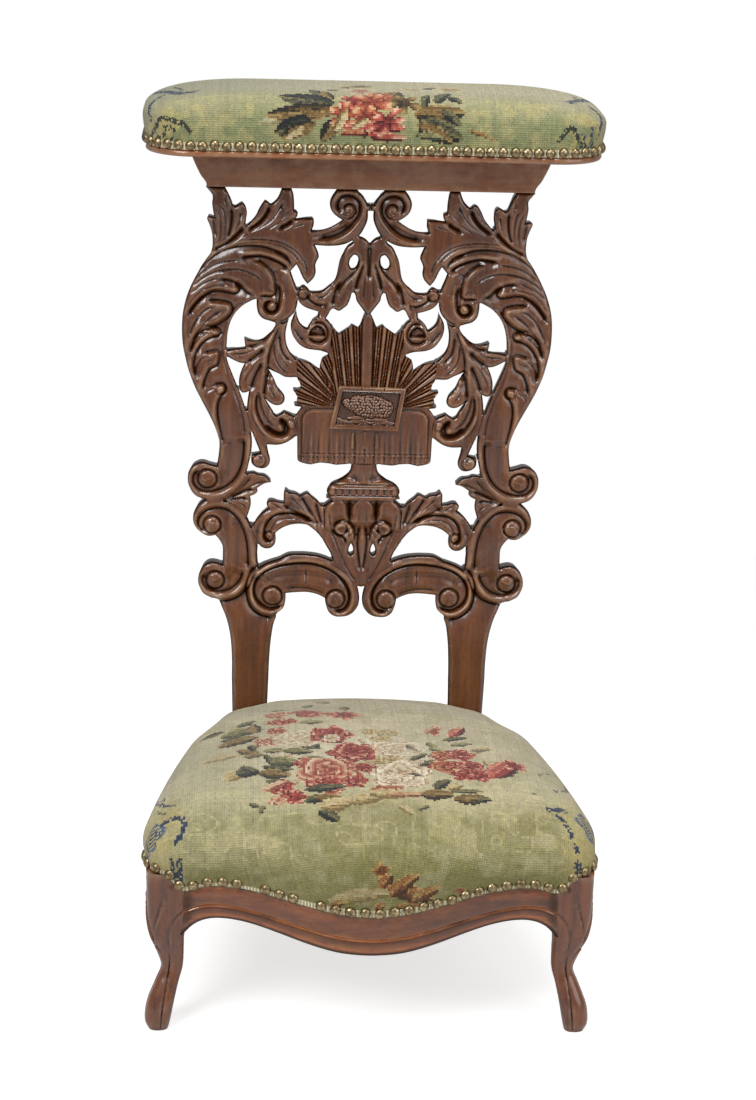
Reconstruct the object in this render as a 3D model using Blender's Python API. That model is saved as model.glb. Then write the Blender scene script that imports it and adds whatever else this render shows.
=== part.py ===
"""Prie dieu: a carved walnut kneeling chair with a padded armrest and a low padded seat.

Metres, +Z up, +X to the right of someone who faces the front, +Y away from them.
The origin is on the floor, below the middle of the outline box.
"""

import math

import bmesh
import bpy
from mathutils import Matrix, Vector

# Fits
FIT_GAP = 0.0003            # gap between wooden pieces that touch
SKIN_GAP = 0.0003           # gap between the cloth and what it covers
OVERRUN = 0.004             # how far a cutter runs past the wood it cuts
PERCENT = 100.0             # outline shares are written in hundredths
SHELL_LIMIT = 2.0           # most that a sharp corner of a cutter moves, over the gap

# Carved back: the pattern is drawn on a board that leans back
BACK_HALF_WIDTH = 0.200     # half width that the outline shares follow
FRET_HEIGHT = 0.500         # height that the outline shares follow
FRET_FOOT_Z = 0.300         # height of the feet of the arch scrolls
FRET_FOOT_Y = 0.1822        # front of the board at that height
BACK_RAKE = 0.045           # lean of the back, radians
POST_THICKNESS = 0.028
TOP_RAIL_THICKNESS = 0.028
FRET_THICKNESS = 0.022
FRET_SETBACK = 0.002        # fretwork lies this far behind the posts' front
PANEL_THICKNESS = 0.016
PLAQUE_THICKNESS = 0.008
OUTLINE_STEPS = 2           # straight runs that one curved stretch is drawn with

# Tenon of a back post in the top rail
POST_TENON_LENGTH = 0.018
POST_TENON_WIDTH = 0.010
POST_TENON_THICKNESS = 0.010
POST_TENON_SHARE = -81.5    # place along the rail, in hundredths of BACK_HALF_WIDTH

# Rear legs, below the carved part of the posts
REAR_LEG_TOP_WIDTH = 0.038
REAR_LEG_FOOT_WIDTH = 0.028
REAR_LEG_DEPTH = 0.027
REAR_LEG_TOP_Z = 0.290
REAR_LEG_SHARE = -59.7      # middle of the leg, in hundredths of BACK_HALF_WIDTH
REAR_FOOT_SPLAY = 0.034     # how far the foot stands behind the leg's waist
REAR_LEG_RINGS = 7

# Seat frame
SEAT_RAIL_TOP_Z = 0.172
SIDE_RAIL_HEIGHT = 0.050
SEAT_RAIL_THICKNESS = 0.026
FRONT_FACE_Y = -0.201       # front face of the seat rail beside the legs
FRONT_BOW = 0.030           # how far the front rail bows out at its middle
FRONT_BOW_HALF_WIDTH = 0.165
FRONT_RAIL_LOW_Z = 0.098    # underside of the front rail at its middle
FRONT_RAIL_HIGH_Z = 0.123   # underside of the front rail at the top of its arches
ARCH_HALF_WIDTH = 0.150
SIDE_FRONT_X = 0.217        # outer face of a side rail at the front leg
SIDE_REAR_REACH = 0.0196    # its outer face past the middle of the rear leg
SIDE_REAR_X = SIDE_REAR_REACH - REAR_LEG_SHARE / PERCENT * BACK_HALF_WIDTH
SIDE_FRONT_Y = -0.158
SIDE_REAR_Y = 0.1755
REAR_RAIL_FRONT_Y = 0.181
REAR_RAIL_THICKNESS = 0.022
REAR_RAIL_HEIGHT = 0.050
TENON_LENGTH = 0.016
TENON_THICKNESS = 0.009
TENON_HEIGHT = 0.028
CORNER_BLOCK_SIDE = 0.055
CORNER_BLOCK_HEIGHT = 0.028
CORNER_BLOCK_DROP = 0.006   # how far a corner block lies below the rails' top

# Front legs
LEG_BLOCK_HALF = 0.0215     # half side of the square block at the knee
LEG_OUTER_X = 0.219
LEG_FRONT_Y = -0.203
LEG_TOP_Z = 0.150
LEG_EAR_RISE = 0.018        # how far the ear at the corner rises above LEG_TOP_Z
LEG_SIDES = 16
LEG_SQUARENESS = 4.0        # exponent of the knee's rounded square
FOOT_SQUARENESS = 2.6

# Upholstery
CLOTH_THICKNESS = 0.0015
WEBBING_WIDTH = 0.050
WEBBING_THICKNESS = 0.0012
WEBBING_LONG_PITCH = 0.0625
WEBBING_CROSS_PITCH = 0.100
WEBBING_LANDING = 0.016     # how far a strip of webbing lies on a rail
HESSIAN_THICKNESS = 0.0010
SEAT_CROWN_Z = 0.240
SEAT_BULGE = 0.006          # how far the seat pad swells past its nailed edge
SEAT_FALL = 0.034           # how much lower the pad has settled at its rear edge
SEAT_FALL_START_Y = 0.040
NAIL_LOW_Z = 0.146          # nailed edge at the middle of the front
NAIL_HIGH_Z = 0.1645        # nailed edge above the arches and along the sides
NAIL_EAR_RISE = 0.0105      # and its rise over the ear of a front leg
EAR_START = 0.183
EAR_RUN = 0.018
COVER_TURN = 0.0065         # cloth below the middle of the nails
SEAT_BACK_Y = 0.203
SEAT_POINTS_SIDE = 8
SEAT_CORNER_POINTS = 6
SEAT_POINTS_FRONT = 13

# Armrest
ARM_HALF_WIDTH = 0.231
ARM_DEPTH = 0.136
ARM_CENTRE_Y = 0.187
ARM_CORNER = 0.046          # radius of the armrest's corners
ARM_BOARD_RISE = 0.012      # underside of the armrest board above the fretwork's top
ARM_BOARD_Z = FRET_FOOT_Z + FRET_HEIGHT + ARM_BOARD_RISE
ARM_BOARD_THICKNESS = 0.020
ARM_LIP_HEIGHT = 0.007      # moulded lip that shows below the cloth
ARM_LIP_REACH = 0.0028
ARM_PAD_HEIGHT = 0.065      # crown of the pad above the board's underside
ARM_CROWN_Z = ARM_BOARD_Z + ARM_PAD_HEIGHT
ARM_BULGE = 0.004
ARM_CORNER_POINTS = 5
ARM_LONG_POINTS = 6

# Brass nails and their trim
TRIM_GAP = 0.0013           # room for the trim's straight cells round a corner
TRIM_THICKNESS = 0.0012
TRIM_WIDTH = 0.0095
SEAT_NAIL_RADIUS = 0.0050
SEAT_NAIL_PITCH = 0.0142
ARM_NAIL_RADIUS = 0.0046
ARM_NAIL_PITCH = 0.0122
NAIL_RISE = 0.0030
NAIL_CROWN_SHARE = 0.7      # radius of a nail's flat crown over its own radius
ARM_NAIL_RISE = 0.012       # middle of the nails above the board's underside
ARM_NAIL_Z = ARM_BOARD_Z + ARM_NAIL_RISE

# Outlines of the left half of the back. Each point is a share of BACK_HALF_WIDTH and a
# share of FRET_HEIGHT above the arch scrolls' feet, in hundredths, and a third value of 1
# marks a sharp corner.
POST_SHARES = [
    (-86.5, 93.4, 1), (-85, 92.7), (-83, 91.6), (-83.2, 90), (-82, 87, 1), (-85.4, 87.2),
    (-85.7, 86.6, 1), (-83.5, 84.3), (-82.8, 82.4), (-83.5, 79.7), (-86, 78.2), (-91.8, 74.2),
    (-96.8, 69.2), (-98.5, 63.4), (-97, 57.8), (-91.5, 50.8), (-83.5, 44.6), (-78.5, 39.7),
    (-78, 37.4), (-79.3, 33.4, 1), (-83.2, 33.8), (-86.8, 34.2), (-90.3, 33.9), (-93.5, 32.8),
    (-94.8, 30.6), (-93.5, 28.4), (-90, 26.7), (-85.3, 26, 1), (-88.2, 25.1), (-90.7, 23.7),
    (-91.8, 21.7), (-90.7, 20), (-87.5, 18.6), (-83.5, 17.8), (-79.6, 18, 1), (-76, 16),
    (-75.5, 14), (-75.7, 11.4, 1), (-81, 11.9), (-85.3, 11.3), (-87.8, 9.8), (-88.8, 7.8),
    (-87.8, 6.2), (-85.3, 4.7), (-78, 3.4, 1), (-73.2, -0.8), (-70.3, -7), (-69.8, -14.4, 1),
    (-49.6, -14.4, 1), (-49.3, -9.8), (-47.8, -3), (-46, 0, 1), (-50, 6), (-56, 10.4, 1),
    (-56.8, 14.2), (-56.8, 16.6), (-59, 18.8), (-62.8, 22.2), (-66.8, 24.2), (-71.8, 25.4),
    (-75, 25.8, 1), (-70.3, 27.4), (-66.8, 29.4), (-63.5, 32), (-62.2, 34), (-60.7, 37.4),
    (-60.7, 39.7), (-63.2, 44.6), (-67.5, 49.7), (-72.8, 54.8), (-74.7, 57.2), (-74.7, 60),
    (-72.8, 64.8), (-66.8, 68.2), (-59.2, 70, 1), (-61, 74), (-64, 78), (-65.7, 85.1, 1),
    (-65.3, 87), (-65, 88.4), (-67.5, 90.2), (-71, 89.5), (-72.2, 89.7, 1), (-75, 92.3),
    (-77.3, 93.4, 1)]
CREST_SHARES = [
    (-65.7, 85.1, 1), (-60.3, 87.6), (-56.8, 90.3), (-55.3, 90.7), (-52.5, 90, 1), (-49, 91.4),
    (-47, 93.4, 1), (-41.8, 93.4, 1), (-40.7, 92.1), (-40.2, 88.9, 1), (-38.2, 88.4),
    (-39.6, 87, 1), (-31, 87.3), (-29.8, 87), (-30.8, 84.7, 1), (-26.8, 84.7), (-22.5, 85.1),
    (-18.2, 86), (-14.7, 87, 1), (-19.6, 88.4), (-21.6, 90.3), (-20.5, 92), (-18, 93.4, 1),
    (-8, 93.4, 1), (-4.7, 92.4), (-1.5, 90.4, 1), (-0.1, 90.4, 1), (-0.1, 89, 1), (-1.5, 89, 1),
    (-1.5, 87.3), (-3.2, 85.4), (-5.7, 83.8), (-9.7, 82.6), (-14.3, 81.8), (-19.6, 81.5),
    (-25.3, 81.5), (-29, 81.6, 1), (-27, 79.8), (-26.8, 79, 1), (-28.5, 77.4), (-28.2, 76),
    (-29.3, 74.6), (-32.5, 73.3, 1), (-35, 74.6), (-36.8, 76.2), (-38.5, 77.4, 1),
    (-41.5, 76, 1), (-39.7, 74), (-37.8, 72), (-37.5, 70), (-38.2, 68), (-40.3, 66.6),
    (-44, 65.4), (-47.5, 64.9), (-52.5, 65.3), (-56, 65.8), (-58.5, 67.1), (-59.2, 70, 1),
    (-61, 74), (-64, 78)]
PENDANT_SHARES = [
    (0, 82.1, 1), (-2.5, 83.1), (-6, 83.5), (-9.6, 82.2), (-12.1, 81.4), (-14, 80),
    (-15.7, 78.4), (-16.8, 76), (-18.2, 74.2), (-21.8, 72.8), (-25.3, 71.8), (-31, 71.7, 1),
    (-34, 72.9), (-37.2, 72.2), (-37.3, 70), (-35.3, 68.8), (-31.8, 68), (-26.5, 67.4, 1),
    (-26.8, 65.8, 1), (-22.5, 66), (-20, 67.7), (-18.5, 68.1), (-15.7, 67.6), (-13.2, 68.2),
    (-11, 69), (-9, 71.4, 1), (-7.8, 71.6), (-6.4, 70), (-3.2, 68.2), (0, 66.4, 1)]
PENDANT_HOLE_SHARES = [
    (-8.2, 79.7, 1), (-10.3, 78.6), (-9.6, 76.8), (-7.8, 76.8), (-6, 78.2), (-6.4, 79.4)]
HOOD_SHARES = [
    (-38, 67.2, 1), (-40.7, 65.1), (-40.3, 62.8), (-38.2, 61.2), (-34.7, 59.8), (-30.3, 59.2),
    (-25.3, 59), (-20.5, 58.4, 1), (-18, 60.8), (-18.5, 63.8), (-19.3, 64.4), (-21.8, 65.7),
    (-25.3, 66), (-29.7, 65.4), (-32.2, 63.7, 1), (-33.5, 64), (-36.5, 65.2)]
SUNBURST_SHARES = [
    (-2, 66.8, 1), (-5, 64, 1), (-8.5, 64.6), (-10, 64, 1), (-14, 63),
    (-15, 62.6, 1), (-19, 64, 1), (-20, 59.6), (-21, 58), (-24, 57.2), (-25, 54.8, 1),
    (-31, 56.4), (-37.5, 56.8, 1), (-37.2, 55.2), (-36.8, 52.8), (-35, 50.6), (-39, 50.3, 1),
    (-36.5, 48.8, 1), (-36.8, 47.6), (-32.8, 47, 1)]
ALTAR_SHARES = [
    (-32.8, 46.9, 1), (-35.3, 46), (-37.8, 44.4, 1), (-36.5, 42.6), (-36, 35.2),
    (-35, 34.5, 1), (-29, 34.1), (-23, 34.5), (-15, 34.1), (-6.8, 34.4, 1)]
PLAQUE_SHARES = [(-14.5, 51.6, 1), (21.2, 51.3, 1), (17.5, 42, 1), (-19.2, 42.4, 1)]
PEDESTAL_SHARES = [
    (-6.8, 34.3, 1), (-7.5, 32.6), (-10.3, 31.3), (-14, 30.4), (-17.2, 29.8),
    (-19.3, 28.8), (-19.6, 27.7), (-17.2, 26.4, 1)]
URN_SHARES = [
    (-15, 26.3, 1), (-17.5, 26), (-20.3, 25.1), (-21.8, 24.6, 1), (-21, 21),
    (-20.5, 16.8), (-17.5, 14.6), (-15.7, 12.8, 1), (-13, 10), (-7, 8), (0, 6.8, 1)]
URN_HOLE_SHARES = [(-6, 16.6, 1), (-7.2, 15.4), (-6, 14), (-4.8, 15.4)]
ACANTHUS_SHARES = [
    (-21.8, 24.6, 1), (-24, 25.7), (-27.5, 26.8), (-29.7, 27.6), (-31.8, 27.5), (-34, 27, 1),
    (-36, 27.5), (-39.7, 27.7), (-42.2, 28.2), (-43, 27.1), (-42.8, 25.4, 1), (-46, 25.6),
    (-49.3, 25.9), (-52.2, 25.3), (-51, 24.1, 1), (-54, 23.3), (-56.8, 22), (-59.3, 20.4),
    (-59.5, 18.8), (-57.5, 17.1), (-55.3, 15.7), (-51.8, 15.1), (-48.5, 15.6), (-47, 16.8),
    (-47.2, 18.6, 1), (-45.3, 19.3), (-41.8, 20.1), (-36.8, 20.6), (-31, 20.5), (-27.5, 19.8),
    (-24, 18.6), (-20.5, 16.8, 1), (-21, 21)]
SPANDREL_SHARES = [
    (-63.5, 31.7, 1), (-59.3, 32), (-56.8, 31.6), (-53.2, 31.3), (-50, 29.9, 1), (-53.2, 29.6),
    (-57.5, 28.5, 1), (-57.2, 27.7), (-61.2, 26.7, 1), (-60.7, 25.7), (-61, 24.3),
    (-62.5, 22.4, 1), (-66.8, 24.2), (-71.8, 25.4), (-74, 26, 1), (-70.3, 27.4), (-66.8, 29.4)]
DROP_SHARES = [
    (-59.7, 40, 1), (-56, 36.4, 1), (-60.7, 35.8, 1), (-60.7, 34.2), (-59.3, 33.4), (-56, 32.9),
    (-52.5, 33.2), (-50.7, 34.6), (-51.5, 36.2), (-52.5, 38), (-53, 39.2, 1)]
SIDE_LEAF_SHARES = [
    (-49, 65, 1), (-49.3, 64), (-53.2, 62), (-56.8, 61), (-61, 60.8), (-65.5, 61.2, 1),
    (-64.7, 59.3, 1), (-71, 59), (-74.8, 58.7, 1), (-74.8, 57.4, 1), (-68.2, 56.1),
    (-65, 55.9, 1), (-66.8, 54.3), (-68, 52), (-67.5, 50.3, 1), (-66, 49.5), (-62.5, 49.9, 1),
    (-63.5, 46.6), (-63.2, 44.6), (-61.8, 42.2), (-59.5, 40, 1), (-58.2, 39.7), (-54.7, 38.6),
    (-49.7, 38.2), (-45.3, 38.3), (-41, 39), (-36.5, 40.4, 1), (-36.5, 42.6), (-37.8, 44.4, 1),
    (-41.8, 45.3), (-44, 45.5), (-47.5, 44.6), (-49.7, 45.7), (-54, 48.4, 1), (-51, 47.4),
    (-47.5, 46.9), (-44.3, 47.4), (-43.4, 48.6), (-44.7, 49.7), (-47.5, 51), (-49.3, 52.6),
    (-52.5, 54.6, 1), (-46.8, 53.8), (-43.2, 53.1), (-36.5, 53.2, 1), (-37, 56.8, 1),
    (-40, 58), (-42.5, 59.7), (-43.5, 61.7), (-43.2, 63.7), (-42, 65.6, 1), (-45, 64.8)]
ARCH_SHARES = [
    (-48.2, 0), (-52.5, 0), (-56.8, 0.8), (-60.3, 2.7), (-61.7, 5), (-61, 7.2), (-59, 9.2),
    (-56, 10.7), (-51, 12), (-45.3, 12.8), (-40.3, 13.8), (-35.3, 14), (-27.5, 13.9),
    (-21, 13.4), (-15, 12.4), (-10.3, 11.3), (-6, 9.6), (-2.5, 7.3), (-1, 5.3), (-1, 3),
    (-2.5, 1.6), (-6, 0.3), (-10.3, -0.1), (-14.7, 0.1), (-17.8, 1.3), (-19.6, 4.1, 1),
    (-22.5, 4.7), (-27.5, 5.3), (-32.5, 5.4), (-41, 5.1, 1), (-41.8, 2.1), (-45.3, 0.7)]
TOP_RAIL_SHARES = [
    (-86, 93.5, 1), (-86.5, 94.4), (-89, 95.7), (-91, 97.2), (-92.8, 98.7),
    (-94.5, 100.6), (-95, 103.2, 1)]

# Rings of a front leg from the sole up: height, outward shift of the middle from the knee
# block's middle, and half side, as shares of LEG_TOP_Z, LEG_BLOCK_HALF and LEG_BLOCK_HALF.
LEG_RING_SHARES = [
    (0.0, 0.42, 0.47), (0.06, 0.45, 0.58), (0.2, 0.30, 0.62), (0.31, 0.05, 0.54),
    (0.41, -0.18, 0.50), (0.53, -0.10, 0.62), (0.66, 0.05, 0.80), (0.77, 0.02, 0.95),
    (0.88, 0.0, 1.0), (1.0, 0.0, 1.0)]

# Rings of the pads from the edge inward: how far in towards the middle and how far up
# between the edge and the crown, as shares of those distances.
PAD_RING_SHARES = [(0.05, 0.52), (0.13, 0.71), (0.26, 0.85), (0.45, 0.945), (0.70, 0.985)]


def clear_scene():
    """Remove what the file opens with."""
    for item in list(bpy.data.objects):
        bpy.data.objects.remove(item, do_unlink=True)


def make_collection(name):
    """Add a collection to the scene."""
    group = bpy.data.collections.new(name)
    bpy.context.scene.collection.children.link(group)
    return group


def make_material(name, colour, roughness, metallic):
    """Make a Principled material with one flat colour."""
    made = bpy.data.materials.new(name)
    made.use_nodes = True
    shader = made.node_tree.nodes["Principled BSDF"]
    shader.inputs["Base Color"].default_value = (*colour, 1.0)
    shader.inputs["Roughness"].default_value = roughness
    shader.inputs["Metallic"].default_value = metallic
    return made


clear_scene()
PARTS = make_collection("prie_dieu")
CUTTERS = make_collection("cutters")
WALNUT = make_material("walnut", (0.150, 0.052, 0.025), 0.38, 0.0)
WALNUT_DARK = make_material("walnut_dark", (0.075, 0.028, 0.015), 0.42, 0.0)
BEECH = make_material("beech", (0.430, 0.280, 0.150), 0.65, 0.0)
NEEDLEPOINT = make_material("needlepoint", (0.330, 0.310, 0.170), 0.95, 0.0)
LINEN = make_material("linen", (0.420, 0.340, 0.220), 0.95, 0.0)
HORSEHAIR = make_material("horsehair", (0.055, 0.040, 0.030), 0.95, 0.0)
BRASS = make_material("antique_brass", (0.340, 0.220, 0.110), 0.35, 1.0)


def refresh():
    """Bring every world matrix up to date."""
    bpy.context.view_layer.update()


def add_object(name, mesh, stuff, group=PARTS, frame=None):
    """Put a mesh in the scene as a named object."""
    made = bpy.data.objects.new(name, mesh)
    group.objects.link(made)
    made.data.materials.clear()
    made.data.materials.append(stuff)
    if frame is not None:
        made.parent = frame
    if group is CUTTERS:
        made.hide_render = True
        made.display_type = "WIRE"
    refresh()
    return made


def bake(target):
    """Replace an object's mesh with the shape that its modifiers give."""
    refresh()
    graph = bpy.context.evaluated_depsgraph_get()
    mesh = bpy.data.meshes.new_from_object(target.evaluated_get(graph))
    target.modifiers.clear()
    target.data = mesh


def combine(target, tool, operation):
    """Join a tool to a solid, cut it away or keep what both share."""
    step = target.modifiers.new("combine", "BOOLEAN")
    step.operation = operation
    step.solver = "EXACT"
    step.object = tool
    bake(target)


def grown_copy(source, gap):
    """Copy a solid into the cutters, swollen by a gap on every side."""
    mesh = source.data.copy()
    made = add_object("cutter_" + source.name, mesh, source.data.materials[0], CUTTERS)
    made.matrix_world = source.matrix_world.copy()
    shape = bmesh.new()
    shape.from_mesh(mesh)
    shape.normal_update()
    moves = [vertex.normal * gap * min(vertex.calc_shell_factor(), SHELL_LIMIT)
             for vertex in shape.verts]
    for vertex, move in zip(shape.verts, moves):
        vertex.co += move
    shape.to_mesh(mesh)
    shape.free()
    refresh()
    return made


def keep_largest_body(target):
    """Drop crumbs that a cut leaves beside the main body."""
    shape = bmesh.new()
    shape.from_mesh(target.data)
    left = set(shape.verts)
    bodies = []
    while left:
        body = set()
        front = [left.pop()]
        while front:
            vertex = front.pop()
            body.add(vertex)
            for edge in vertex.link_edges:
                other = edge.other_vert(vertex)
                if other in left:
                    left.remove(other)
                    front.append(other)
        bodies.append(body)
    bodies.sort(key=len)
    for body in bodies[:-1]:
        bmesh.ops.delete(shape, geom=list(body), context="VERTS")
    shape.to_mesh(target.data)
    shape.free()


def fit_around(target, neighbours, gap=FIT_GAP):
    """Cut a solid back so that it clears its neighbours by a gap."""
    for neighbour in neighbours:
        tool = grown_copy(neighbour, gap)
        combine(target, tool, "DIFFERENCE")
    keep_largest_body(target)


def box(name, low, high, stuff, group=PARTS, frame=None):
    """Make a box between two corners."""
    shape = bmesh.new()
    bmesh.ops.create_cube(shape, size=1.0)
    size = Vector(high) - Vector(low)
    middle = (Vector(high) + Vector(low)) / 2
    bmesh.ops.scale(shape, vec=size, verts=shape.verts)
    bmesh.ops.translate(shape, vec=middle, verts=shape.verts)
    mesh = bpy.data.meshes.new(name)
    shape.to_mesh(mesh)
    shape.free()
    return add_object(name, mesh, stuff, group, frame)


def flat_solid(name, loops, low, high, stuff, frame=None, group=PARTS):
    """Fill closed outlines, with later loops as holes, and extrude them from low to high."""
    curve = bpy.data.curves.new(name, "CURVE")
    curve.dimensions = "2D"
    curve.fill_mode = "BOTH"
    curve.extrude = (high - low) / 2
    for points in loops:
        spline = curve.splines.new("BEZIER")
        spline.bezier_points.add(len(points) - 1)
        spline.use_cyclic_u = True
        spline.resolution_u = OUTLINE_STEPS
        for knot, point in zip(spline.bezier_points, points):
            knot.co = (point[0], point[1], 0.0)
            kind = "VECTOR" if point[2] else "AUTO"
            knot.handle_left_type = kind
            knot.handle_right_type = kind
    drawn = bpy.data.objects.new(name + "_outline", curve)
    PARTS.objects.link(drawn)
    drawn.parent = frame
    drawn.location.z = (high + low) / 2
    refresh()
    graph = bpy.context.evaluated_depsgraph_get()
    mesh = bpy.data.meshes.new_from_object(drawn.evaluated_get(graph))
    shape = bmesh.new()
    shape.from_mesh(mesh)
    bmesh.ops.remove_doubles(shape, verts=shape.verts, dist=FIT_GAP / PERCENT)
    bmesh.ops.recalc_face_normals(shape, faces=shape.faces)
    shape.to_mesh(mesh)
    shape.free()
    made = add_object(name, mesh, stuff, group)
    made.matrix_world = drawn.matrix_world.copy()
    bpy.data.objects.remove(drawn, do_unlink=True)
    bpy.data.curves.remove(curve)
    refresh()
    return made


def loft(name, rings, stuff, group=PARTS, crown=None):
    """Skin closed rings of equally many points and close both ends, the last at a crown."""
    shape = bmesh.new()
    rows = [[shape.verts.new(point) for point in ring] for ring in rings]
    count = len(rings[0])
    for lower, upper in zip(rows, rows[1:]):
        for index in range(count):
            after = (index + 1) % count
            shape.faces.new((lower[index], lower[after], upper[after], upper[index]))
    shape.faces.new(list(reversed(rows[0])))
    if crown is None:
        shape.faces.new(rows[-1])
    else:
        point = shape.verts.new(crown)
        for first, second in zip(rows[-1], rows[-1][1:] + rows[-1][:1]):
            shape.faces.new((first, second, point))
    bmesh.ops.triangulate(shape, faces=[face for face in shape.faces if len(face.verts) > 4])
    bmesh.ops.recalc_face_normals(shape, faces=shape.faces)
    mesh = bpy.data.meshes.new(name)
    shape.to_mesh(mesh)
    shape.free()
    return add_object(name, mesh, stuff, group)


def outline(shares, side):
    """Turn outline shares into points, on the left or mirrored to the right."""
    points = []
    for entry in shares:
        across = -side * entry[0] / PERCENT * BACK_HALF_WIDTH
        up = entry[1] / PERCENT * FRET_HEIGHT
        points.append((across, up, len(entry) > 2))
    return points


def whole_outline(shares):
    """Mirror the left half of an outline; a point on the middle line is kept once."""
    left = outline(shares, -1)
    right = [(-x, y, sharp) for x, y, sharp in left if x != 0]
    return left + list(reversed(right))


SIDES = {"left": -1, "right": 1}

BACK_FRAME = bpy.data.objects.new("back_frame", None)
PARTS.objects.link(BACK_FRAME)
BACK_FRAME.location = (0.0, FRET_FOOT_Y, FRET_FOOT_Z)
BACK_FRAME.rotation_euler = (math.pi / 2 - BACK_RAKE, 0.0, 0.0)
refresh()


def board_y(height):
    """Front of the leaning board at a height."""
    return FRET_FOOT_Y + (height - FRET_FOOT_Z) * math.tan(BACK_RAKE)


def rear_leg(side):
    """The plain leg below a back post, straight to the seat and splayed below it."""
    middle = side * -REAR_LEG_SHARE / PERCENT * BACK_HALF_WIDTH
    rings = []
    for share in spread(0.0, 1.0, REAR_LEG_RINGS):
        height = REAR_LEG_TOP_Z * share
        width = REAR_LEG_FOOT_WIDTH + (REAR_LEG_TOP_WIDTH - REAR_LEG_FOOT_WIDTH) * share
        splay = REAR_FOOT_SPLAY * (1 - share) ** 2
        front = board_y(height) + splay + FIT_GAP
        back = front + REAR_LEG_DEPTH
        rings.append([
            (middle - width / 2, front, height), (middle + width / 2, front, height),
            (middle + width / 2, back, height), (middle - width / 2, back, height)])
    return loft("rear_leg", rings, WALNUT_DARK, CUTTERS)


def post_tenon(side, gap):
    """The tongue on top of a post, or with a gap the slot that takes it."""
    middle = -side * POST_TENON_SHARE / PERCENT * BACK_HALF_WIDTH
    foot = POST_SHARES[0][1] / PERCENT * FRET_HEIGHT
    low = (middle - POST_TENON_WIDTH / 2 - gap, foot - OVERRUN,
           -POST_THICKNESS / 2 - POST_TENON_THICKNESS / 2 - gap)
    high = (middle + POST_TENON_WIDTH / 2 + gap, foot + POST_TENON_LENGTH + gap,
            -POST_THICKNESS / 2 + POST_TENON_THICKNESS / 2 + gap)
    return box("post_tenon", low, high, WALNUT, CUTTERS, BACK_FRAME)


def back_post(name, side):
    """A carved post with its rear leg and its tenon."""
    made = flat_solid("back_post_" + name, [outline(POST_SHARES, side)],
                      -POST_THICKNESS, 0.0, WALNUT, BACK_FRAME)
    combine(made, rear_leg(side), "UNION")
    combine(made, post_tenon(side, 0.0), "UNION")
    return made


def top_rail():
    """The rail under the armrest, cut level where the armrest board lies on it."""
    made = flat_solid("top_rail", [whole_outline(TOP_RAIL_SHARES)],
                      -TOP_RAIL_THICKNESS, 0.0, WALNUT, BACK_FRAME)
    reach = BACK_HALF_WIDTH + OVERRUN
    level = ARM_BOARD_Z - FIT_GAP
    plane = box("level_cut", (-reach, 0.0, level), (reach, ARM_CENTRE_Y + ARM_DEPTH,
                level + ARM_BOARD_THICKNESS), WALNUT, CUTTERS)
    combine(made, plane, "DIFFERENCE")
    for side in SIDES.values():
        combine(made, post_tenon(side, FIT_GAP), "DIFFERENCE")
    return made


def fret(name, loops, thickness=FRET_THICKNESS, setback=FRET_SETBACK):
    """One carved piece of the fretwork."""
    return flat_solid(name, loops, -setback - thickness, -setback, WALNUT, BACK_FRAME)


def build_back():
    """Posts, top rail and every carved piece between them."""
    top_rail()
    posts = {name: back_post(name, side) for name, side in SIDES.items()}
    crests = {}
    arches = {}
    acanthus = {}
    leaves = {}
    for name, side in SIDES.items():
        crests[name] = fret("crest_scroll_" + name, [outline(CREST_SHARES, side)])
        arches[name] = fret("arch_scroll_" + name, [outline(ARCH_SHARES, side)])
        acanthus[name] = fret("acanthus_scroll_" + name, [outline(ACANTHUS_SHARES, side)])
        leaves[name] = fret("side_leaf_" + name, [outline(SIDE_LEAF_SHARES, side)])
        for piece in (crests, arches, acanthus, leaves):
            fit_around(piece[name], [posts[name]])
    holes = [outline(PENDANT_HOLE_SHARES, side) for side in SIDES.values()]
    pendant = fret("centre_pendant", [whole_outline(PENDANT_SHARES)] + holes)
    fit_around(pendant, crests.values())
    sunburst = fret("sunburst", [whole_outline(SUNBURST_SHARES)])
    fit_around(sunburst, [pendant])
    altar = fret("altar_cloth", [whole_outline(ALTAR_SHARES)], PANEL_THICKNESS)
    flat_solid("lamb_plaque", [outline(PLAQUE_SHARES, -1)], FIT_GAP - FRET_SETBACK,
               FIT_GAP - FRET_SETBACK + PLAQUE_THICKNESS, WALNUT, BACK_FRAME)
    fret("pedestal", [whole_outline(PEDESTAL_SHARES)])
    holes = [outline(URN_HOLE_SHARES, side) for side in SIDES.values()]
    urn = fret("urn", [whole_outline(URN_SHARES)] + holes)
    fit_around(urn, [*arches.values(), *acanthus.values()])
    for name, side in SIDES.items():
        hood = fret("hood_scroll_" + name, [outline(HOOD_SHARES, side)])
        fit_around(hood, [pendant, sunburst, crests[name]])
        fit_around(leaves[name], [crests[name], sunburst, altar, hood])
        spandrel = fret("spandrel_leaf_" + name, [outline(SPANDREL_SHARES, side)])
        fit_around(spandrel, [posts[name], acanthus[name]])
        drop = fret("drop_scroll_" + name, [outline(DROP_SHARES, side)])
        fit_around(drop, [posts[name], leaves[name]])
    return posts


def front_face(across):
    """Front face of the seat rail at a distance from the middle."""
    share = min(abs(across) / FRONT_BOW_HALF_WIDTH, 1.0)
    return FRONT_FACE_Y - FRONT_BOW * math.cos(math.pi / 2 * share) ** 2


def side_face(depth):
    """Outer face of a side rail at a distance behind its front end."""
    share = (depth - SIDE_FRONT_Y) / (SIDE_REAR_Y - SIDE_FRONT_Y)
    share = max(0.0, share)
    return SIDE_FRONT_X - (SIDE_FRONT_X - SIDE_REAR_X) * (share + share * share) / 2


def spread(low, high, count):
    """Evenly spaced values from low to high."""
    return [low + (high - low) * step / (count - 1) for step in range(count)]


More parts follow.
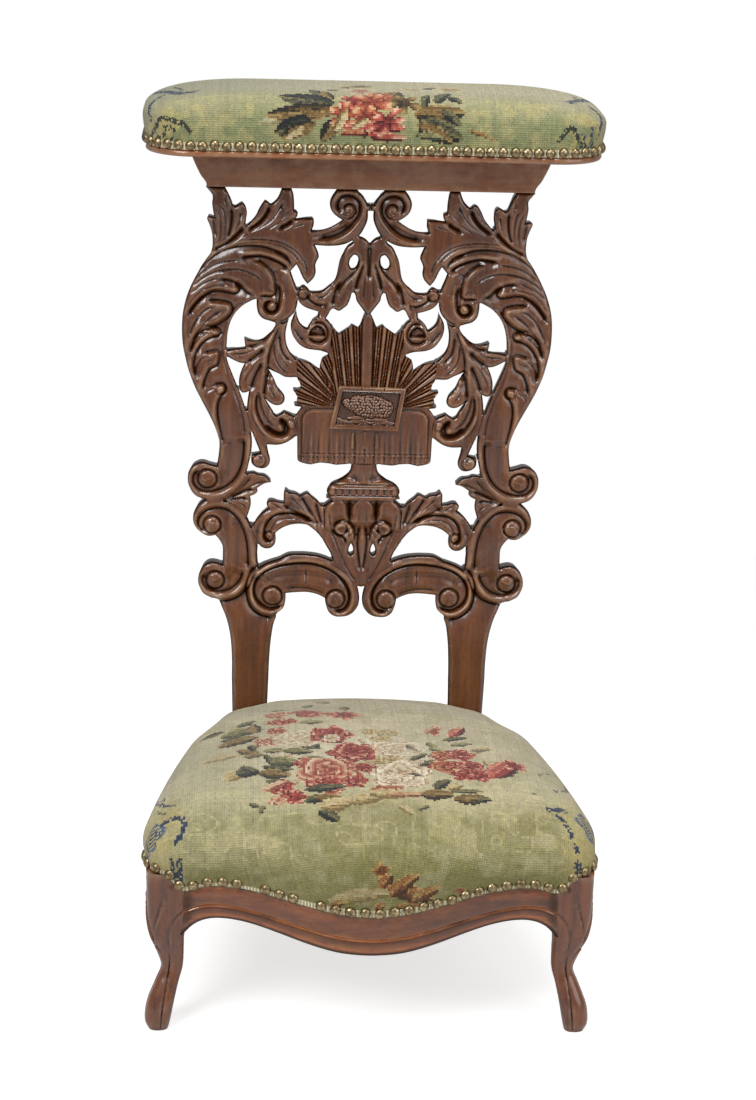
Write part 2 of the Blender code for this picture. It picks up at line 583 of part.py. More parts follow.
def front_marks():
    """Places across the front at which its curve is drawn."""
    return spread(-FRONT_RAIL_HALF, FRONT_RAIL_HALF, SEAT_POINTS_FRONT)


def side_marks():
    """Places along a side at which its curve is drawn."""
    return spread(SIDE_FRONT_Y, SIDE_REAR_Y, SEAT_POINTS_SIDE)


def plain_points(pairs, sharp=True):
    """Outline points without a mark, all sharp or all round."""
    return [(x, y, sharp) for x, y in pairs]


LEG_X = LEG_OUTER_X - LEG_BLOCK_HALF
LEG_Y = LEG_FRONT_Y + LEG_BLOCK_HALF
FRONT_RAIL_HALF = LEG_X - LEG_BLOCK_HALF - FIT_GAP
REAR_INNER_X = -REAR_LEG_SHARE / PERCENT * BACK_HALF_WIDTH - REAR_LEG_TOP_WIDTH / 2
TENON_Z = SEAT_RAIL_TOP_Z - SIDE_RAIL_HEIGHT / 2


def tenon(name, start, direction, gap):
    """A tenon from a rail's end, or with a gap its mortise."""
    along = Vector(direction)
    across = Vector((abs(along.y), abs(along.x), 0.0)) * (TENON_THICKNESS / 2 + gap)
    up = Vector((0.0, 0.0, TENON_HEIGHT / 2 + gap))
    first = Vector(start) - along * OVERRUN
    last = Vector(start) + along * (TENON_LENGTH + gap)
    low = Vector(map(min, first, last)) - across - up
    high = Vector(map(max, first, last)) + across + up
    return box(name, low, high, BEECH, CUTTERS)


def rail_joints():
    """Where each tenon starts and which way it goes, by rail and by the leg that takes it."""
    front_y = FRONT_FACE_Y + SEAT_RAIL_THICKNESS / 2
    side_x = SIDE_FRONT_X - SEAT_RAIL_THICKNESS / 2
    rear_x = SIDE_REAR_X - SEAT_RAIL_THICKNESS / 2
    rear_y = REAR_RAIL_FRONT_Y + REAR_RAIL_THICKNESS / 2
    joints = []
    for name, side in SIDES.items():
        leg = "front_leg_" + name
        post = "back_post_" + name
        rail = "side_rail_" + name
        joints.append(("front_rail", leg, (side * FRONT_RAIL_HALF, front_y, TENON_Z), (side, 0, 0)))
        joints.append((rail, leg, (side * side_x, SIDE_FRONT_Y, TENON_Z), (0, -1, 0)))
        joints.append((rail, post, (side * rear_x, SIDE_REAR_Y, TENON_Z), (0, 1, 0)))
        joints.append(("rear_rail", post, (side * REAR_INNER_X, rear_y, TENON_Z), (side, 0, 0)))
    return joints


def front_rail():
    """The front rail: its elevation cut out of its bowed plan."""
    marks = front_marks()
    front = [(x, front_face(x)) for x in marks]
    back = [(x, front_face(x) + SEAT_RAIL_THICKNESS) for x in reversed(marks)]
    plan = flat_solid("front_rail", [plain_points(front + back)], 0.0, SEAT_RAIL_TOP_Z, WALNUT)
    low = []
    for x in marks:
        share = min(abs(x) / ARCH_HALF_WIDTH, 1.0)
        low.append((x, FRONT_RAIL_LOW_Z + (FRONT_RAIL_HIGH_Z - FRONT_RAIL_LOW_Z)
                    * math.sin(math.pi / 2 * share) ** 2))
    below = [(FRONT_RAIL_HALF + OVERRUN, -OVERRUN), (-FRONT_RAIL_HALF - OVERRUN, -OVERRUN)]
    ends = [(-FRONT_RAIL_HALF - OVERRUN, low[0][1])] + low
    ends.append((FRONT_RAIL_HALF + OVERRUN, low[-1][1]))
    reach = -FRONT_FACE_Y + FRONT_BOW + OVERRUN
    tool = flat_solid("arch_cut", [plain_points(ends + below)], 0.0, reach, WALNUT,
                      group=CUTTERS)
    tool.matrix_world = Matrix.Rotation(math.pi / 2, 4, "X") @ tool.matrix_world
    refresh()
    combine(plan, tool, "DIFFERENCE")
    return plan


def side_rail(name, side):
    """A side rail, bowed in plan."""
    marks = side_marks()
    outer = [(side * side_face(y), y) for y in marks]
    inner = [(side * (side_face(y) - SEAT_RAIL_THICKNESS), y) for y in reversed(marks)]
    return flat_solid("side_rail_" + name, [plain_points(outer + inner)],
                      SEAT_RAIL_TOP_Z - SIDE_RAIL_HEIGHT, SEAT_RAIL_TOP_Z, WALNUT_DARK)


def rear_rail():
    """The straight rail between the rear legs."""
    return box("rear_rail",
               (-REAR_INNER_X, REAR_RAIL_FRONT_Y, SEAT_RAIL_TOP_Z - REAR_RAIL_HEIGHT),
               (REAR_INNER_X, REAR_RAIL_FRONT_Y + REAR_RAIL_THICKNESS, SEAT_RAIL_TOP_Z), BEECH)


def rounded_square(middle_x, middle_y, half, power, height):
    """Points round a rounded square; height is a function of the place."""
    ring = []
    for step in range(LEG_SIDES):
        turn = 2 * math.pi * (step + 0.5) / LEG_SIDES
        away_x = math.copysign(abs(math.cos(turn)) ** (2 / power), math.cos(turn))
        away_y = math.copysign(abs(math.sin(turn)) ** (2 / power), math.sin(turn))
        x = middle_x + half * away_x
        y = middle_y + half * away_y
        ring.append((x, y, height(x, y)))
    return ring


def ear_share(x, y):
    """0 at the inner side of a front leg's knee, 1 at its outer corner."""
    out_x = (abs(x) - EAR_START) / EAR_RUN
    out_y = (-y - EAR_START + LEG_OUTER_X + LEG_FRONT_Y) / EAR_RUN
    low = min(out_x, out_y)
    low = max(0.0, min(1.0, low))
    return low * low * (3 - 2 * low)


def front_leg(name, side):
    """A cabriole front leg with a turned out foot and an ear at the corner of its knee."""
    rings = []
    for height, shift, half in LEG_RING_SHARES:
        away = shift * LEG_BLOCK_HALF
        power = LEG_SQUARENESS if height > LEG_RING_SHARES[-3][0] else FOOT_SQUARENESS
        level = height * LEG_TOP_Z
        top = height == LEG_RING_SHARES[-1][0]

        def place(x, y, level=level, top=top):
            return level + (LEG_EAR_RISE * ear_share(x, y) if top else 0.0)

        ring = rounded_square(LEG_X + away, LEG_Y - away, half * LEG_BLOCK_HALF, power, place)
        rings.append([(side * x, y, z) for x, y, z in ring])
    return loft("front_leg_" + name, rings, WALNUT_DARK)


def mirrored_copy(source, name):
    """Copy a solid across the middle plane."""
    mesh = source.data.copy()
    made = add_object(name, mesh, source.data.materials[0])
    made.matrix_world = source.matrix_world.copy()
    shape = bmesh.new()
    shape.from_mesh(mesh)
    bmesh.ops.scale(shape, vec=(-1.0, 1.0, 1.0), verts=shape.verts)
    bmesh.ops.reverse_faces(shape, faces=shape.faces)
    shape.to_mesh(mesh)
    shape.free()
    return made


def corner_block(end, side, neighbours):
    """A three sided block glued in an inner corner of the seat frame."""
    if end == "front":
        x = side * (SIDE_FRONT_X - SEAT_RAIL_THICKNESS / 2)
        y = FRONT_FACE_Y + SEAT_RAIL_THICKNESS / 2
        ahead = 1
    else:
        x = side * (SIDE_REAR_X - SEAT_RAIL_THICKNESS / 2)
        y = REAR_RAIL_FRONT_Y + REAR_RAIL_THICKNESS / 2
        ahead = -1
    reach = CORNER_BLOCK_SIDE + SEAT_RAIL_THICKNESS
    points = [(x, y), (x - side * reach, y), (x, y + ahead * reach)]
    top = SEAT_RAIL_TOP_Z - CORNER_BLOCK_DROP
    made = flat_solid("corner_block_" + end + "_left", [plain_points(points)],
                      top - CORNER_BLOCK_HEIGHT, top, BEECH)
    fit_around(made, neighbours)
    mirrored_copy(made, "corner_block_" + end + "_right")


def build_frame(posts):
    """Rails, legs, their tenons and mortises, and the corner blocks."""
    made = {"front_rail": front_rail(), "rear_rail": rear_rail()}
    for name, side in SIDES.items():
        made["side_rail_" + name] = side_rail(name, side)
        made["front_leg_" + name] = front_leg(name, side)
        made["back_post_" + name] = posts[name]
        fit_around(made["side_rail_" + name],
                   [made["front_leg_" + name], made["back_post_" + name]])
        fit_around(made["rear_rail"], [made["back_post_" + name]])
        fit_around(made["front_rail"], [made["front_leg_" + name]])
    for rail, leg, start, direction in rail_joints():
        combine(made[rail], tenon("tenon", start, direction, 0.0), "UNION")
        combine(made[leg], tenon("mortise", start, direction, FIT_GAP), "DIFFERENCE")
    rail = made["side_rail_left"]
    corner_block("front", SIDES["left"], [made["front_leg_left"], made["front_rail"], rail])
    corner_block("rear", SIDES["left"], [made["back_post_left"], made["rear_rail"], rail])
    return made


def seat_loop():
    """The nailed edge of the seat in plan, from the left rear round the front and back."""
    half = [(REAR_INNER_X - FIT_GAP, SEAT_BACK_Y)]
    half += [(side_face(y), y) for y in reversed(side_marks())]
    for angle in spread(0.0, math.pi / 2, SEAT_CORNER_POINTS)[1:-1]:
        half.append((FRONT_RAIL_HALF + (SIDE_FRONT_X - FRONT_RAIL_HALF) * math.cos(angle),
                     SIDE_FRONT_Y - (SIDE_FRONT_Y - FRONT_FACE_Y) * math.sin(angle)))
    front = [(x, front_face(x)) for x in reversed(front_marks())]
    left = [(-x, y) for x, y in reversed(half)]
    return half + front + left


def nail_height(x, y):
    """Height of the seat's nailed edge."""
    level = NAIL_HIGH_Z
    if y < SIDE_FRONT_Y:
        share = min(abs(x) / ARCH_HALF_WIDTH, 1.0)
        level = NAIL_LOW_Z + (NAIL_HIGH_Z - NAIL_LOW_Z) * math.sin(math.pi / 2 * share) ** 2
    return level + NAIL_EAR_RISE * ear_share(x, y)


def arm_loop():
    """The armrest board's upper edge in plan."""
    points = []
    half_y = ARM_DEPTH / 2
    corners = [(1, 1, 0.0), (-1, 1, math.pi / 2), (-1, -1, math.pi), (1, -1, math.pi * 3 / 2)]
    for index, (way_x, way_y, start) in enumerate(corners):
        middle_x = way_x * (ARM_HALF_WIDTH - ARM_CORNER)
        middle_y = ARM_CENTRE_Y + way_y * (half_y - ARM_CORNER)
        for angle in spread(start, start + math.pi / 2, ARM_CORNER_POINTS):
            points.append((middle_x + ARM_CORNER * math.cos(angle),
                           middle_y + ARM_CORNER * math.sin(angle)))
        if index in (0, 2):
            ends = spread(middle_x, -middle_x, ARM_LONG_POINTS)[1:-1]
            points += [(x, middle_y + way_y * ARM_CORNER) for x in ends]
    return points


def loop_normals(loop):
    """Outward direction at each point of a closed loop that runs anticlockwise."""
    area = sum(a[0] * b[1] - a[1] * b[0] for a, b in zip(loop, loop[1:] + loop[:1]))
    turn = 1 if area > 0 else -1
    found = []
    for index, _ in enumerate(loop):
        before = loop[index - 1]
        after = loop[(index + 1) % len(loop)]
        along = Vector((after[0] - before[0], after[1] - before[1])).normalized()
        found.append((along.y * turn, -along.x * turn))
    return found


def ring_at(loop, normals, grow, height):
    """The loop moved out by a distance and lifted to a height."""
    ring = []
    for (x, y), (out_x, out_y) in zip(loop, normals):
        level = height(x, y) if callable(height) else height
        ring.append((x + out_x * grow, y + out_y * grow, level))
    return ring


def seat_fall(y):
    """How far the seat pad has settled between the rear posts."""
    share = (y - SEAT_FALL_START_Y) / (SEAT_BACK_Y - SEAT_FALL_START_Y)
    return SEAT_FALL * min(max(share, 0.0), 1.0)


def pad(name, loop, foot, edge, crown, bulge, shrink, stuff, group=PARTS, fall=None):
    """A domed cushion: upright foot, swollen edge and a crown, made smaller all round by shrink."""
    normals = loop_normals(loop)
    middle_x = sum(point[0] for point in loop) / len(loop)
    middle_y = (min(point[1] for point in loop) + max(point[1] for point in loop)) / 2
    skin = CLOTH_THICKNESS + SKIN_GAP - shrink
    top = crown - shrink
    rings = [ring_at(loop, normals, skin, foot), ring_at(loop, normals, skin, edge)]

    def settled(y, start, up):
        lower = fall(y) if fall else 0.0
        return start + (top - start - lower) * up

    def swell(x, y):
        start = edge(x, y) if callable(edge) else edge
        return settled(y, start, PAD_RING_SHARES[0][1] / 2)

    rings.append(ring_at(loop, normals, skin + bulge, swell))
    outer = ring_at(loop, normals, skin + bulge, edge)
    for inward, up in PAD_RING_SHARES:
        ring = []
        for x, y, start in outer:
            drawn_y = y + (middle_y - y) * inward
            ring.append((x + (middle_x - x) * inward, drawn_y,
                         settled(drawn_y, start, up)))
        rings.append(ring)
    return loft(name, rings, stuff, group, (middle_x, middle_y, top))


def armrest_board():
    """The board with a rounded lip below the cloth."""
    loop = arm_loop()
    normals = loop_normals(loop)
    lip_top = ARM_BOARD_Z + ARM_LIP_HEIGHT
    quarter = ARM_LIP_HEIGHT / 4
    levels = [(ARM_LIP_REACH / 2, ARM_BOARD_Z), (ARM_LIP_REACH, ARM_BOARD_Z + quarter),
              (ARM_LIP_REACH, lip_top - quarter), (ARM_LIP_REACH / 2, lip_top),
              (0.0, lip_top), (0.0, ARM_BOARD_Z + ARM_BOARD_THICKNESS)]
    rings = [ring_at(loop, normals, grow, height) for grow, height in levels]
    return loft("armrest_board", rings, WALNUT)


def build_armrest():
    """Board, stuffing, cover and nails of the armrest."""
    armrest_board()
    loop = arm_loop()
    board_top = ARM_BOARD_Z + ARM_BOARD_THICKNESS
    low = ARM_BOARD_Z + ARM_LIP_HEIGHT + FIT_GAP
    edge = board_top + CLOTH_THICKNESS
    pad("armrest_stuffing", loop, board_top + FIT_GAP, edge, ARM_CROWN_Z, ARM_BULGE,
        CLOTH_THICKNESS + 2 * SKIN_GAP, HORSEHAIR)
    cover = pad("armrest_cover", loop, low, edge, ARM_CROWN_Z, ARM_BULGE, 0.0, NEEDLEPOINT)
    inner = pad("armrest_cover_inside", loop, low - OVERRUN, edge, ARM_CROWN_Z, ARM_BULGE,
                CLOTH_THICKNESS, NEEDLEPOINT, CUTTERS)
    combine(cover, inner, "DIFFERENCE")
    path = ring_at(loop, loop_normals(loop), CLOTH_THICKNESS + SKIN_GAP + TRIM_GAP, ARM_NAIL_Z)
    nail_trim("armrest_nail_trim", path, loop_normals(loop), True, ARM_NAIL_RADIUS,
              ARM_NAIL_PITCH)


def walk(points, place):
    """The point of a path, and where it lies between two of its knots, at a distance."""
    gone = 0.0
    for index in range(len(points) - 1):
        run = (points[index + 1] - points[index]).length
        if gone + run >= place:
            break
        gone += run
    return index, min(1.0, (place - gone) / run)


def nail_trim(name, path, normals, closed, radius, pitch):
    """A flat trim round an edge with a raised nail head in every cell, in one piece."""
    points = [Vector(point) for point in path]
    outs = [Vector((out[0], out[1], 0.0)) for out in normals]
    if closed:
        points.append(points[0])
        outs.append(outs[0])
    length = sum((b - a).length for a, b in zip(points, points[1:]))
    count = round(length / pitch)
    up = Vector((0.0, 0.0, TRIM_WIDTH / 2))
    shape = bmesh.new()
    rows = []
    faces = []
    for cell in range(count if closed else count + 1):
        index, share = walk(points, length * cell / count)
        spot = points[index].lerp(points[index + 1], share)
        out = outs[index].lerp(outs[index + 1], share).normalized()
        far = spot + out * TRIM_THICKNESS
        rows.append([shape.verts.new(point) for point in (spot - up, spot + up, far + up,
                                                          far - up)])
        faces.append(out)
    last = len(rows) if closed else len(rows) - 1
    for cell in range(last):
        first = rows[cell]
        second = rows[(cell + 1) % len(rows)]
        for index in (0, 1, 3):
            after = (index + 1) % 4
            shape.faces.new((first[index], first[after], second[after], second[index]))
        nail_head(shape, (first[2], first[3], second[3], second[2]), faces[cell], radius)
    if not closed:
        shape.faces.new(rows[0])
        shape.faces.new(rows[-1])
    bmesh.ops.recalc_face_normals(shape, faces=shape.faces)
    mesh = bpy.data.meshes.new(name)
    shape.to_mesh(mesh)
    shape.free()
    return add_object(name, mesh, BRASS)


def nail_head(shape, corners, out, radius):
    """Raise a four sided nail head from one cell of the trim."""
    middle = sum((corner.co for corner in corners), Vector()) / len(corners)
    crown = []
    for corner in corners:
        away = (corner.co - middle).normalized() * radius * NAIL_CROWN_SHARE
        crown.append(shape.verts.new(middle + away + out * NAIL_RISE))
    for index in range(len(corners)):
        after = (index + 1) % len(corners)
        shape.faces.new((corners[index], corners[after], crown[after], crown[index]))
    shape.faces.new(crown)


def webbing():
    """Strips of webbing across the seat frame, in two layers."""
    level = SEAT_RAIL_TOP_Z + FIT_GAP
    half = WEBBING_WIDTH / 2
    rear_y = REAR_RAIL_FRONT_Y + WEBBING_LANDING
    for index, place in enumerate((-1, 0, 1)):
        x = place * WEBBING_LONG_PITCH
        front_y = front_face(x) + SEAT_RAIL_THICKNESS - WEBBING_LANDING
        box("webbing_long_%d" % (index + 1), (x - half, front_y, level),
            (x + half, rear_y, level + WEBBING_THICKNESS), LINEN)
    above = level + WEBBING_THICKNESS + FIT_GAP
    for index, place in enumerate((-1, 0, 1)):
        y = place * WEBBING_CROSS_PITCH
        x = side_face(y + half) - SEAT_RAIL_THICKNESS + WEBBING_LANDING
        box("webbing_cross_%d" % (index + 1), (-x, y - half, above),
            (x, y + half, above + WEBBING_THICKNESS), LINEN)
    return above + WEBBING_THICKNESS


def build_seat(frame):
    """Webbing, hessian, stuffing, cover and nails of the seat."""
    top = webbing()
    loop = seat_loop()
    normals = loop_normals(loop)
    posts = [frame["back_post_left"], frame["back_post_right"]]
    legs = [frame["front_leg_left"], frame["front_leg_right"]]
    rails = [frame["side_rail_left"], frame["side_rail_right"]]
    inset = -CLOTH_THICKNESS - SEAT_BULGE
    low = top + FIT_GAP
    sheet = [ring_at(loop, normals, inset, low),
             ring_at(loop, normals, inset, low + HESSIAN_THICKNESS)]
    hessian = loft("seat_hessian", sheet, LINEN)
    fit_around(hessian, posts)
    bottom = low + HESSIAN_THICKNESS + FIT_GAP

    def cloth_edge(x, y):
        return nail_height(x, y) - COVER_TURN

    def swell_start(x, y):
        return SEAT_RAIL_TOP_Z + COVER_TURN

    stuffing = pad("seat_stuffing", loop, bottom, swell_start, SEAT_CROWN_Z,
                   SEAT_BULGE, CLOTH_THICKNESS + 3 * SKIN_GAP, HORSEHAIR, fall=seat_fall)
    fit_around(stuffing, posts + legs)
    cover = pad("seat_cover", loop, cloth_edge, swell_start, SEAT_CROWN_Z, SEAT_BULGE, 0.0,
                NEEDLEPOINT, fall=seat_fall)
    inner = pad("seat_cover_inside", loop, FRONT_RAIL_LOW_Z, swell_start, SEAT_CROWN_Z,
                SEAT_BULGE, CLOTH_THICKNESS, NEEDLEPOINT, CUTTERS, fall=seat_fall)
    combine(cover, inner, "DIFFERENCE")
    fit_around(cover, posts + legs + rails)
    seat_nails(loop, normals)


def seat_nails(loop, normals):
    """The trim and nails along the sides and the front of the seat."""
    ahead = [index for index, point in enumerate(loop) if point[1] < SIDE_REAR_Y - TRIM_WIDTH]
    path = ring_at(loop, normals, CLOTH_THICKNESS + SKIN_GAP + TRIM_GAP, nail_height)
    nail_trim("seat_nail_trim", [path[i] for i in ahead], [normals[i] for i in ahead], False,
              SEAT_NAIL_RADIUS, SEAT_NAIL_PITCH)


def centre_on_floor():
    """Move the object so that the middle of its outline box is over the origin."""
    refresh()
    depths = []
    for piece in PARTS.objects:
        if piece.type == "MESH":
            depths += [(piece.matrix_world @ vertex.co).y for vertex in piece.data.vertices]
    shift = (min(depths) + max(depths)) / 2
    for piece in list(PARTS.objects) + list(CUTTERS.objects):
        if piece.parent is None:
            piece.location.y -= shift
    refresh()
    print("moved by", round(-shift, 5), "along Y")


seat_frame = build_frame(build_back())
build_armrest()
build_seat(seat_frame)
centre_on_floor()
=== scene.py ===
# %% [markdown]
# This lesson dresses a prie-dieu: a low kneeling chair with a padded armrest on a tall
# carved back. The solid parts are fixed, so every new piece takes its place from them. The
# wood is carved walnut, the pads are covered in needlepoint, and the cloth is held with
# brass nails. First we load the solid parts and keep the box that holds them.

# %% Load the fixed parts
import math

import bmesh
import bpy
import numpy as np
from mathutils import Matrix, Vector, geometry


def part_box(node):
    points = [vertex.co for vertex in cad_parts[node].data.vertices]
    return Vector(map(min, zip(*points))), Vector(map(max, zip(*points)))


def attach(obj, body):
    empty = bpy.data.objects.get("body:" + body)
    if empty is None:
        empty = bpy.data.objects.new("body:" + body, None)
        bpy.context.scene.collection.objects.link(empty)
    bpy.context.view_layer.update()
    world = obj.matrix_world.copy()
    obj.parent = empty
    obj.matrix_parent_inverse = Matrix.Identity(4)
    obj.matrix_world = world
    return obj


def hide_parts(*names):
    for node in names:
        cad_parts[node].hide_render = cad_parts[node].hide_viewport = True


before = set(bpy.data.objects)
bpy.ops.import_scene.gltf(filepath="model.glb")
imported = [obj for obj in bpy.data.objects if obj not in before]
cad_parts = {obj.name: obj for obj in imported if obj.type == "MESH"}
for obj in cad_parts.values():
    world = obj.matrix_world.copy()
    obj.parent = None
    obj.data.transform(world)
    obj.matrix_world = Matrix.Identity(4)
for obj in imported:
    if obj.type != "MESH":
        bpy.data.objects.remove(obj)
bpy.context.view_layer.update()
MM = 0.001
print("solid parts:", len(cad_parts))

# %% [markdown]
# The carver worked on flat boards that lean back a little. It is easiest to think as the
# carver did, on the board: u runs across, v runs up the board and w stands out from it, all
# in millimetres. One matrix takes board places to the room. The rear rail tells how far the
# whole chair was moved to stand over its middle, so nothing here drifts from the solids.

# %% The carver's board
REAR_RAIL_DRAWN_Y = 0.181
BOARD_FOOT_Y = 0.1822
BOARD_FOOT_Z = 0.300
BOARD_LEAN = 0.045
chair_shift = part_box("rear_rail")[0].y - REAR_RAIL_DRAWN_Y
board = (Matrix.Translation((0.0, BOARD_FOOT_Y + chair_shift, BOARD_FOOT_Z))
         @ Matrix.Rotation(math.pi / 2 - BOARD_LEAN, 4, "X")
         @ Matrix.Translation((0.0, -BOARD_FOOT_Z, 0.0))
         @ Matrix.Scale(MM, 4))
room_to_board = board.inverted()
print("the chair was moved by", round(chair_shift / MM, 2), "mm")

# %% [markdown]
# Some small tools are used all through. One selects only the pieces that it is given,
# because the loader leaves the solid parts selected. One turns a list of points and faces
# into an object. One draws a smooth line through given points, and one finds how far
# each place is from a line, on which side, and how far along. The rest count along a line,
# around a loop or over a grid, put a skin over rings, and mirror a shape.

# %% Small tools
def select_only(*objects):
    """Leave just these objects selected, the last one active."""
    bpy.ops.object.select_all(action="DESELECT")
    for chosen in objects:
        chosen.select_set(True)
        bpy.context.view_layer.objects.active = chosen


def new_object(name, points, faces):
    """Make a mesh object at the origin from points in metres and faces."""
    mesh = bpy.data.meshes.new(name)
    mesh.from_pydata([tuple(point) for point in points], [], faces)
    mesh.update()
    made = bpy.data.objects.new(name, mesh)
    bpy.context.scene.collection.objects.link(made)
    return made


def gone_along(line):
    """Length gone from the start of a line to each of its points."""
    return np.concatenate([[0], np.cumsum(np.linalg.norm(np.diff(line, axis=0), axis=1))])


def smooth_line(points, step, closed=False):
    """A smooth line through points, sampled about every step along its length."""
    knots = np.asarray(points, float)
    count = len(knots)
    spans = count if closed else count - 1
    dense = []
    for index in range(spans):
        if closed:
            before, here, after, last = (knots[(index + k) % count] for k in (-1, 0, 1, 2))
        else:
            before = knots[max(index - 1, 0)]
            here, after = knots[index], knots[index + 1]
            last = knots[min(index + 2, count - 1)]
        for share in np.linspace(0, 1, 9)[:-1]:
            square, cube = share * share, share ** 3
            dense.append(0.5 * (2 * here + (after - before) * share
                                + (2 * before - 5 * here + 4 * after - last) * square
                                + (3 * here - before - 3 * after + last) * cube))
    if not closed:
        dense.append(knots[-1])
    dense = np.array(dense)
    ring = np.vstack([dense, dense[:1]]) if closed else dense
    gone = gone_along(ring)
    pieces = max(2, int(round(gone[-1] / step)))
    marks = np.linspace(0, gone[-1], pieces + 1)
    if closed:
        marks = marks[:-1]
    return np.column_stack([np.interp(marks, gone, ring[:, axis])
                            for axis in range(ring.shape[1])])


def nearest_on(places, line, closed=False):
    """Distance of each place to a line, its side (+1 is left) and its share along."""
    ends = np.vstack([line, line[:1]]) if closed else line
    first, run = ends[:-1], np.diff(ends, axis=0)
    length = np.maximum((run ** 2).sum(1), 1e-12)
    gone = np.concatenate([[0], np.cumsum(np.sqrt(length))])
    distance, side, along = (np.zeros(len(places)) for _ in range(3))
    for start in range(0, len(places), 4000):
        part = places[start:start + 4000]
        away = part[:, None, :] - first[None]
        share = np.clip((away * run[None]).sum(2) / length, 0, 1)
        gap = away - share[:, :, None] * run[None]
        square = (gap ** 2).sum(2)
        best = square.argmin(1)
        rows = np.arange(len(part))
        distance[start:start + 4000] = np.sqrt(square[rows, best])
        turn = run[best, 0] * gap[rows, best, 1] - run[best, 1] * gap[rows, best, 0]
        side[start:start + 4000] = np.where(turn >= 0, 1.0, -1.0)
        along[start:start + 4000] = (gone[best] + share[rows, best] * np.sqrt(length[best])
                                     ) / gone[-1]
    return distance, side, along


def inside(places, loops):
    """Which places lie inside closed loops, with the loops inside them as holes."""
    within = np.zeros(len(places), bool)
    for loop in loops:
        for (x0, y0), (x1, y1) in zip(loop, np.roll(loop, -1, axis=0)):
            if y0 == y1:
                continue
            level = (places[:, 1] >= min(y0, y1)) & (places[:, 1] < max(y0, y1))
            across = x0 + (places[:, 1] - y0) * (x1 - x0) / (y1 - y0)
            within ^= level & (places[:, 0] < across)
    return within


def turns_left(loop):
    """Twice the area of a loop, negative where it runs clockwise."""
    after = np.roll(loop, -1, axis=0)
    return (loop[:, 0] * after[:, 1] - after[:, 0] * loop[:, 1]).sum()


def right_ways(loop):
    """Unit directions square to a closed line, on the right of its run."""
    run = np.roll(loop, -1, axis=0) - np.roll(loop, 1, axis=0)
    return np.column_stack([run[:, 1], -run[:, 0]]) / np.linalg.norm(run, axis=1)[:, None]


def squares(numbers):
    """The four corners of every square of a grid, from the grid of its point numbers."""
    return np.stack([numbers[:-1, :-1], numbers[:-1, 1:], numbers[1:, 1:], numbers[1:, :-1]],
                    -1).reshape(-1, 4)


def used_only(faces, count):
    """Which of some points the faces use, and the faces with these points numbered anew."""
    used = np.unique(faces)
    renumber = np.full(count, -1)
    renumber[used] = np.arange(len(used))
    return used, renumber[faces]


def tube(rings):
    """Points and faces of a closed skin over rings that have the same number of points."""
    wide = len(rings[0])
    points = [point for ring in rings for point in ring]
    faces = []
    for low in range(0, len(points) - wide, wide):
        high = low + wide
        for k in range(wide):
            after = (k + 1) % wide
            faces.append((low + k, low + after, high + after, high + k))
    faces.append(tuple(reversed(range(wide))))
    faces.append(tuple(range(len(points) - wide, len(points))))
    return points, faces


def mirrored(points, faces):
    """The same shape on the other side of the middle."""
    return [Vector((-p.x, p.y, p.z)) for p in points], [tuple(reversed(f)) for f in faces]


print("small tools ready")

# %% [markdown]
# The outlines of the fretwork are already right in the solid parts, where each piece was
# sawn from the board. We read the rim of each solid's front face, keep its sharp corners and
# round what lies between them. A corner is sharp where the rim turns by more than 48 degrees.

# %% Read the sawn outlines
OUTLINE_STEP = 1.0
SHARP_TURN = math.radians(48)


def sawn_outlines(name):
    """The rims of a solid's front face, in board millimetres."""
    shape = bmesh.new()
    shape.from_mesh(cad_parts[name].data)
    bmesh.ops.remove_doubles(shape, verts=shape.verts, dist=1e-6)
    places = {vert: room_to_board @ vert.co for vert in shape.verts}
    level = max(place.z for place in places.values())
    front = [face for face in shape.faces
             if all(abs(places[vert].z - level) < 0.05 for vert in face.verts)]
    held = set(front)
    follows = {}
    for face in front:
        for corner in face.loops:
            if sum(1 for other in corner.edge.link_faces if other in held) == 1:
                follows.setdefault(corner.vert, []).append(corner.link_loop_next.vert)
    loops = []
    while follows:
        start = next(iter(follows))
        chain, here = [], start
        while True:
            chain.append(places[here].xy)
            after = follows[here].pop()
            if not follows[here]:
                del follows[here]
            here = after
            if here is start:
                break
        loops.append(np.array(chain))
    shape.free()
    return loops


def rounded_outline(loop):
    """Smooth a rim between its sharp corners and sample it evenly."""
    ahead = np.roll(loop, -1, axis=0) - loop
    behind = loop - np.roll(loop, 1, axis=0)
    turn = np.abs(np.arctan2(behind[:, 0] * ahead[:, 1] - behind[:, 1] * ahead[:, 0],
                             (behind * ahead).sum(1)))
    sharp = np.flatnonzero(turn > SHARP_TURN)
    if len(sharp) == 0:
        return smooth_line(loop, OUTLINE_STEP, closed=True)
    runs = []
    for index, start in enumerate(sharp):
        end = sharp[(index + 1) % len(sharp)]
        if end <= start:
            end += len(loop)
        run = loop[np.arange(start, end + 1) % len(loop)]
        runs.append(smooth_line(run, OUTLINE_STEP)[:-1])
    return np.vstack(runs)


CARVED = ["back_post_left", "crest_scroll_left", "arch_scroll_left", "acanthus_scroll_left",
          "side_leaf_left", "hood_scroll_left", "spandrel_leaf_left", "drop_scroll_left",
          "centre_pendant", "sunburst", "altar_cloth", "pedestal", "urn"]
outlines = {}
for piece_name in CARVED:
    outlines[piece_name] = [rounded_outline(loop) for loop in sawn_outlines(piece_name)]
print("outlines read:", len(outlines), "with", sum(len(loop) for loops in outlines.values()
                                                 for loop in loops), "places")
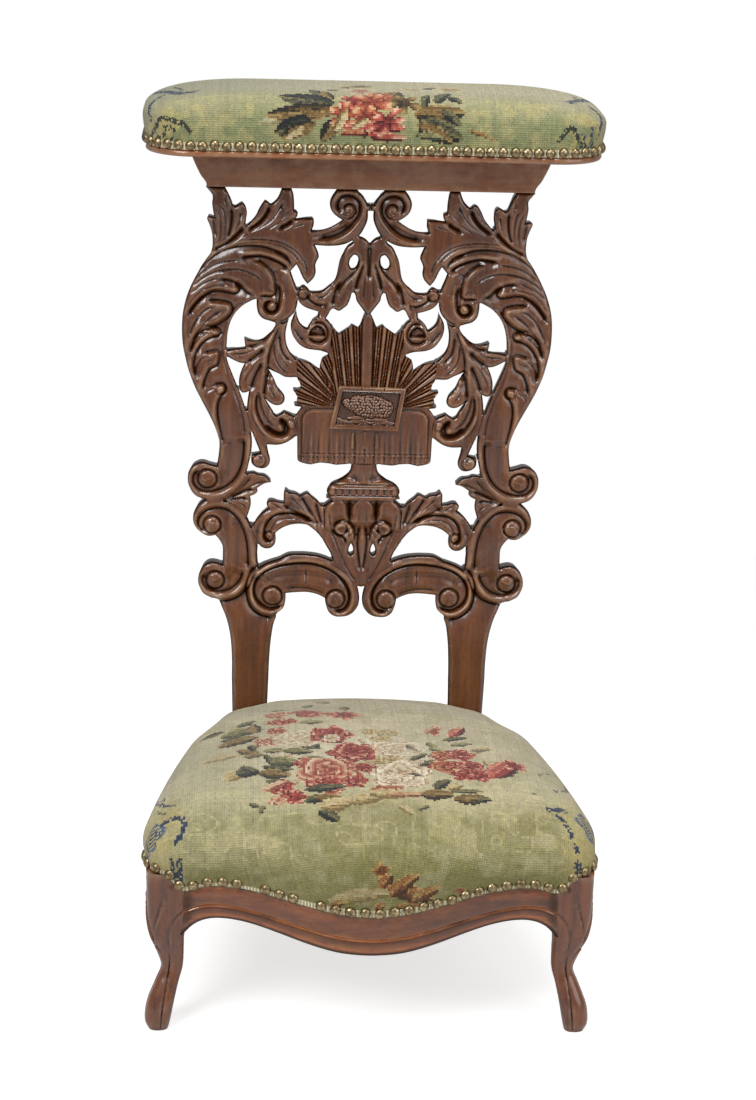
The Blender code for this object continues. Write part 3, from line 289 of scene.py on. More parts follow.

# %% [markdown]
# A carver thinks in cuts. A ledge is a leaf's edge that rolls over the wood behind it. A cut
# parts two lobes with a deep V. A vein is a fine V along a leaf. A cove is a wide hollow,
# and an eye is the round button in the middle of a scroll. Each list below holds such marks
# for the left half of the back, in board millimetres, drawn one by one. A ledge has its high
# side on the left as the line runs. The right half is the mirror image.

# %% The carver's cuts
LEDGES = [
    # crest scroll: the rolled rim winds round the eye, then runs along the stem
    (3.4, 7, [(-31, 741), (-35, 746), (-35.5, 753), (-31, 759.5), (-24, 761.5), (-16.5, 759),
              (-11.5, 753), (-11, 745), (-14, 737), (-21, 728), (-31, 720), (-42, 716),
              (-55, 714)]),
    # first great leaf of the post, over the second
    (2.6, 7, [(-182, 679), (-170, 690), (-158, 699), (-145, 704), (-130, 706.5),
              (-113, 706), (-100, 702), (-89, 695.5), (-82, 688), (-80, 684)]),
    # second leaf over the hooked scroll
    (4.2, 6, [(-138, 692), (-130, 694.5), (-118, 695.5), (-108, 694), (-98, 690.5),
              (-90, 686), (-84, 680)]),
    # tip of the third leaf, over the hooked scroll
    (3.0, 5, [(-123, 690), (-116, 689), (-110, 685.5), (-105, 680.5), (-101.5, 675),
              (-99.5, 668), (-98.5, 661), (-99, 656), (-103, 653.5), (-110, 653.5),
              (-117, 653)][::-1]),
    # third leaf's lower edge
    (3.0, 7, [(-160, 669), (-152, 670), (-144, 668.5), (-137, 664), (-131, 658.5),
              (-126, 655.5), (-120, 654.5)]),
    # fourth leaf: pointed tip, deep shade below it
    (3.8, 8, [(-143, 667), (-138.5, 662), (-137.5, 657.5), (-142, 655), (-151, 656.5),
              (-161, 657.5), (-171, 654.5), (-180, 648), (-187, 639), (-192, 628)][::-1]),
    # fifth leaf
    (3.8, 8, [(-172, 646.5), (-160, 646.5), (-150, 645), (-145.5, 642), (-144.5, 636),
              (-149, 629.5), (-157, 623), (-166, 618.5), (-175, 615), (-182, 609),
              (-187, 598), (-189, 588)][::-1]),
    # sixth leaf
    (3.2, 7, [(-176, 617), (-168, 618), (-161, 616.5), (-157, 613), (-159, 610),
              (-167, 607), (-174, 602.5), (-180, 595), (-184, 585), (-184.5, 573),
              (-181, 562)][::-1]),
    # seventh leaf
    (2.8, 6, [(-176, 588), (-168, 591.5), (-158.5, 592.5), (-157.5, 585), (-160, 578),
              (-167, 573.5), (-171, 567), (-174, 557), (-174, 548)][::-1]),
    # last small leaf on the post
    (2.8, 6, [(-166, 553), (-159, 556.5), (-152.5, 556.5), (-151, 551), (-155, 545),
              (-158.5, 537), (-159, 526), (-157.5, 515), (-155, 503), (-152, 490)][::-1]),
    # rim of the post's lower volute
    (3.4, 8, [(-129, 500), (-129, 484), (-131.5, 468), (-137, 455), (-145, 446), (-155, 440.5),
              (-166, 438.5), (-176, 440), (-183, 446), (-184.5, 454), (-181, 460.5),
              (-175.5, 463)]),
    # rim of the lower scroll's upper volute
    (3.4, 8, [(-122.5, 352), (-123, 370), (-125.5, 388), (-130.5, 402), (-138, 413),
              (-148, 420), (-160, 421), (-171, 417), (-178, 409), (-178.5, 401),
              (-174, 394.5), (-168, 392.5)][::-1]),
    # rim of the lower scroll's lower volute
    (3.4, 8, [(-127, 352), (-131, 340), (-138, 331.5), (-147, 327), (-158, 326.5),
              (-168, 330), (-173, 337), (-172.5, 344), (-168.5, 349)]),
    # outer edge of the lower scroll where it lies over the leg
    (4.6, 10, [(-163, 318), (-153, 316), (-141, 318), (-131, 323), (-124, 331), (-120, 340),
               (-116, 350)]),
    # arch scroll: outer edge over the leg, and the rim over the sunk panel
    (4.6, 9, [(-112, 356), (-119, 349), (-123.5, 338), (-124, 325), (-120.5, 312),
              (-113, 303), (-103, 299), (-94, 298.5)]),
    (4.0, 5, [(-84, 313), (-90, 309), (-98, 307.5), (-107, 310.5), (-114.5, 317.5),
              (-117.5, 328), (-115, 339), (-107.5, 348), (-96, 354.5), (-80, 359),
              (-60, 360.5), (-44, 357.5), (-30, 350.5), (-19, 341), (-12.5, 329),
              (-12, 318), (-16, 309), (-23, 305.5), (-31, 307)]),
    # acanthus scroll: its rolled upper leaf over the cove
    (3.4, 6, [(-50, 403), (-58, 409.5), (-68, 413.5), (-80, 415.5), (-90, 415),
              (-98.5, 411), (-104.5, 404), (-107, 395.5), (-106, 388), (-102, 384),
              (-97.5, 385)][::-1]),
    # hood scroll
    (3.0, 6, [(-66, 611), (-60, 605.5), (-53, 603), (-46, 605), (-42.5, 611), (-43, 619),
              (-48, 625), (-55, 626), (-61, 622)][::-1]),
    # side leaf: the curl at its foot
    (3.2, 6, [(-116, 550), (-118, 536), (-115, 522), (-108, 510), (-99, 502.5),
              (-90, 500.5), (-83.5, 504), (-82.5, 511), (-87, 518), (-92, 522)][::-1]),
    # side leaf: upper lobe over the middle one
    (2.6, 6, [(-104.5, 562), (-106, 575), (-105.5, 586), (-103, 597), (-98.5, 610),
              (-95, 621)]),
    # hook scroll: the curl round its eye
    (3.2, 6, [(-96, 668), (-93.5, 659), (-93.5, 650), (-95, 641), (-100, 635),
              (-107, 635.5), (-110.5, 641), (-108, 646.5), (-102, 648)]),
    # pendant: scroll at its end, and the loop round the teardrop
    (2.6, 5, [(-70, 661), (-64.5, 657), (-63, 651), (-57, 646.5), (-50, 644.5),
              (-43, 646)]),
    (2.6, 5, [(-10, 694), (-12.5, 684), (-18, 676), (-25, 669.5), (-30.5, 662),
              (-31.5, 655)]),
    # drop scroll
    (2.0, 4, [(-119, 477), (-114, 479.5), (-109.5, 476), (-110, 471)]),
    # urn: curled leaves over its body
    (3.0, 5, [(-31.5, 400), (-28.5, 405), (-22, 408), (-15, 405.5), (-10.5, 400),
              (-8.5, 393), (-8.5, 385)][::-1]),
    (3.0, 5, [(-31.5, 400), (-30, 395.5), (-26, 392.5), (-21.5, 391), (-18, 387),
              (-16.5, 380)]),
]
CUTS = [
    # post top: leaf over the great leaf
    (3.6, 4.5, [(-131, 727), (-137, 720), (-144, 713), (-153, 706), (-163, 701.5),
                (-168, 700)]),
    (2.4, 4, [(-147, 749), (-145.5, 738), (-147, 724), (-151, 710)]),
    (1.8, 3.5, [(-166, 737), (-164, 726), (-162, 712)]),
    # crest leaves
    (3.4, 4, [(-105.5, 751), (-108, 742), (-114, 733), (-121, 727), (-131, 721)]),
    (3.4, 4, [(-79, 736), (-84, 731.5), (-91, 727), (-99, 723.5)]),
    # side leaf lobes
    (3.0, 5, [(-131.5, 597.5), (-122, 598.5), (-113, 603), (-105, 611), (-99, 621)]),
    (2.8, 5, [(-131, 580), (-124, 583), (-115, 590), (-108, 599)]),
    (2.8, 5, [(-123.5, 549), (-121, 560), (-116, 572), (-109, 583)]),
    (3.0, 4.5, [(-105, 573), (-106.5, 562), (-108.5, 550), (-109, 541)]),
    (3.0, 4.5, [(-94, 521), (-89.5, 517), (-86, 510), (-87.5, 504.5), (-94, 503.5),
                (-101, 507), (-107, 514)]),
    (2.2, 4, [(-78, 583), (-84, 585), (-90, 592), (-93, 603), (-93.5, 615)]),
    # acanthus lobes
    (3.2, 5, [(-86.5, 427), (-82, 421.5), (-74, 417), (-64, 412), (-55, 404)]),
    (2.6, 5, [(-68, 438), (-64.5, 430), (-58.5, 420), (-51, 409), (-46, 400)]),
    (2.6, 5, [(-51.5, 431.5), (-49.5, 422), (-46.5, 411), (-43.5, 400)]),
    # spandrel leaf
    (2.4, 4, [(-115.5, 441.5), (-126, 440), (-136, 435.5), (-147, 430)]),
    (2.2, 4, [(-122, 428), (-131, 431), (-147, 429.5)]),
    # pendant
    (2.6, 4, [(-1, 712), (-0.5, 690), (0, 670)]),
    (2.6, 4.5, [(-38, 640.5), (-37, 651), (-34, 660), (-29, 671)]),
    (2.6, 4, [(-14.5, 657), (-12.5, 668), (-9, 680), (-5, 692)]),
    # urn lobes
    (3.6, 5.5, [(-14.5, 433), (-14.5, 418), (-13, 408)]),
    (2.4, 4, [(-2, 404), (-5, 392), (-4, 372), (0, 350)]),
]
VEINS = [
    (1.0, 1.8, [(-168, 697), (-155, 705.5), (-140, 710.8), (-125, 713), (-110, 713),
                (-95, 710.5), (-83, 705), (-74, 697), (-69, 688)]),
    (1.0, 1.8, [(-165, 694.5), (-153, 702.5), (-138, 708), (-122, 710), (-107, 710),
                (-95, 707.5), (-85, 702), (-77, 694.5), (-73, 687)]),
    (1.1, 2.2, [(-185, 668), (-174, 678), (-162, 685.5), (-148, 689.5), (-135, 690)]),
    (1.2, 2.4, [(-187, 661), (-175, 671), (-162, 677.5), (-148, 680.5), (-134, 680),
                (-121, 675), (-112, 668)]),
    (0.9, 2.0, [(-189, 653), (-178, 663), (-166, 669), (-157, 671)]),
    (1.2, 2.2, [(-192, 640), (-183, 652), (-172, 660), (-160, 663.5), (-148, 663)]),
    (1.0, 2.0, [(-190, 632), (-181, 644), (-172, 652), (-163, 655.5)]),
    (1.3, 2.4, [(-190, 606), (-186, 618), (-179, 630), (-170, 638), (-160, 642)]),
    (1.2, 2.2, [(-186, 600), (-181, 611), (-174, 621), (-165, 630), (-155, 637)]),
    (1.1, 2.2, [(-188, 590), (-184, 600), (-177, 608), (-168, 613)]),
    (1.1, 2.2, [(-184, 565), (-181, 577), (-175, 585), (-167, 588)]),
    (1.0, 2.2, [(-172, 541), (-170, 548), (-165, 551.5), (-159, 553)]),
    (1.2, 2.2, [(-158, 750), (-154, 742), (-152, 730), (-152, 716), (-157, 706)]),
    (1.0, 2.0, [(-152, 762), (-152.5, 752), (-149, 745)]),
    (1.0, 2.0, [(-163, 748), (-158, 735), (-157, 720), (-160, 706)]),
    (1.2, 2.2, [(-138, 746), (-137, 736), (-140, 726), (-146, 716)]),
    (1.2, 2.0, [(-112, 750), (-115, 741), (-121, 733), (-129, 725)]),
    (1.2, 2.2, [(-91, 755), (-97, 743), (-106, 732), (-118, 724), (-132, 718)]),
    (0.9, 2.0, [(-84, 747), (-91, 737), (-101, 728), (-112, 722)]),
    (0.9, 2.0, [(-65, 731.5), (-74, 729), (-85, 725), (-97, 721.5)]),
    (1.0, 2.0, [(-66, 676), (-67, 686), (-72, 697)]),
    (1.2, 2.4, [(-84, 690), (-90, 697.5), (-102, 701)]),
    # side leaf
    (1.2, 2.2, [(-128, 604), (-117, 602), (-108, 609), (-101, 618)]),
    (1.2, 2.2, [(-147, 590), (-135, 590), (-123, 593), (-112, 601), (-103, 613)]),
    (1.2, 2.2, [(-132, 555), (-127, 567), (-119, 579), (-111, 589)]),
    (1.0, 2.0, [(-135, 565), (-129, 573), (-121, 583)]),
    (1.2, 2.2, [(-94, 541), (-101, 549), (-106, 560), (-108, 572), (-108, 585)]),
    (1.0, 2.0, [(-90, 545), (-97, 555), (-102, 566)]),
    (1.2, 2.2, [(-82, 570), (-90, 574), (-96, 582), (-99, 593), (-98, 606)]),
    (1.0, 2.0, [(-79, 577), (-87, 580), (-92, 588), (-95, 600)]),
    (1.3, 2.4, [(-113, 552), (-113, 538), (-109, 525), (-102, 514), (-93, 509)]),
    (1.1, 2.2, [(-120, 552), (-122, 536), (-120, 520), (-113, 507), (-103, 498.5)]),
    # acanthus
    (1.2, 2.2, [(-101, 428), (-93, 423.5), (-84, 418.5), (-76, 416)]),
    (1.2, 2.2, [(-79, 436), (-73, 428), (-65, 420), (-55, 410), (-48, 401)]),
    (1.0, 2.0, [(-71, 422.5), (-62, 415), (-52, 404), (-46, 394)]),
    (1.1, 2.2, [(-48, 396), (-58, 404), (-70, 408.5), (-84, 409.5), (-94, 405.5),
                (-99, 398), (-100.5, 392)]),
    (1.0, 2.0, [(-45, 392), (-56, 400.5), (-70, 405), (-85, 404.5)]),
    # spandrel leaf
    (1.2, 2.0, [(-103, 451), (-113, 448.5), (-125, 442.5), (-137, 434)]),
    (1.0, 2.0, [(-120, 457), (-127, 448), (-135, 438)]),
    (1.0, 2.0, [(-124, 418), (-131, 425), (-142, 429)]),
    # pendant
    (1.1, 2.2, [(-57, 653), (-48, 653), (-40, 660), (-34, 672), (-30, 686), (-27, 700)]),
    (1.0, 2.0, [(-46, 634), (-45, 643), (-41, 653), (-36, 664)]),
    (1.0, 2.0, [(-27, 660), (-20, 668), (-13, 678), (-7, 690)]),
    (1.0, 2.0, [(-30, 644), (-29, 652), (-27, 658)]),
    (1.0, 2.2, [(-6, 648), (-5, 662), (-4, 678), (-3, 690)]),
    (0.8, 2.0, [(-10, 660), (-9, 672), (-6, 684)]),
    # hood
    (0.9, 2.0, [(-80, 630), (-78, 618), (-71, 608), (-62, 601), (-51, 599)]),
    # urn
    (1.0, 2.0, [(-9, 404), (-14, 399), (-20, 396), (-26, 397)]),
    (1.0, 2.0, [(-8.5, 400), (-12, 393), (-17, 390)]),
    (1.0, 2.2, [(-37, 420), (-34, 400), (-26, 378), (-14, 352), (-4, 338)]),
    (0.8, 2.0, [(-4, 428), (-4, 416), (-5, 406)]),
    # fine line along the sunk panel of the arch, and its glue joint
    (1.2, 2.2, [(-82, 331.5), (-70, 332.5), (-58, 332), (-46, 328.5), (-38, 324)]),
    (0.9, 1.2, [(-60, 357), (-60.3, 345), (-60, 334)]),
    # bevel along the inner edge of the post
    (1.4, 4.0, [(-128, 648), (-140, 641), (-147, 630), (-152, 615), (-154, 600),
                (-153, 587), (-149, 572), (-142, 554), (-135, 535), (-130.5, 518),
                (-129, 500)]),
]
COVES = [
    (2.2, 6, [(-62, 717), (-50, 718), (-38, 721.5), (-27, 727), (-20, 733)]),
    (2.0, 7, [(-145, 500), (-145, 480), (-146, 464), (-152, 453), (-158, 447)]),
    (2.0, 8, [(-140, 410), (-136, 395), (-135, 375), (-136, 355), (-142, 342), (-149, 336)]),
    (2.2, 7, [(-106, 336), (-98, 343), (-84, 347), (-60, 348), (-40, 345), (-27, 336)]),
    (2.0, 6, [(-104, 684), (-95, 675), (-90, 663), (-89, 651)]),
    (2.2, 5, [(-104, 578), (-103, 560), (-102, 550)]),
    (2.0, 5, [(-78, 622), (-72, 611), (-63, 605)]),
    (1.8, 5, [(-106, 412), (-112, 400), (-113, 388)]),
    (2.0, 4, [(-135, 752), (-134, 742), (-136, 732)]),
    (1.6, 5, [(-98, 751), (-93, 744), (-97, 734)]),
]
EYES = [
    (-23.5, 746, 8.6, 3.4), (-168.6, 453.2, 9.8, 3.4), (-163, 402.2, 8.8, 3.4),
    (-159, 339.8, 9.4, 3.4), (-96.5, 322.5, 10.0, 3.4), (-27.5, 320, 9.6, 3.4),
    (-102, 641.5, 5.4, 2.6), (-101.4, 389.5, 4.6, 2.6),
    (-68.8, 656, 5.4, 2.6), (-113.5, 473, 7.0, 2.4), (-24, 399.5, 6.6, 2.2),
    (-155, 551.5, 4.6, 1.6), (-160, 613, 4.0, 1.2), (-80, 514, 4.4, 1.4),
]
HOOD_EYE = (-53.5, 610.5, 9.5)
print("ledges", len(LEDGES), "cuts", len(CUTS), "veins", len(VEINS), "coves", len(COVES),
      "eyes", len(EYES))

# %% [markdown]
# The marks become one height over the whole board. Near a free sawn edge the wood is rounded
# over, but not where two pieces meet, so a leaf runs on across a glue line as it does on the
# real back. Where V cuts cross, the deeper one counts, and every mark runs out softly at its
# ends, as a chisel does when it leaves the wood.

# %% Height of the carving
MARK_STEP = 1.5
RELIEF = 1.4
SPIRAL_ABOVE = 700.0


def runs_out(along, length):
    """Fades a mark over its last few millimetres at both ends."""
    run = min(0.45, 7.0 / length)
    return np.clip(along / run, 0, 1) * np.clip((1 - along) / run, 0, 1)


def prepare(marks):
    """Smooth each mark's line and keep its box, so far places are passed over."""
    ready = []
    for depth, width, points in marks:
        line = smooth_line(points, MARK_STEP)
        length = np.linalg.norm(np.diff(line, axis=0), axis=1).sum()
        ready.append((depth, width, line, length, line.min(0), line.max(0)))
    return ready


ledges, cuts, veins, coves = (prepare(marks) for marks in (LEDGES, CUTS, VEINS, COVES))


def touched(places, mark, reach):
    """Indices of the places within reach of a mark's box."""
    low, high = mark[4] - reach, mark[5] + reach
    return np.flatnonzero(((places >= low) & (places <= high)).all(1))


def carved_away(places):
    """Depth of wood that the marks take away at each place, negative where they raise it."""
    deep = np.zeros(len(places))
    sharp = np.zeros(len(places))
    for mark in ledges:
        near = touched(places, mark, 3.2 * mark[1])
        if len(near) == 0:
            continue
        distance, side, along = nearest_on(places[near], mark[2])
        fade = runs_out(along, mark[3])
        behind = np.exp(-distance / mark[1]) * (0.55 + 0.45 * np.clip(distance / 0.9, 0, 1))
        over = 0.55 * np.clip(1 - distance / (0.55 * mark[1]), 0, 1) ** 2
        swell = -0.22 * np.exp(-((distance - 0.7 * mark[1]) / (0.45 * mark[1])) ** 2)
        deep[near] += RELIEF * mark[0] * fade * np.where(side < 0, behind, over + swell)
    for mark in cuts + veins:
        near = touched(places, mark, 3.5 * mark[1])
        if len(near) == 0:
            continue
        distance, _, along = nearest_on(places[near], mark[2])
        shape = np.clip(1 - distance / mark[1], 0, 1) ** 1.5
        shape += 0.5 * np.exp(-(distance / (1.9 * mark[1])) ** 2)
        shape = mark[0] * shape * runs_out(along, mark[3])
        sharp[near] = np.maximum(sharp[near], shape)
    for mark in coves:
        near = touched(places, mark, 2.4 * mark[1])
        if len(near) == 0:
            continue
        distance, _, along = nearest_on(places[near], mark[2])
        deep[near] += (mark[0] * np.exp(-(distance / (0.75 * mark[1])) ** 2)
                       * runs_out(along, mark[3]))
    for across, up, radius, rise in EYES:
        distance = np.hypot(places[:, 0] - across, places[:, 1] - up)
        reach = radius * (1.0 if up < SPIRAL_ABOVE else 0.62)
        dome = np.sqrt(np.clip(1 - (distance / reach) ** 2, 0, 1))
        moat = np.exp(-((distance - reach - 0.8) / 1.5) ** 2)
        if up > SPIRAL_ABOVE:
            turn = np.arctan2(places[:, 1] - up, places[:, 0] - across) / (2 * math.pi)
            lap = (distance / (0.8 * radius) + turn + 0.35) % 1.0
            moat = np.exp(-((lap - 0.5) * 0.8 * radius / 1.1) ** 2)
            moat = 1.1 * moat * np.clip((1.25 * radius - distance) / 2, 0, 1)
        deep += np.where(distance < reach, -0.75 * rise * dome, 0) + 0.45 * rise * moat
    across, up, radius = HOOD_EYE
    distance = np.hypot(places[:, 0] - across, 0.8 * (places[:, 1] - up))
    lens = np.clip((1 - distance / radius) * 5, 0, 1) * np.clip((places[:, 1] - up) / 0.9, 0, 1)
    return deep + sharp + 6.5 * lens


print("marks ready:", len(ledges + cuts + veins + coves))

# %% [markdown]
# One piece is carved from its sawn outline. A fine even mesh fills the outline and takes the
# height of the carving. The sawn sides go down to a flat back, and they lean in under the
# front edge where they are free. Pieces that cross the middle of the chair read the marks of
# the left half on both sides. Glued pieces lap by a hair, so that no light shows between.

# %% Carve one piece
FRONT_GRID = 0.95
UNDERCUT = 2.2
GLUED_WITHIN = 1.2
GLUE_LAP = 0.15
LIP_DROP = 1.8
LIP_SHADE, SIDE_SHADE = 0.86, 0.64
FAR_OFF = 1e9
FOLDED = {"centre_pendant", "sunburst", "altar_cloth", "pedestal", "urn"}


def undercut(loop, hole):
    """A loop moved in under the front edge, less where the wood is thin."""
    inward = -right_ways(loop) * math.copysign(1, turns_left(loop)) * (-1 if hole else 1)
    thin = np.empty(len(loop))
    for index, (place, way) in enumerate(zip(loop, inward)):
        away = loop - place
        far = np.hypot(away[:, 0], away[:, 1])
        facing = away @ way > 0.6 * far
        facing &= far > 0.01
        thin[index] = far[facing].min() if facing.any() else 9.0
    depth = np.minimum(UNDERCUT, 0.3 * thin)
    spread = 6
    depth = np.mean([np.roll(np.minimum.reduce([np.roll(depth, s) for s in (-3, 0, 3)]), k)
                     for k in range(-spread, spread + 1)], axis=0)
    return loop + inward * depth[:, None]


def split(values, loops):
    """Values of all rim points, parted again into those of each loop."""
    return np.split(values, np.cumsum([len(loop) for loop in loops])[:-1])


def free_edge(name, rim):
    """Which points of a piece's rim are free, and not glued to the piece beside it."""
    others = [loop for other, known in outlines.items() if other != name for loop in known]
    if name in FOLDED:
        others += [loop * (-1, 1) for loop in others]
    free = np.ones(len(rim), bool)
    for loop in others:
        low, high = loop.min(0) - 2, loop.max(0) + 2
        near = np.flatnonzero(((rim >= low) & (rim <= high)).all(1))
        if len(near):
            free[near] &= nearest_on(rim[near], loop, closed=True)[0] > GLUED_WITHIN
    if name == "back_post_left":
        free &= rim[:, 1] > rim[:, 1].min() + 1.0
    return free


def filled(flat_points, loops, edges):
    """Triangles between flat points inside a rim: their places, corners and sources."""
    made = geometry.delaunay_2d_cdt([Vector(place) for place in flat_points], edges, [], 0,
                                    1e-5, True)
    places = np.array([tuple(place) for place in made[0]])
    middles = np.array([places[list(face)].mean(0) for face in made[2]])
    kept = inside(middles, loops)
    return places, [tuple(face) for face, held in zip(made[2], kept) if held], made[3]


def grid_within(loops, rim):
    """An even grid of places inside an outline, clear of its rim."""
    low, high = rim.min(0), rim.max(0)
    rows = []
    for index, up in enumerate(np.arange(low[1], high[1], FRONT_GRID * 0.866)):
        across = np.arange(low[0] + (index % 2) * FRONT_GRID / 2, high[0], FRONT_GRID)
        rows.append(np.column_stack([across, np.full(len(across), up)]))
    grid = np.vstack(rows)
    grid = grid[inside(grid, loops)]
    to_rim = np.full(len(grid), FAR_OFF)
    for loop in loops:
        to_rim = np.minimum(to_rim, nearest_on(grid, loop, closed=True)[0])
    return grid[to_rim > 0.55 * FRONT_GRID]


def carve(name, back, level, edge, extra):
    """Turn a sawn outline into a carved piece with a flat back, all in board millimetres."""
    loops = outlines[name]
    free = free_edge(name, np.vstack(loops))
    loops = [loop + right_ways(loop) * (math.copysign(GLUE_LAP, turns_left(loop)) * glued)[:, None]
             for loop, glued in zip(loops, split(~free, loops))]
    rim = np.vstack(loops)
    count = len(rim)
    edges, start = [], 0
    for loop in loops:
        edges += [(start + k, start + (k + 1) % len(loop)) for k in range(len(loop))]
        start += len(loop)
    places, front, sources = filled(np.vstack([rim, grid_within(loops, rim)]), loops, edges)
    home = {source: index for index, known in enumerate(sources) for source in known}
    ring = [home[index] for index in range(count)]

    folded = places.copy()
    if name in FOLDED:
        folded[:, 0] = -np.abs(folded[:, 0])
    away = np.full(len(places), FAR_OFF)
    bare = rim[free]
    for index in range(0, len(bare), 400):
        gap = np.linalg.norm(places[:, None, :] - bare[None, index:index + 400], axis=2)
        away = np.minimum(away, gap.min(1))
    round_over = edge * 0.8 * (1 - np.sqrt(1 - (1 - np.clip(away / edge, 0, 1)) ** 2))
    height = level - round_over - carved_away(folded)
    if extra is not None:
        height = height - extra(folded)
    height = np.clip(height, back + 3.0, level + 3.0)

    points = [(u, v, h) for (u, v), h in zip(places, height)]
    lip = len(points)
    points += [(places[k, 0], places[k, 1], height[k] - LIP_DROP) for k in ring]
    base = len(points)
    sizes = [abs(turns_left(loop)) for loop in loops]
    under = np.vstack([undercut(loop, size < max(sizes)) for loop, size in zip(loops, sizes)])
    under = np.where(free[:, None], under, rim)
    points += [(u, v, back + 0.8) for u, v in under]
    points += [(u, v, back) for u, v in under]
    faces = list(front)
    for here, after in edges:
        faces.append((ring[here], lip + here, lip + after, ring[after]))
        faces.append((lip + here, base + here, base + after, lip + after))
        faces.append((base + here, base + count + here, base + count + after, base + after))
    plain, plain_faces, sources = filled(under, split(under, loops), edges)
    behind = []
    for place, known in zip(plain, sources):
        behind.append(base + count + known[0] if known else len(points))
        if not known:
            points.append((place[0], place[1], back))
    faces += [tuple(behind[k] for k in reversed(face)) for face in plain_faces]
    # Painted shade: the lip and the sawn sides get high numbers, which the finish turns dark.
    shade = np.full(len(points), 0.5)
    shade[lip:base] = LIP_SHADE
    shade[base:base + count] = SIDE_SHADE
    return [board @ Vector(point) for point in points], faces, height, shade


print("ready to carve at", FRONT_GRID, "mm")

# %% [markdown]
# Every finish is built from shader nodes. One helper adds a node with its settings and its
# links, and small ones add the kinds that come up often. Another turns the sRGB colours that
# a painter would pick into the linear numbers that Blender mixes.

# %% Helpers for finishes
def painter(code):
    """A hex colour as red, green and blue from 0 to 1, kept as the painter sees it."""
    return np.array([int(code[k:k + 2], 16) / 255 for k in (1, 3, 5)])


def linear(code):
    """A hex sRGB colour as linear red, green, blue and alpha."""
    parts = painter(code)
    return [c / 12.92 if c <= 0.04045 else ((c + 0.055) / 1.055) ** 2.4 for c in parts] + [1.0]


def new_finish(name):
    """An empty material with a Principled shader wired to its output."""
    made = bpy.data.materials.new(name)
    made.use_nodes = True
    return made, made.node_tree, made.node_tree.nodes["Principled BSDF"]


def add(tree, kind, links=None, **settings):
    """Add a node, set its settings, and set or link its inputs."""
    made = tree.nodes.new(kind)
    for key, value in settings.items():
        setattr(made, key, value)
    for key, value in (links or {}).items():
        if isinstance(value, bpy.types.NodeSocket):
            tree.links.new(value, made.inputs[key])
        else:
            made.inputs[key].default_value = value
    return made


def maths(tree, operation, *values):
    """A number worked out from others by one operation."""
    return add(tree, "ShaderNodeMath", dict(enumerate(values)), operation=operation).outputs[0]


def object_place(tree):
    """The place of a spot on its own object."""
    return add(tree, "ShaderNodeTexCoord").outputs["Object"]


def noise(tree, place, scale, detail, **more):
    """A noise node over a place."""
    return add(tree, "ShaderNodeTexNoise", {"Vector": place, "Scale": scale, "Detail": detail,
                                            **more})


def ramp(tree, source, stops):
    """A colour ramp over hex colours or grey levels at given places."""
    made = add(tree, "ShaderNodeValToRGB", {"Fac": source})
    band = made.color_ramp.elements
    while len(band) < len(stops):
        band.new(0.5)
    for element, (place, colour) in zip(band, stops):
        element.position = place
        element.color = linear(colour) if isinstance(colour, str) else [colour] * 3 + [1.0]
    return made.outputs["Color"]


def mix(tree, share, first, second, blend="MIX"):
    """Mix two colours by a share."""
    made = add(tree, "ShaderNodeMix", {0: share, 6: first, 7: second}, data_type="RGBA",
               blend_type=blend)
    return made.outputs[2]


print("finish helpers ready")
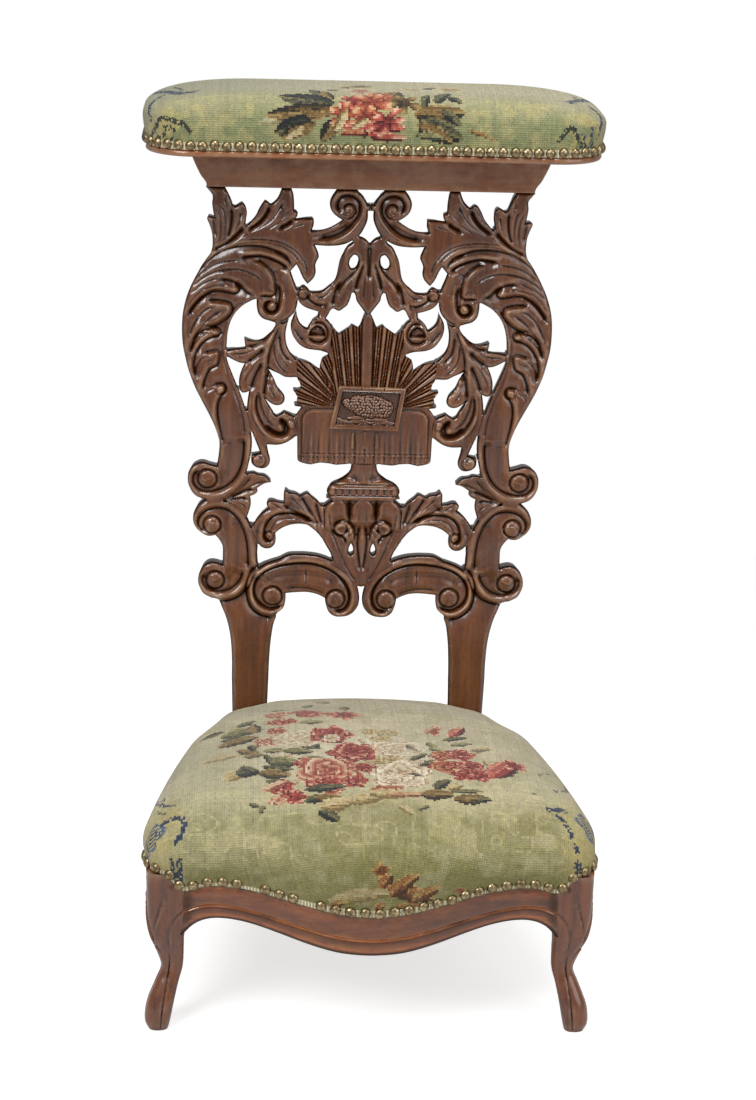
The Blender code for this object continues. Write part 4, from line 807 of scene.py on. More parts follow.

# %% [markdown]
# The wood is walnut, about a century and a half old, carved, stained and waxed. Its grain
# is a stretched noise, 3 to 8 mm across and many times longer, with short dark pores less
# than half a millimetre wide, drawn here a little coarser so that they show. The hollows are
# darkened, partly for wax and dirt gathered there and partly as painted shade, and the high
# places are lightened, partly as rubbed wear and partly as a painted highlight. A number
# stored on each point says how hollow or how raised the wood is there, and the finish reads
# it as an attribute, so it stays right in any view.

# %% Walnut
def walnut(name, grain_axis, tones, wax):
    """Waxed walnut with its grain along one axis, from dark, middle and light tones."""
    made, tree, shader = new_finish(name)
    place = object_place(tree)
    stretch = [1.0, 1.0, 1.0]
    stretch[grain_axis] = 0.07
    along = add(tree, "ShaderNodeMapping", {"Vector": place, "Scale": stretch}).outputs[0]
    warp = noise(tree, place, 9.0, 2.0)
    bent = add(tree, "ShaderNodeMix", {0: 0.012, 4: along, 5: warp.outputs["Color"]},
               data_type="VECTOR").outputs[1]
    figure = noise(tree, bent, 190.0, 5.0, Roughness=0.62, Distortion=0.4)
    broad = noise(tree, along, 34.0, 3.0)
    both = maths(tree, "ADD", figure.outputs["Fac"], broad.outputs["Fac"])
    half = maths(tree, "MULTIPLY", both, 0.5)
    wood = ramp(tree, half, [(0.33, tones[0]), (0.5, tones[1]), (0.68, tones[2])])
    stretch[grain_axis] = 0.05
    pore_place = add(tree, "ShaderNodeMapping", {"Vector": place, "Scale": stretch})
    pores = noise(tree, pore_place.outputs[0], 1500.0, 1.0)
    pore = ramp(tree, pores.outputs["Fac"], [(0.30, 1.0), (0.42, 0.0)])
    wood = mix(tree, maths(tree, "MULTIPLY", pore, 0.45), wood, linear("#2e1608"))
    hollow = add(tree, "ShaderNodeAttribute", attribute_name="hollow").outputs["Fac"]
    # The hollows are darkened, partly for wax and dirt gathered there and partly as painted shade;
    # the sawn sides carry high numbers and get painted shade here too.
    dirt_and_shade = ramp(tree, hollow, [(0.51, 0.0), (0.66, 0.72), (0.88, 1.0)])
    wood = mix(tree, dirt_and_shade, wood, linear("#22130a"))
    # The raised wood is lightened towards a pale wax colour, partly as rubbed wear and partly as a
    # painted highlight; worn is the share of it.
    rubbed_and_highlight = ramp(tree, hollow, [(0.12, 1.0), (0.44, 0.0)])
    patchy = noise(tree, place, 60.0, 3.0)
    patch = ramp(tree, patchy.outputs["Fac"], [(0.38, 0.25), (0.62, 1.0)])
    worn = maths(tree, "MULTIPLY", maths(tree, "MULTIPLY", rubbed_and_highlight, patch), wax)
    wood = mix(tree, worn, wood, linear("#b08a68"))
    tree.links.new(wood, shader.inputs["Base Color"])
    gloss = add(tree, "ShaderNodeMapRange", {"Value": patchy.outputs["Fac"], "From Min": 0.3,
                                             "From Max": 0.7, "To Min": 0.18, "To Max": 0.34})
    tree.links.new(gloss.outputs[0], shader.inputs["Roughness"])
    dry = ramp(tree, hollow, [(0.6, 1.0), (0.9, 0.0)])
    sheen = maths(tree, "MULTIPLY", dry, 0.62)
    tree.links.new(sheen, shader.inputs["Specular IOR Level"])
    tree.links.new(sheen, shader.inputs["Coat Weight"])
    shader.inputs["IOR"].default_value = 1.5
    shader.inputs["Coat Roughness"].default_value = 0.2
    tooled = noise(tree, place, 210.0, 2.0)
    bump = add(tree, "ShaderNodeBump", {"Height": tooled.outputs["Fac"], "Strength": 0.22,
                                        "Distance": 0.0012})
    fine = add(tree, "ShaderNodeBump", {"Height": half, "Strength": 0.25, "Distance": 0.0004,
                                        "Normal": bump.outputs[0]})
    tree.links.new(fine.outputs[0], shader.inputs["Normal"])
    return made


BACK_TONES = ("#3c1c0a", "#603214", "#7d4920")
ACROSS_TONES = ("#4c240d", "#7a3f1a", "#99592a")
# The front rail's tones are lighter than the others, partly as painted light for the strong light
# on the front of the rail.
RAIL_TONES = ("#5e2e10", "#934e1f", "#b26d31")
LEG_TONES = ("#44210e", "#6d391a", "#874e26")
walnut_upright = walnut("waxed_walnut_upright_grain", 2, BACK_TONES, 0.7)
walnut_across = walnut("waxed_walnut_grain_across", 0, ACROSS_TONES, 0.45)
walnut_seat = walnut("waxed_walnut_seat_frame", 0, RAIL_TONES, 0.5)
walnut_leg = walnut("waxed_walnut_legs", 2, LEG_TONES, 0.5)
print("walnut finishes: 4")

# %% [markdown]
# The number for hollows is measured on the mesh. At each point the neighbours either stand
# above its surface, in a hollow, or below it, on a ridge. The measure is spread a few steps
# over the mesh, so it reads a groove of one to three millimetres.

# %% Measure the hollows
NARROW_STEPS = 2
WIDE_STEPS = 10
HOLLOW_GAIN = 1.1


def read_all(items, field, wide, kind=float):
    """A row of numbers for each item of a mesh."""
    values = np.zeros(len(items) * wide, kind)
    items.foreach_get(field, values)
    return values.reshape(-1, wide)


def mark_hollows(piece, heights, shade):
    """Store how hollow (towards 1) or raised (towards 0) the surface is at each point.

    A carved piece hands over the heights of its face and a shade for its sawn sides.
    """
    mesh = piece.data
    count = len(mesh.vertices)
    place = read_all(mesh.vertices, "co", 3)
    normal = read_all(mesh.vertices, "normal", 3)
    ends = read_all(mesh.edges, "vertices", 2, int)
    one, two = ends[:, 0], ends[:, 1]
    run = place[two] - place[one]
    length = np.maximum(np.linalg.norm(run, axis=1), 1e-9)
    degree = np.bincount(ends.T.ravel(), minlength=count).clip(1)
    rise = np.bincount(one, (normal[one] * run).sum(1) / length, count)
    rise += np.bincount(two, -(normal[two] * run).sum(1) / length, count)
    rise /= degree
    face_count = len(heights)
    if face_count:
        inside_face = (ends < face_count).all(1)
        one, two = one[inside_face], two[inside_face]
        step = (heights[two] - heights[one]) * MM / length[inside_face]
        degree = np.bincount(np.concatenate([one, two]), minlength=count).clip(1)
        rise = (np.bincount(one, step, count) - np.bincount(two, step, count)) / degree
    total = np.zeros(count)
    for step in range(WIDE_STEPS):
        rise = 0.5 * rise + 0.5 * (np.bincount(one, rise[two], count)
                                   + np.bincount(two, rise[one], count)) / degree
        if step == NARROW_STEPS - 1:
            total += rise * 1.6
    total += rise * 2.0
    value = np.clip(0.5 + HOLLOW_GAIN * total, 0, 1)
    # The lip and the sawn sides keep their painted shade in place of the measure.
    value[face_count:len(shade)] = shade[face_count:]
    layer = mesh.attributes.new("hollow", "FLOAT", "POINT")
    layer.data.foreach_set("value", value.astype(np.float32))


def finish_wood(piece, finish, *nodes, slot="carved_walnut", turn=40, heights=(), shade=()):
    """Smooth a wooden piece, mark its hollows, and put it in its place on the chair."""
    select_only(piece)
    bpy.ops.object.shade_smooth_by_angle(angle=math.radians(turn))
    mark_hollows(piece, heights, shade)
    piece.data.materials.clear()
    piece.data.materials.append(finish)
    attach(piece, "root")
    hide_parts(*nodes)


print("hollows can be measured")

# %% [markdown]
# Behind the seat the posts go on down as plain rear legs, which splay backwards towards the
# floor. The post's outline is carried on down to just above the seat's nails, where the plain
# leg takes over.

# %% Posts and rear legs
LEG_FOOT_WIDTH = 28.0
LEG_FOOT_SPLAY = 34.0
LEG_DEPTH = 28.0
LEG_MIDDLE = -119.4
POST_FOOT = 182.0
SPLAY_TOP = 290.0


def lengthened(loop, foot):
    """A post's outline carried on down to a level behind the seat, tapering like the leg."""
    top = loop[:, 1].min()
    flat = loop[:, 1] < top + 0.6
    start = next(k for k in range(len(loop)) if flat[k - 1] and not flat[k])
    kept = np.roll(loop, -start, axis=0)[:(~flat).sum()]
    first, last = kept[0], kept[-1]
    share = np.linspace(0, 1, int((top - foot) / 1.5))[1:, None]
    width = LEG_FOOT_WIDTH + (abs(first[0] - last[0]) - LEG_FOOT_WIDTH) * foot / top
    feet = [np.array([LEG_MIDDLE + math.copysign(width / 2, end[0] - LEG_MIDDLE), foot])
            for end in (last, first)]
    down = last + (feet[0] - last) * share
    across = feet[0] + (feet[1] - feet[0]) * np.linspace(0, 1, 24)[1:-1, None]
    rising = feet[1] + (first - feet[1]) * np.linspace(0, 1, len(share) + 1)[:-1, None]
    return np.vstack([kept, down, across, rising])


def splayed(point):
    """A point of the board moved back where the leg splays below the back."""
    below = max(0.0, 1 - point.z / MM / SPLAY_TOP)
    return Vector((point.x, point.y + LEG_FOOT_SPLAY * MM * below ** 2, point.z))


def rear_leg():
    """The plain leg under a post, straight to the seat and splayed below it."""
    loop = outlines["back_post_left"][0]
    top = loop[:, 1].min()
    foot = loop[loop[:, 1] < top + 0.6]
    top_width = foot[:, 0].max() - foot[:, 0].min()
    rings, levels, corners = [], 14, 16
    for index in range(levels):
        share = index / (levels - 1)
        up = top * share + 0.6 * share
        width = LEG_FOOT_WIDTH + (top_width - LEG_FOOT_WIDTH) * share
        splay = LEG_FOOT_SPLAY * (1 - min(up / SPLAY_TOP, 1.0)) ** 2
        front = (BOARD_FOOT_Y / MM + (up - 300) * math.tan(BOARD_LEAN) + splay + 0.1
                 + chair_shift / MM)
        ring = []
        for corner in range(corners):
            turn = 2 * math.pi * (corner + 0.5) / corners
            x, y = math.cos(turn), math.sin(turn)
            grow = 1 / (abs(x) ** 8 + abs(y) ** 8) ** 0.125
            ring.append(Vector((LEG_MIDDLE + x * grow * width / 2,
                                front + LEG_DEPTH / 2 + y * grow * LEG_DEPTH / 2, up)) * MM)
        rings.append(ring)
    return tube(rings)


print("rear legs ready, foot", LEG_FOOT_WIDTH, "by", LEG_DEPTH, "mm")

# %% [markdown]
# Four pieces in the middle have patterns that are easier to say as a rule than as cuts: the
# rays of the sun, the folds and lace of the altar cloth, the rings of the pedestal and the
# lobes of the urn.

# %% Patterns of the middle
def sun_rays(places):
    """Fluted rays that spread from behind the plaque."""
    across, up = np.abs(places[:, 0]), places[:, 1]
    deep = np.zeros(len(places))
    upper = across < 34 + 0.055 * (up - 540)
    for chosen, foot, turn_step in ((upper, (0.0, 392.0), 1.02), (~upper, (18.0, 527.0), 3.9)):
        away_x, away_y = across - foot[0], up - foot[1]
        angle = np.degrees(np.arctan2(away_x, np.maximum(away_y, 0.01)))
        far = np.hypot(away_x, away_y)
        beat = (angle + 0.22 * turn_step * np.sin(angle * 2.1 / turn_step)) / turn_step
        number = np.floor(beat)
        gap = np.minimum(beat - number, 1 - beat + number) * np.radians(turn_step) * far
        bars = 2.6 * np.exp(-(gap / 0.85) ** 2) + 0.9 * (0.5 + 0.5 * np.sin(number * 2.39))
        deep = np.where(chosen, bars, deep)
    deep += np.where(upper, 0.0, 1.5)
    middle = -1.6 * (1 - (across / 6.2) ** 2) + 2.2 * np.exp(-((across - 6.2) / 0.8) ** 2)
    return np.where(across < 6.6, middle, deep)


def cloth_folds(places):
    """Soft upright folds, a rolled shoulder and a dotted lace hem."""
    across, up = places[:, 0], places[:, 1]
    folds = 0.55 * np.sin(across * 0.46) * np.clip((525 - up) / 30, 0, 1)
    folds += 0.35 * np.sin(across * 1.13 + 0.8) * np.clip((515 - up) / 25, 0, 1)
    fine = 0.18 * np.sin(across * 3.4)
    shoulder = np.hypot(np.clip(-across - 56, 0, None) / 12, np.clip(up - 519, 0, None) / 12)
    low = np.clip((shoulder - 0.9) / 0.12, 0, 1) * 3.2
    low = np.maximum(low, np.clip((-across - 71) / 1.5, 0, 1) * 1.5 * (up > 500))
    dots = np.where(up < 482, 0.9 * np.maximum(np.sin(across * 1.7), 0)
                    * np.maximum(np.sin((up - 470) * 0.85), 0), 0)
    hem = 0.6 * np.exp(-((up - 483) / 1.0) ** 2)
    drops = np.zeros(len(places))
    for middle in (0.0, 13.0):
        width = np.abs(-across - middle)
        length = np.clip((up - 490) / 16, 0, 1)
        drops += 1.3 * np.clip(1 - width / (3.2 - 1.6 * length), 0, 1) * (up > 489) * (up < 507)
    return folds + fine + low + dots + hem - drops


def turned_foot(places):
    """The pedestal reads as a turned stem on a ringed base, with a carved band."""
    across, up = np.abs(places[:, 0]), places[:, 1]
    stem = np.clip(1 - (across / 9) ** 2, 0, 1) * (up > 452) * 2.4
    rings = (1.8 * np.exp(-((up - 448.5) / 1.0) ** 2) + 1.6 * np.exp(-((up - 436.5) / 0.9) ** 2)
             + 0.8 * np.exp(-((up - 445.8) / 0.7) ** 2))
    band = ((up > 437.5) & (up < 444.5)) * (0.7 + 0.9 * np.cos(across * 0.42) ** 4)
    waist = 3.2 * np.exp(-((up - 456) / 4.5) ** 2) * np.clip(across / 12, 0, 1)
    return rings + band + waist - stem + 1.6 * (up > 452)


def urn_body(places):
    """Three swelling lobes above, and a rounded belly below."""
    across, up = np.abs(places[:, 0]), places[:, 1]
    crown = np.zeros(len(places))
    for middle, half in ((0.0, 14.0), (28.5, 13.5)):
        reach = ((across - middle) / half) ** 2 + ((up - 411) / 22.5) ** 2
        crown = np.maximum(crown, np.clip(1 - reach, 0, 1) ** 0.4)
    belly = np.clip(1 - (across / 44) ** 2, 0, 1) * np.clip((414 - up) / 24, 0, 1)
    return 3.8 - np.maximum(4.0 * crown * np.clip((up - 388) / 20, 0, 1), 3.0 * belly)


print("patterns of the middle ready")

# %% [markdown]
# Now the pieces of the back. Each is carved from its own sawn outline at its own level: the
# posts stand proudest, and the leaves between them lie a little lower. Each row below gives
# the depths of the back and of the front, how wide the edge is rounded, and the pattern. The
# right half is a mirrored copy of the left.

# %% Carve the back
PLAN = {
    "back_post_left": (-28, 0.0, 5.0, None),
    "crest_scroll_left": (-24, 0.0, 5.0, None),
    "arch_scroll_left": (-24, 0.0, 4.5, None),
    "acanthus_scroll_left": (-24, -1.5, 4.0, None),
    "side_leaf_left": (-24, -2.0, 4.5, None),
    "hood_scroll_left": (-24, -1.5, 4.5, None),
    "spandrel_leaf_left": (-24, -3.0, 3.5, None),
    "drop_scroll_left": (-24, -3.0, 4.5, None),
    "centre_pendant": (-24, -1.0, 4.5, None),
    "sunburst": (-24, -1.5, 1.6, sun_rays),
    "altar_cloth": (-18, -1.5, 2.4, cloth_folds),
    "pedestal": (-24, 0.0, 8.0, turned_foot),
    "urn": (-24, 1.0, 4.0, urn_body),
}


outlines["back_post_left"][0] = lengthened(outlines["back_post_left"][0], POST_FOOT)
carved_faces = 0
for piece_name, (back, level, edge, extra) in PLAN.items():
    points, faces, heights, shade = carve(piece_name, back, level, edge, extra)
    if piece_name == "back_post_left":
        points = [splayed(point) for point in points]
        leg_points, leg_faces = rear_leg()
        faces = faces + [tuple(k + len(points) for k in face) for face in leg_faces]
        points = points + leg_points
    halves = [(piece_name, points, faces)]
    if piece_name.endswith("_left"):
        halves.append((piece_name[:-4] + "right", *mirrored(points, faces)))
    for node_name, half_points, half_faces in halves:
        piece = new_object("carved_" + node_name, half_points, half_faces)
        finish_wood(piece, walnut_upright, node_name, heights=heights, shade=shade)
        carved_faces += len(half_faces)
print("carved faces:", carved_faces)

# %% [markdown]
# The pads follow the frame. The seat's nailed edge runs along the side rails, round the
# knees and along the bowed front rail, and dips between the arches. The armrest is a long
# board with round corners. Both edges are drawn once here, in metres, as the joiner set
# them out, and then moved with the chair.

# %% Plans of the two pads
FRONT_FACE_Y = -0.201
SIDE_FRONT_Y = -0.158
SEAT_BACK_Y = 0.203
REAR_INNER_X = 0.1004
FRONT_RAIL_HALF = 0.1757
SIDE_FRONT_X = 0.217
CORNER_POWER = 0.62
PAST_THE_POST = [(0.1098, 0.1970), (0.1198, 0.1898), (0.1298, 0.1826)]
EAR_X, EAR_Y = 0.183, 0.147
SIDE_NAIL_LEVEL, FRONT_NAIL_LEVEL = 0.1645, 0.146
ARM_STRAIGHT, ARM_MIDDLE_Y, ARM_CORNER = 0.185, 0.187, 0.046


def front_face(x):
    """Front face of the bowed front rail."""
    return FRONT_FACE_Y - 0.030 * math.cos(math.pi / 2 * min(abs(x) / 0.165, 1.0)) ** 2


def side_face(y):
    """Outer face of a bowed side rail."""
    share = (y - SIDE_FRONT_Y) / 0.3335
    return SIDE_FRONT_X - 0.078 * (share + share * share) / 2


def ear_share(x, y):
    """How far a place is up the ear at the front corner, from 0 to 1."""
    share = min(abs(x) - EAR_X, -y - EAR_Y) / 0.018
    share = max(0.0, min(1.0, share))
    return share * share * (3 - 2 * share)


def nail_height(x, y):
    """Height of the seat's row of nails, y before the chair was moved."""
    level = SIDE_NAIL_LEVEL
    if y < SIDE_FRONT_Y:
        arch = math.sin(math.pi / 2 * min(abs(x) / 0.150, 1.0)) ** 2
        level = FRONT_NAIL_LEVEL + 0.0185 * arch
        dip = math.exp(-((abs(x) - 0.181) / 0.014) ** 2) * max(0.0, min(1.0, (-y - 0.180) / 0.015))
        level -= 0.0060 * dip
    return level + 0.0105 * ear_share(x, y)


def seat_plan():
    """The seat's nailed edge, straight between the posts and slanting past each of them."""
    half = [(x, SEAT_BACK_Y) for x in np.linspace(0.006, REAR_INNER_X, 9)]
    half += PAST_THE_POST
    half += [(side_face(y), y) for y in np.linspace(0.1755, SIDE_FRONT_Y, 10)]
    for angle in np.linspace(0, math.pi / 2, 7)[1:-1]:
        wide, deep = math.cos(angle) ** CORNER_POWER, math.sin(angle) ** CORNER_POWER
        half.append((FRONT_RAIL_HALF + (SIDE_FRONT_X - FRONT_RAIL_HALF) * wide,
                     SIDE_FRONT_Y - (SIDE_FRONT_Y - FRONT_FACE_Y) * deep))
    half += [(x, front_face(x)) for x in np.linspace(FRONT_RAIL_HALF, 0, 14)]
    return half + [(-x, y) for x, y in reversed(half[:-1])]


def arm_plan():
    """The armrest's nailed edge, a long board with four round corners."""
    points = []
    for way_x, way_y, start in ((1, 1, 0), (-1, 1, 90), (-1, -1, 180), (1, -1, 270)):
        for angle in np.radians(np.linspace(start, start + 90, 9)):
            points.append((way_x * ARM_STRAIGHT + ARM_CORNER * math.cos(angle),
                           ARM_MIDDLE_Y + way_y * 0.022 + ARM_CORNER * math.sin(angle)))
        if way_x == way_y:
            end = way_x * ARM_STRAIGHT
            points += [(x, points[-1][1]) for x in np.linspace(end, -end, 16)[1:-1]]
    return points


def ring_of(plan):
    """A closed plan sampled every two millimetres, anticlockwise, and its outward ways."""
    ring = smooth_line(plan, 0.002, closed=True)
    if turns_left(ring) < 0:
        ring = ring[::-1]
    return ring, right_ways(ring)


seat_ring, seat_out = ring_of(seat_plan())
arm_ring, arm_out = ring_of(arm_plan())
print("seat edge", round(len(seat_ring) * 2), "mm, armrest edge", round(len(arm_ring) * 2), "mm")

# %% [markdown]
# A needlepoint cover is one flat canvas, worked in small stitches and then pulled over the
# stuffing. So the cover starts here as a flat grid with one square for each stitch, about
# 2.3 mm wide. In the middle it lies over the crown as it is. Past the shoulder every square
# goes round and down the side, square to the edge, to the row of nails. A square that would
# go past the nails is cut off. The stuffing swells by a few millimetres over its edge.

# %% Lay a canvas over a pad
STITCH = 0.0023
SKIN = 0.0018
BELOW_NAILS = 0.0065
ARM_FOOT, ARM_NAIL_LEVEL = 0.8193, 0.824


def crown_share(inward, fullness):
    """Rise of the crown, 0 at the shoulder and 1 in the middle."""
    return (1 - (1 - inward) ** fullness) ** 0.5


def seat_fall(places):
    """How far the seat pad has settled between the rear posts, most of all by the posts."""
    deepest = 0.031 + 0.012 * np.clip(np.abs(places[:, 0]) / 0.12, 0, 1.2) ** 2
    return deepest * np.clip((places[:, 1] - 0.04) / (SEAT_BACK_Y - 0.04), 0, 1)


def soft_ways(places, line, ways):
    """Outward direction at each place, blended where two sides are about as near."""
    soft = np.zeros((len(places), 2))
    for start in range(0, len(places), 4000):
        gap = np.linalg.norm(places[start:start + 4000, None] - line[None], axis=2)
        nearest = gap.min(1)[:, None]
        weight = np.exp((nearest - gap) / (0.25 * nearest + 0.0005))
        soft[start:start + 4000] = weight @ ways / weight.sum(1)[:, None]
    return soft


def flat_grid(edge):
    """Corners of the stitches of a flat canvas that reaches past an edge on all sides."""
    low, high = edge.min(0) - 0.06, edge.max(0) + 0.06
    columns = np.arange(round(low[0] / STITCH), round(high[0] / STITCH) + 1)
    rows = np.arange(round(low[1] / STITCH), round(high[1] / STITCH) + 1)
    across, along = np.meshgrid(columns * STITCH, rows * STITCH)
    numbers = np.arange(across.size).reshape(across.shape)
    return np.column_stack([across.ravel(), along.ravel()]), numbers


def share_inward(place, equator, middle):
    """How far in each place lies, from 0 at the pad's edge to 1 in its middle."""
    away, edge_away = place - middle, equator - middle
    turn = np.arctan2(away[:, 1], away[:, 0])
    edge_turn = np.arctan2(edge_away[:, 1], edge_away[:, 0])
    order = np.argsort(edge_turn)
    limit = np.interp(turn, edge_turn[order], np.hypot(*edge_away[order].T), period=2 * math.pi)
    return np.clip(1 - np.hypot(away[:, 0], away[:, 1]) / limit, 0, 1)


def lay_canvas(ring, out, foot, bulge, shoulder, crown, reach, fullness, settled):
    """Points and faces of a cover, and where each face lies on the flat canvas."""
    bulge = bulge[:, None]
    equator = ring + out * (SKIN + bulge)
    front, back = ring[:, 1].min(), ring[:, 1].max()
    middle = np.array([0.0, (front + back) / 2])
    inward = np.concatenate([[0], np.linspace(0.02, 1, 240) ** 2 * reach])
    share = np.clip(inward / ((back - front) / 2), 0, 1)
    rise = (crown - shoulder) * crown_share(share, fullness)
    arc = np.concatenate([[0], np.cumsum(np.hypot(np.diff(inward), np.diff(rise)))])
    extra = arc[-1] - inward[-1]

    flat_edge = equator + out * extra
    canvas, numbers = flat_grid(flat_edge)
    distance, _, share = nearest_on(canvas, flat_edge, closed=True)
    past = np.where(inside(canvas, [flat_edge]), -distance, distance)
    within = past <= 0
    lengths = np.linalg.norm(np.roll(flat_edge, -1, axis=0) - flat_edge, axis=1)
    gone = np.concatenate([[0], np.cumsum(lengths)]) / lengths.sum()
    spot = np.interp(share, gone, np.arange(len(ring) + 1)) % len(ring)
    first = np.floor(spot).astype(int) % len(ring)
    second = (first + 1) % len(ring)
    part = (spot - np.floor(spot))[:, None]
    normal = out[first] * (1 - part) + out[second] * part
    edge = equator[first] * (1 - part) + equator[second] * part

    pulled = np.where(-past > arc[-1], 0.0, np.interp(-past, arc, inward) + past + extra)
    laid = canvas - soft_ways(canvas, flat_edge, out) * pulled[:, None]
    place = np.where(within[:, None], laid, edge)
    top = shoulder + (crown - shoulder - settled(place)) * crown_share(
        share_inward(place, equator, middle), fullness)
    floor_level = np.array([foot(x, y) for x, y in ring])[first]
    drop = shoulder - floor_level
    down = np.clip(past, 0, None)
    swell = np.cos(np.clip(down / np.maximum(drop, 1e-6), 0, 1) * math.pi / 2) ** 1.4
    side_place = edge - normal * bulge[first] * (1 - swell)[:, None]
    place = np.where(within[:, None], place, side_place)
    height = np.where(within, top, np.maximum(shoulder - down, floor_level))

    faces = squares(numbers)
    faces = faces[(down < drop + STITCH * 0.4)[faces].all(1)]
    used, renumbered = used_only(faces, len(canvas))
    return np.column_stack([place, height])[used], renumbered, canvas[faces].mean(1)


def shift_to_chair(points):
    """Move points drawn before the chair was centred."""
    return np.asarray(points) + (0.0, chair_shift, 0.0)


ears = np.array([ear_share(x, y) for x, y in seat_ring])
seat_points, seat_faces, seat_spots = lay_canvas(
    seat_ring, seat_out, lambda x, y: nail_height(x, y) - BELOW_NAILS,
    bulge=0.006 * (1 - 0.6 * ears), shoulder=0.182, crown=0.243, reach=0.034, fullness=4.4,
    settled=seat_fall)
arm_points, arm_faces, arm_spots = lay_canvas(
    arm_ring, arm_out, lambda x, y: ARM_FOOT,
    bulge=np.full(len(arm_ring), 0.0045), shoulder=0.849, crown=0.877, reach=0.03, fullness=6.0,
    settled=lambda places: 0.0)
print("stitches on the seat", len(seat_faces), "and on the armrest", len(arm_faces))

# %% [markdown]
# The needlework is drawn stitch by stitch, the way a charted pattern is worked: every motif
# decides which stitches it covers and which tone of wool each one gets. Places are in
# millimetres on the flat canvas, with the rear of the seat upwards. A leaf has a dark side,
# a vein and a notched rim. A rose has rings of petals with light rims. A spray has pointed
# petals, and a hatched fan has short rows. A line is a scroll or a stem. The wools are old,
# so tones are muted and uneven.

# %% Wools and motifs
WOOLS = {
    "red": ("#451214", "#6b2120", "#8a312a", "#a2483a", "#b86f5b", "#cfa287"),
    "coral": ("#5c2016", "#7e3220", "#9a4a2f", "#b57350", "#c99d78"),
    "pink": ("#722a20", "#934735", "#b07058", "#c69c7d", "#d3ba9a"),
    "cream": ("#96785c", "#b39a7c", "#c9b798", "#d8cbb0", "#dfd5be"),
    "brown": ("#1e1b17", "#412f14", "#5f4824", "#775d33", "#917a4b"),
    "tan": ("#6f5a33", "#917a48", "#a78f5e", "#b7a376", "#c5b48c"),
    "olive": ("#1d1f1b", "#3d3d28", "#5d5a35", "#7b754b", "#968e63"),
    "dark": ("#171a1a", "#222623", "#32362f", "#504d34", "#716a46"),
    "navy": ("#1a2338", "#25324f", "#3d4f70", "#667890"),
    "rust": ("#43220f", "#5f3318", "#7b4a24", "#98693a", "#b08f58"),
}


def dye(colours, cover, value, wool, fade, ground, chance):
    """Give covered stitches the tone of a wool for a value from 0, dark, to 1, light."""
    tones = np.array([painter(code) for code in WOOLS[wool]])
    noise = chance.normal(0, 0.04, len(colours))
    value = np.clip(value + noise, 0, 1) ** 1.35
    step = np.clip((value * len(tones)).astype(int), 0, len(tones) - 1)
    worn = np.clip(fade + chance.normal(0, 0.06, len(colours)), 0, 1)[:, None]
    colours[cover] = (tones[step] * (1 - worn) + ground * worn)[cover]


def turned(spots, u, v, angle):
    """Places measured along and across a direction, from a point."""
    away = spots - (u, v)
    c, s = math.cos(math.radians(angle)), math.sin(math.radians(angle))
    return away[:, 0] * c + away[:, 1] * s, -away[:, 0] * s + away[:, 1] * c


def leaf(spots, u, v, length, width, angle):
    """A pointed leaf from its stalk, with a notched rim, a vein and one dark side."""
    along, across = turned(spots, u, v, angle)
    share = np.clip(along / length, 0, 1)
    half = width / 2 * np.sin(math.pi * share ** 0.85) ** 0.7
    half *= 1 + 0.22 * ((share * 5.5) % 1.0 - 0.5)
    cover = (along > 0) & (along < length) & (np.abs(across) < half)
    side = across / np.maximum(half, 0.1)
    value = 0.62 + 0.3 * side
    value = np.where(side < -0.55, 0.02, value)
    value = np.where(np.abs(across) < 1.3, 0.95, value)
    value = np.where((np.abs(across + share * 2.5) % 6.5) < 1.5, value - 0.25, value)
    return cover, value


def rose(spots, u, v, length, width, angle):
    """A full rose seen half from above, its heart toward the given direction."""
    along, across = turned(spots, u, v, angle)
    x, y = along / (length / 2), across / (width / 2)
    rim = np.hypot(x, y)
    turn = np.arctan2(y, x)
    edge = 1 + 0.09 * np.cos(5 * turn + u) + 0.05 * np.cos(8 * turn + v)
    heart_x = x - 0.25
    reach = np.hypot(heart_x, y) / (edge * (1 + 0.2 * np.cos(turn)))
    swirl = np.arctan2(y, heart_x)
    ring = reach * 3.1 + 0.28 * np.sin(3 * swirl + u * 0.7 + np.floor(reach * 3.1) * 1.7)
    value = 0.15 + 0.85 * (ring % 1.0) ** 0.8
    value = value * (0.55 + 0.45 * np.clip(reach * 1.4, 0, 1))
    return rim < edge, value + 0.12 * x


def spray(spots, u, v, length, width, angle):
    """Five or six pointed petals with dark clefts."""
    along, across = turned(spots, u, v, angle)
    x, y = along / (length / 2), across / (width / 2)
    rim, turn = np.hypot(x, y), np.arctan2(y, x)
    petal = np.abs(np.cos(turn * 2.5 + u))
    cover = rim < 0.34 + 0.66 * petal ** 0.8
    value = 0.2 + 0.75 * petal ** 1.5 * np.clip(rim * 1.3, 0.35, 1)
    return cover, value


def hatched(spots, u, v, length, width, angle):
    """Fans of short navy rows at the corners of the seat."""
    along, across = turned(spots, u, v, angle)
    rim = np.hypot(along / (length / 2), across / (width / 2))
    rows = np.sin(across * 1.5 + 1.6 * np.sin(along * 0.21) + u) > -0.1
    ragged = rim + 0.16 * np.sin(np.arctan2(across, along) * 5 + v)
    return (ragged < 1) & (rows | (rim > 0.86)), 0.2 + 0.6 * rim


SHAPES = {"leaf": leaf, "rose": rose, "spray": spray, "hatched": hatched}


def work_motifs(colours, spots, motifs, chance):
    """Work motifs in order, each over the last: shape, wool, place, size, turn and fade."""
    ground = colours.copy()
    for shape, wool, u, v, length, width, angle, fade in motifs:
        cover, value = SHAPES[shape](spots, u, v, length, width, angle)
        dye(colours, cover, value, wool, fade, ground, chance)


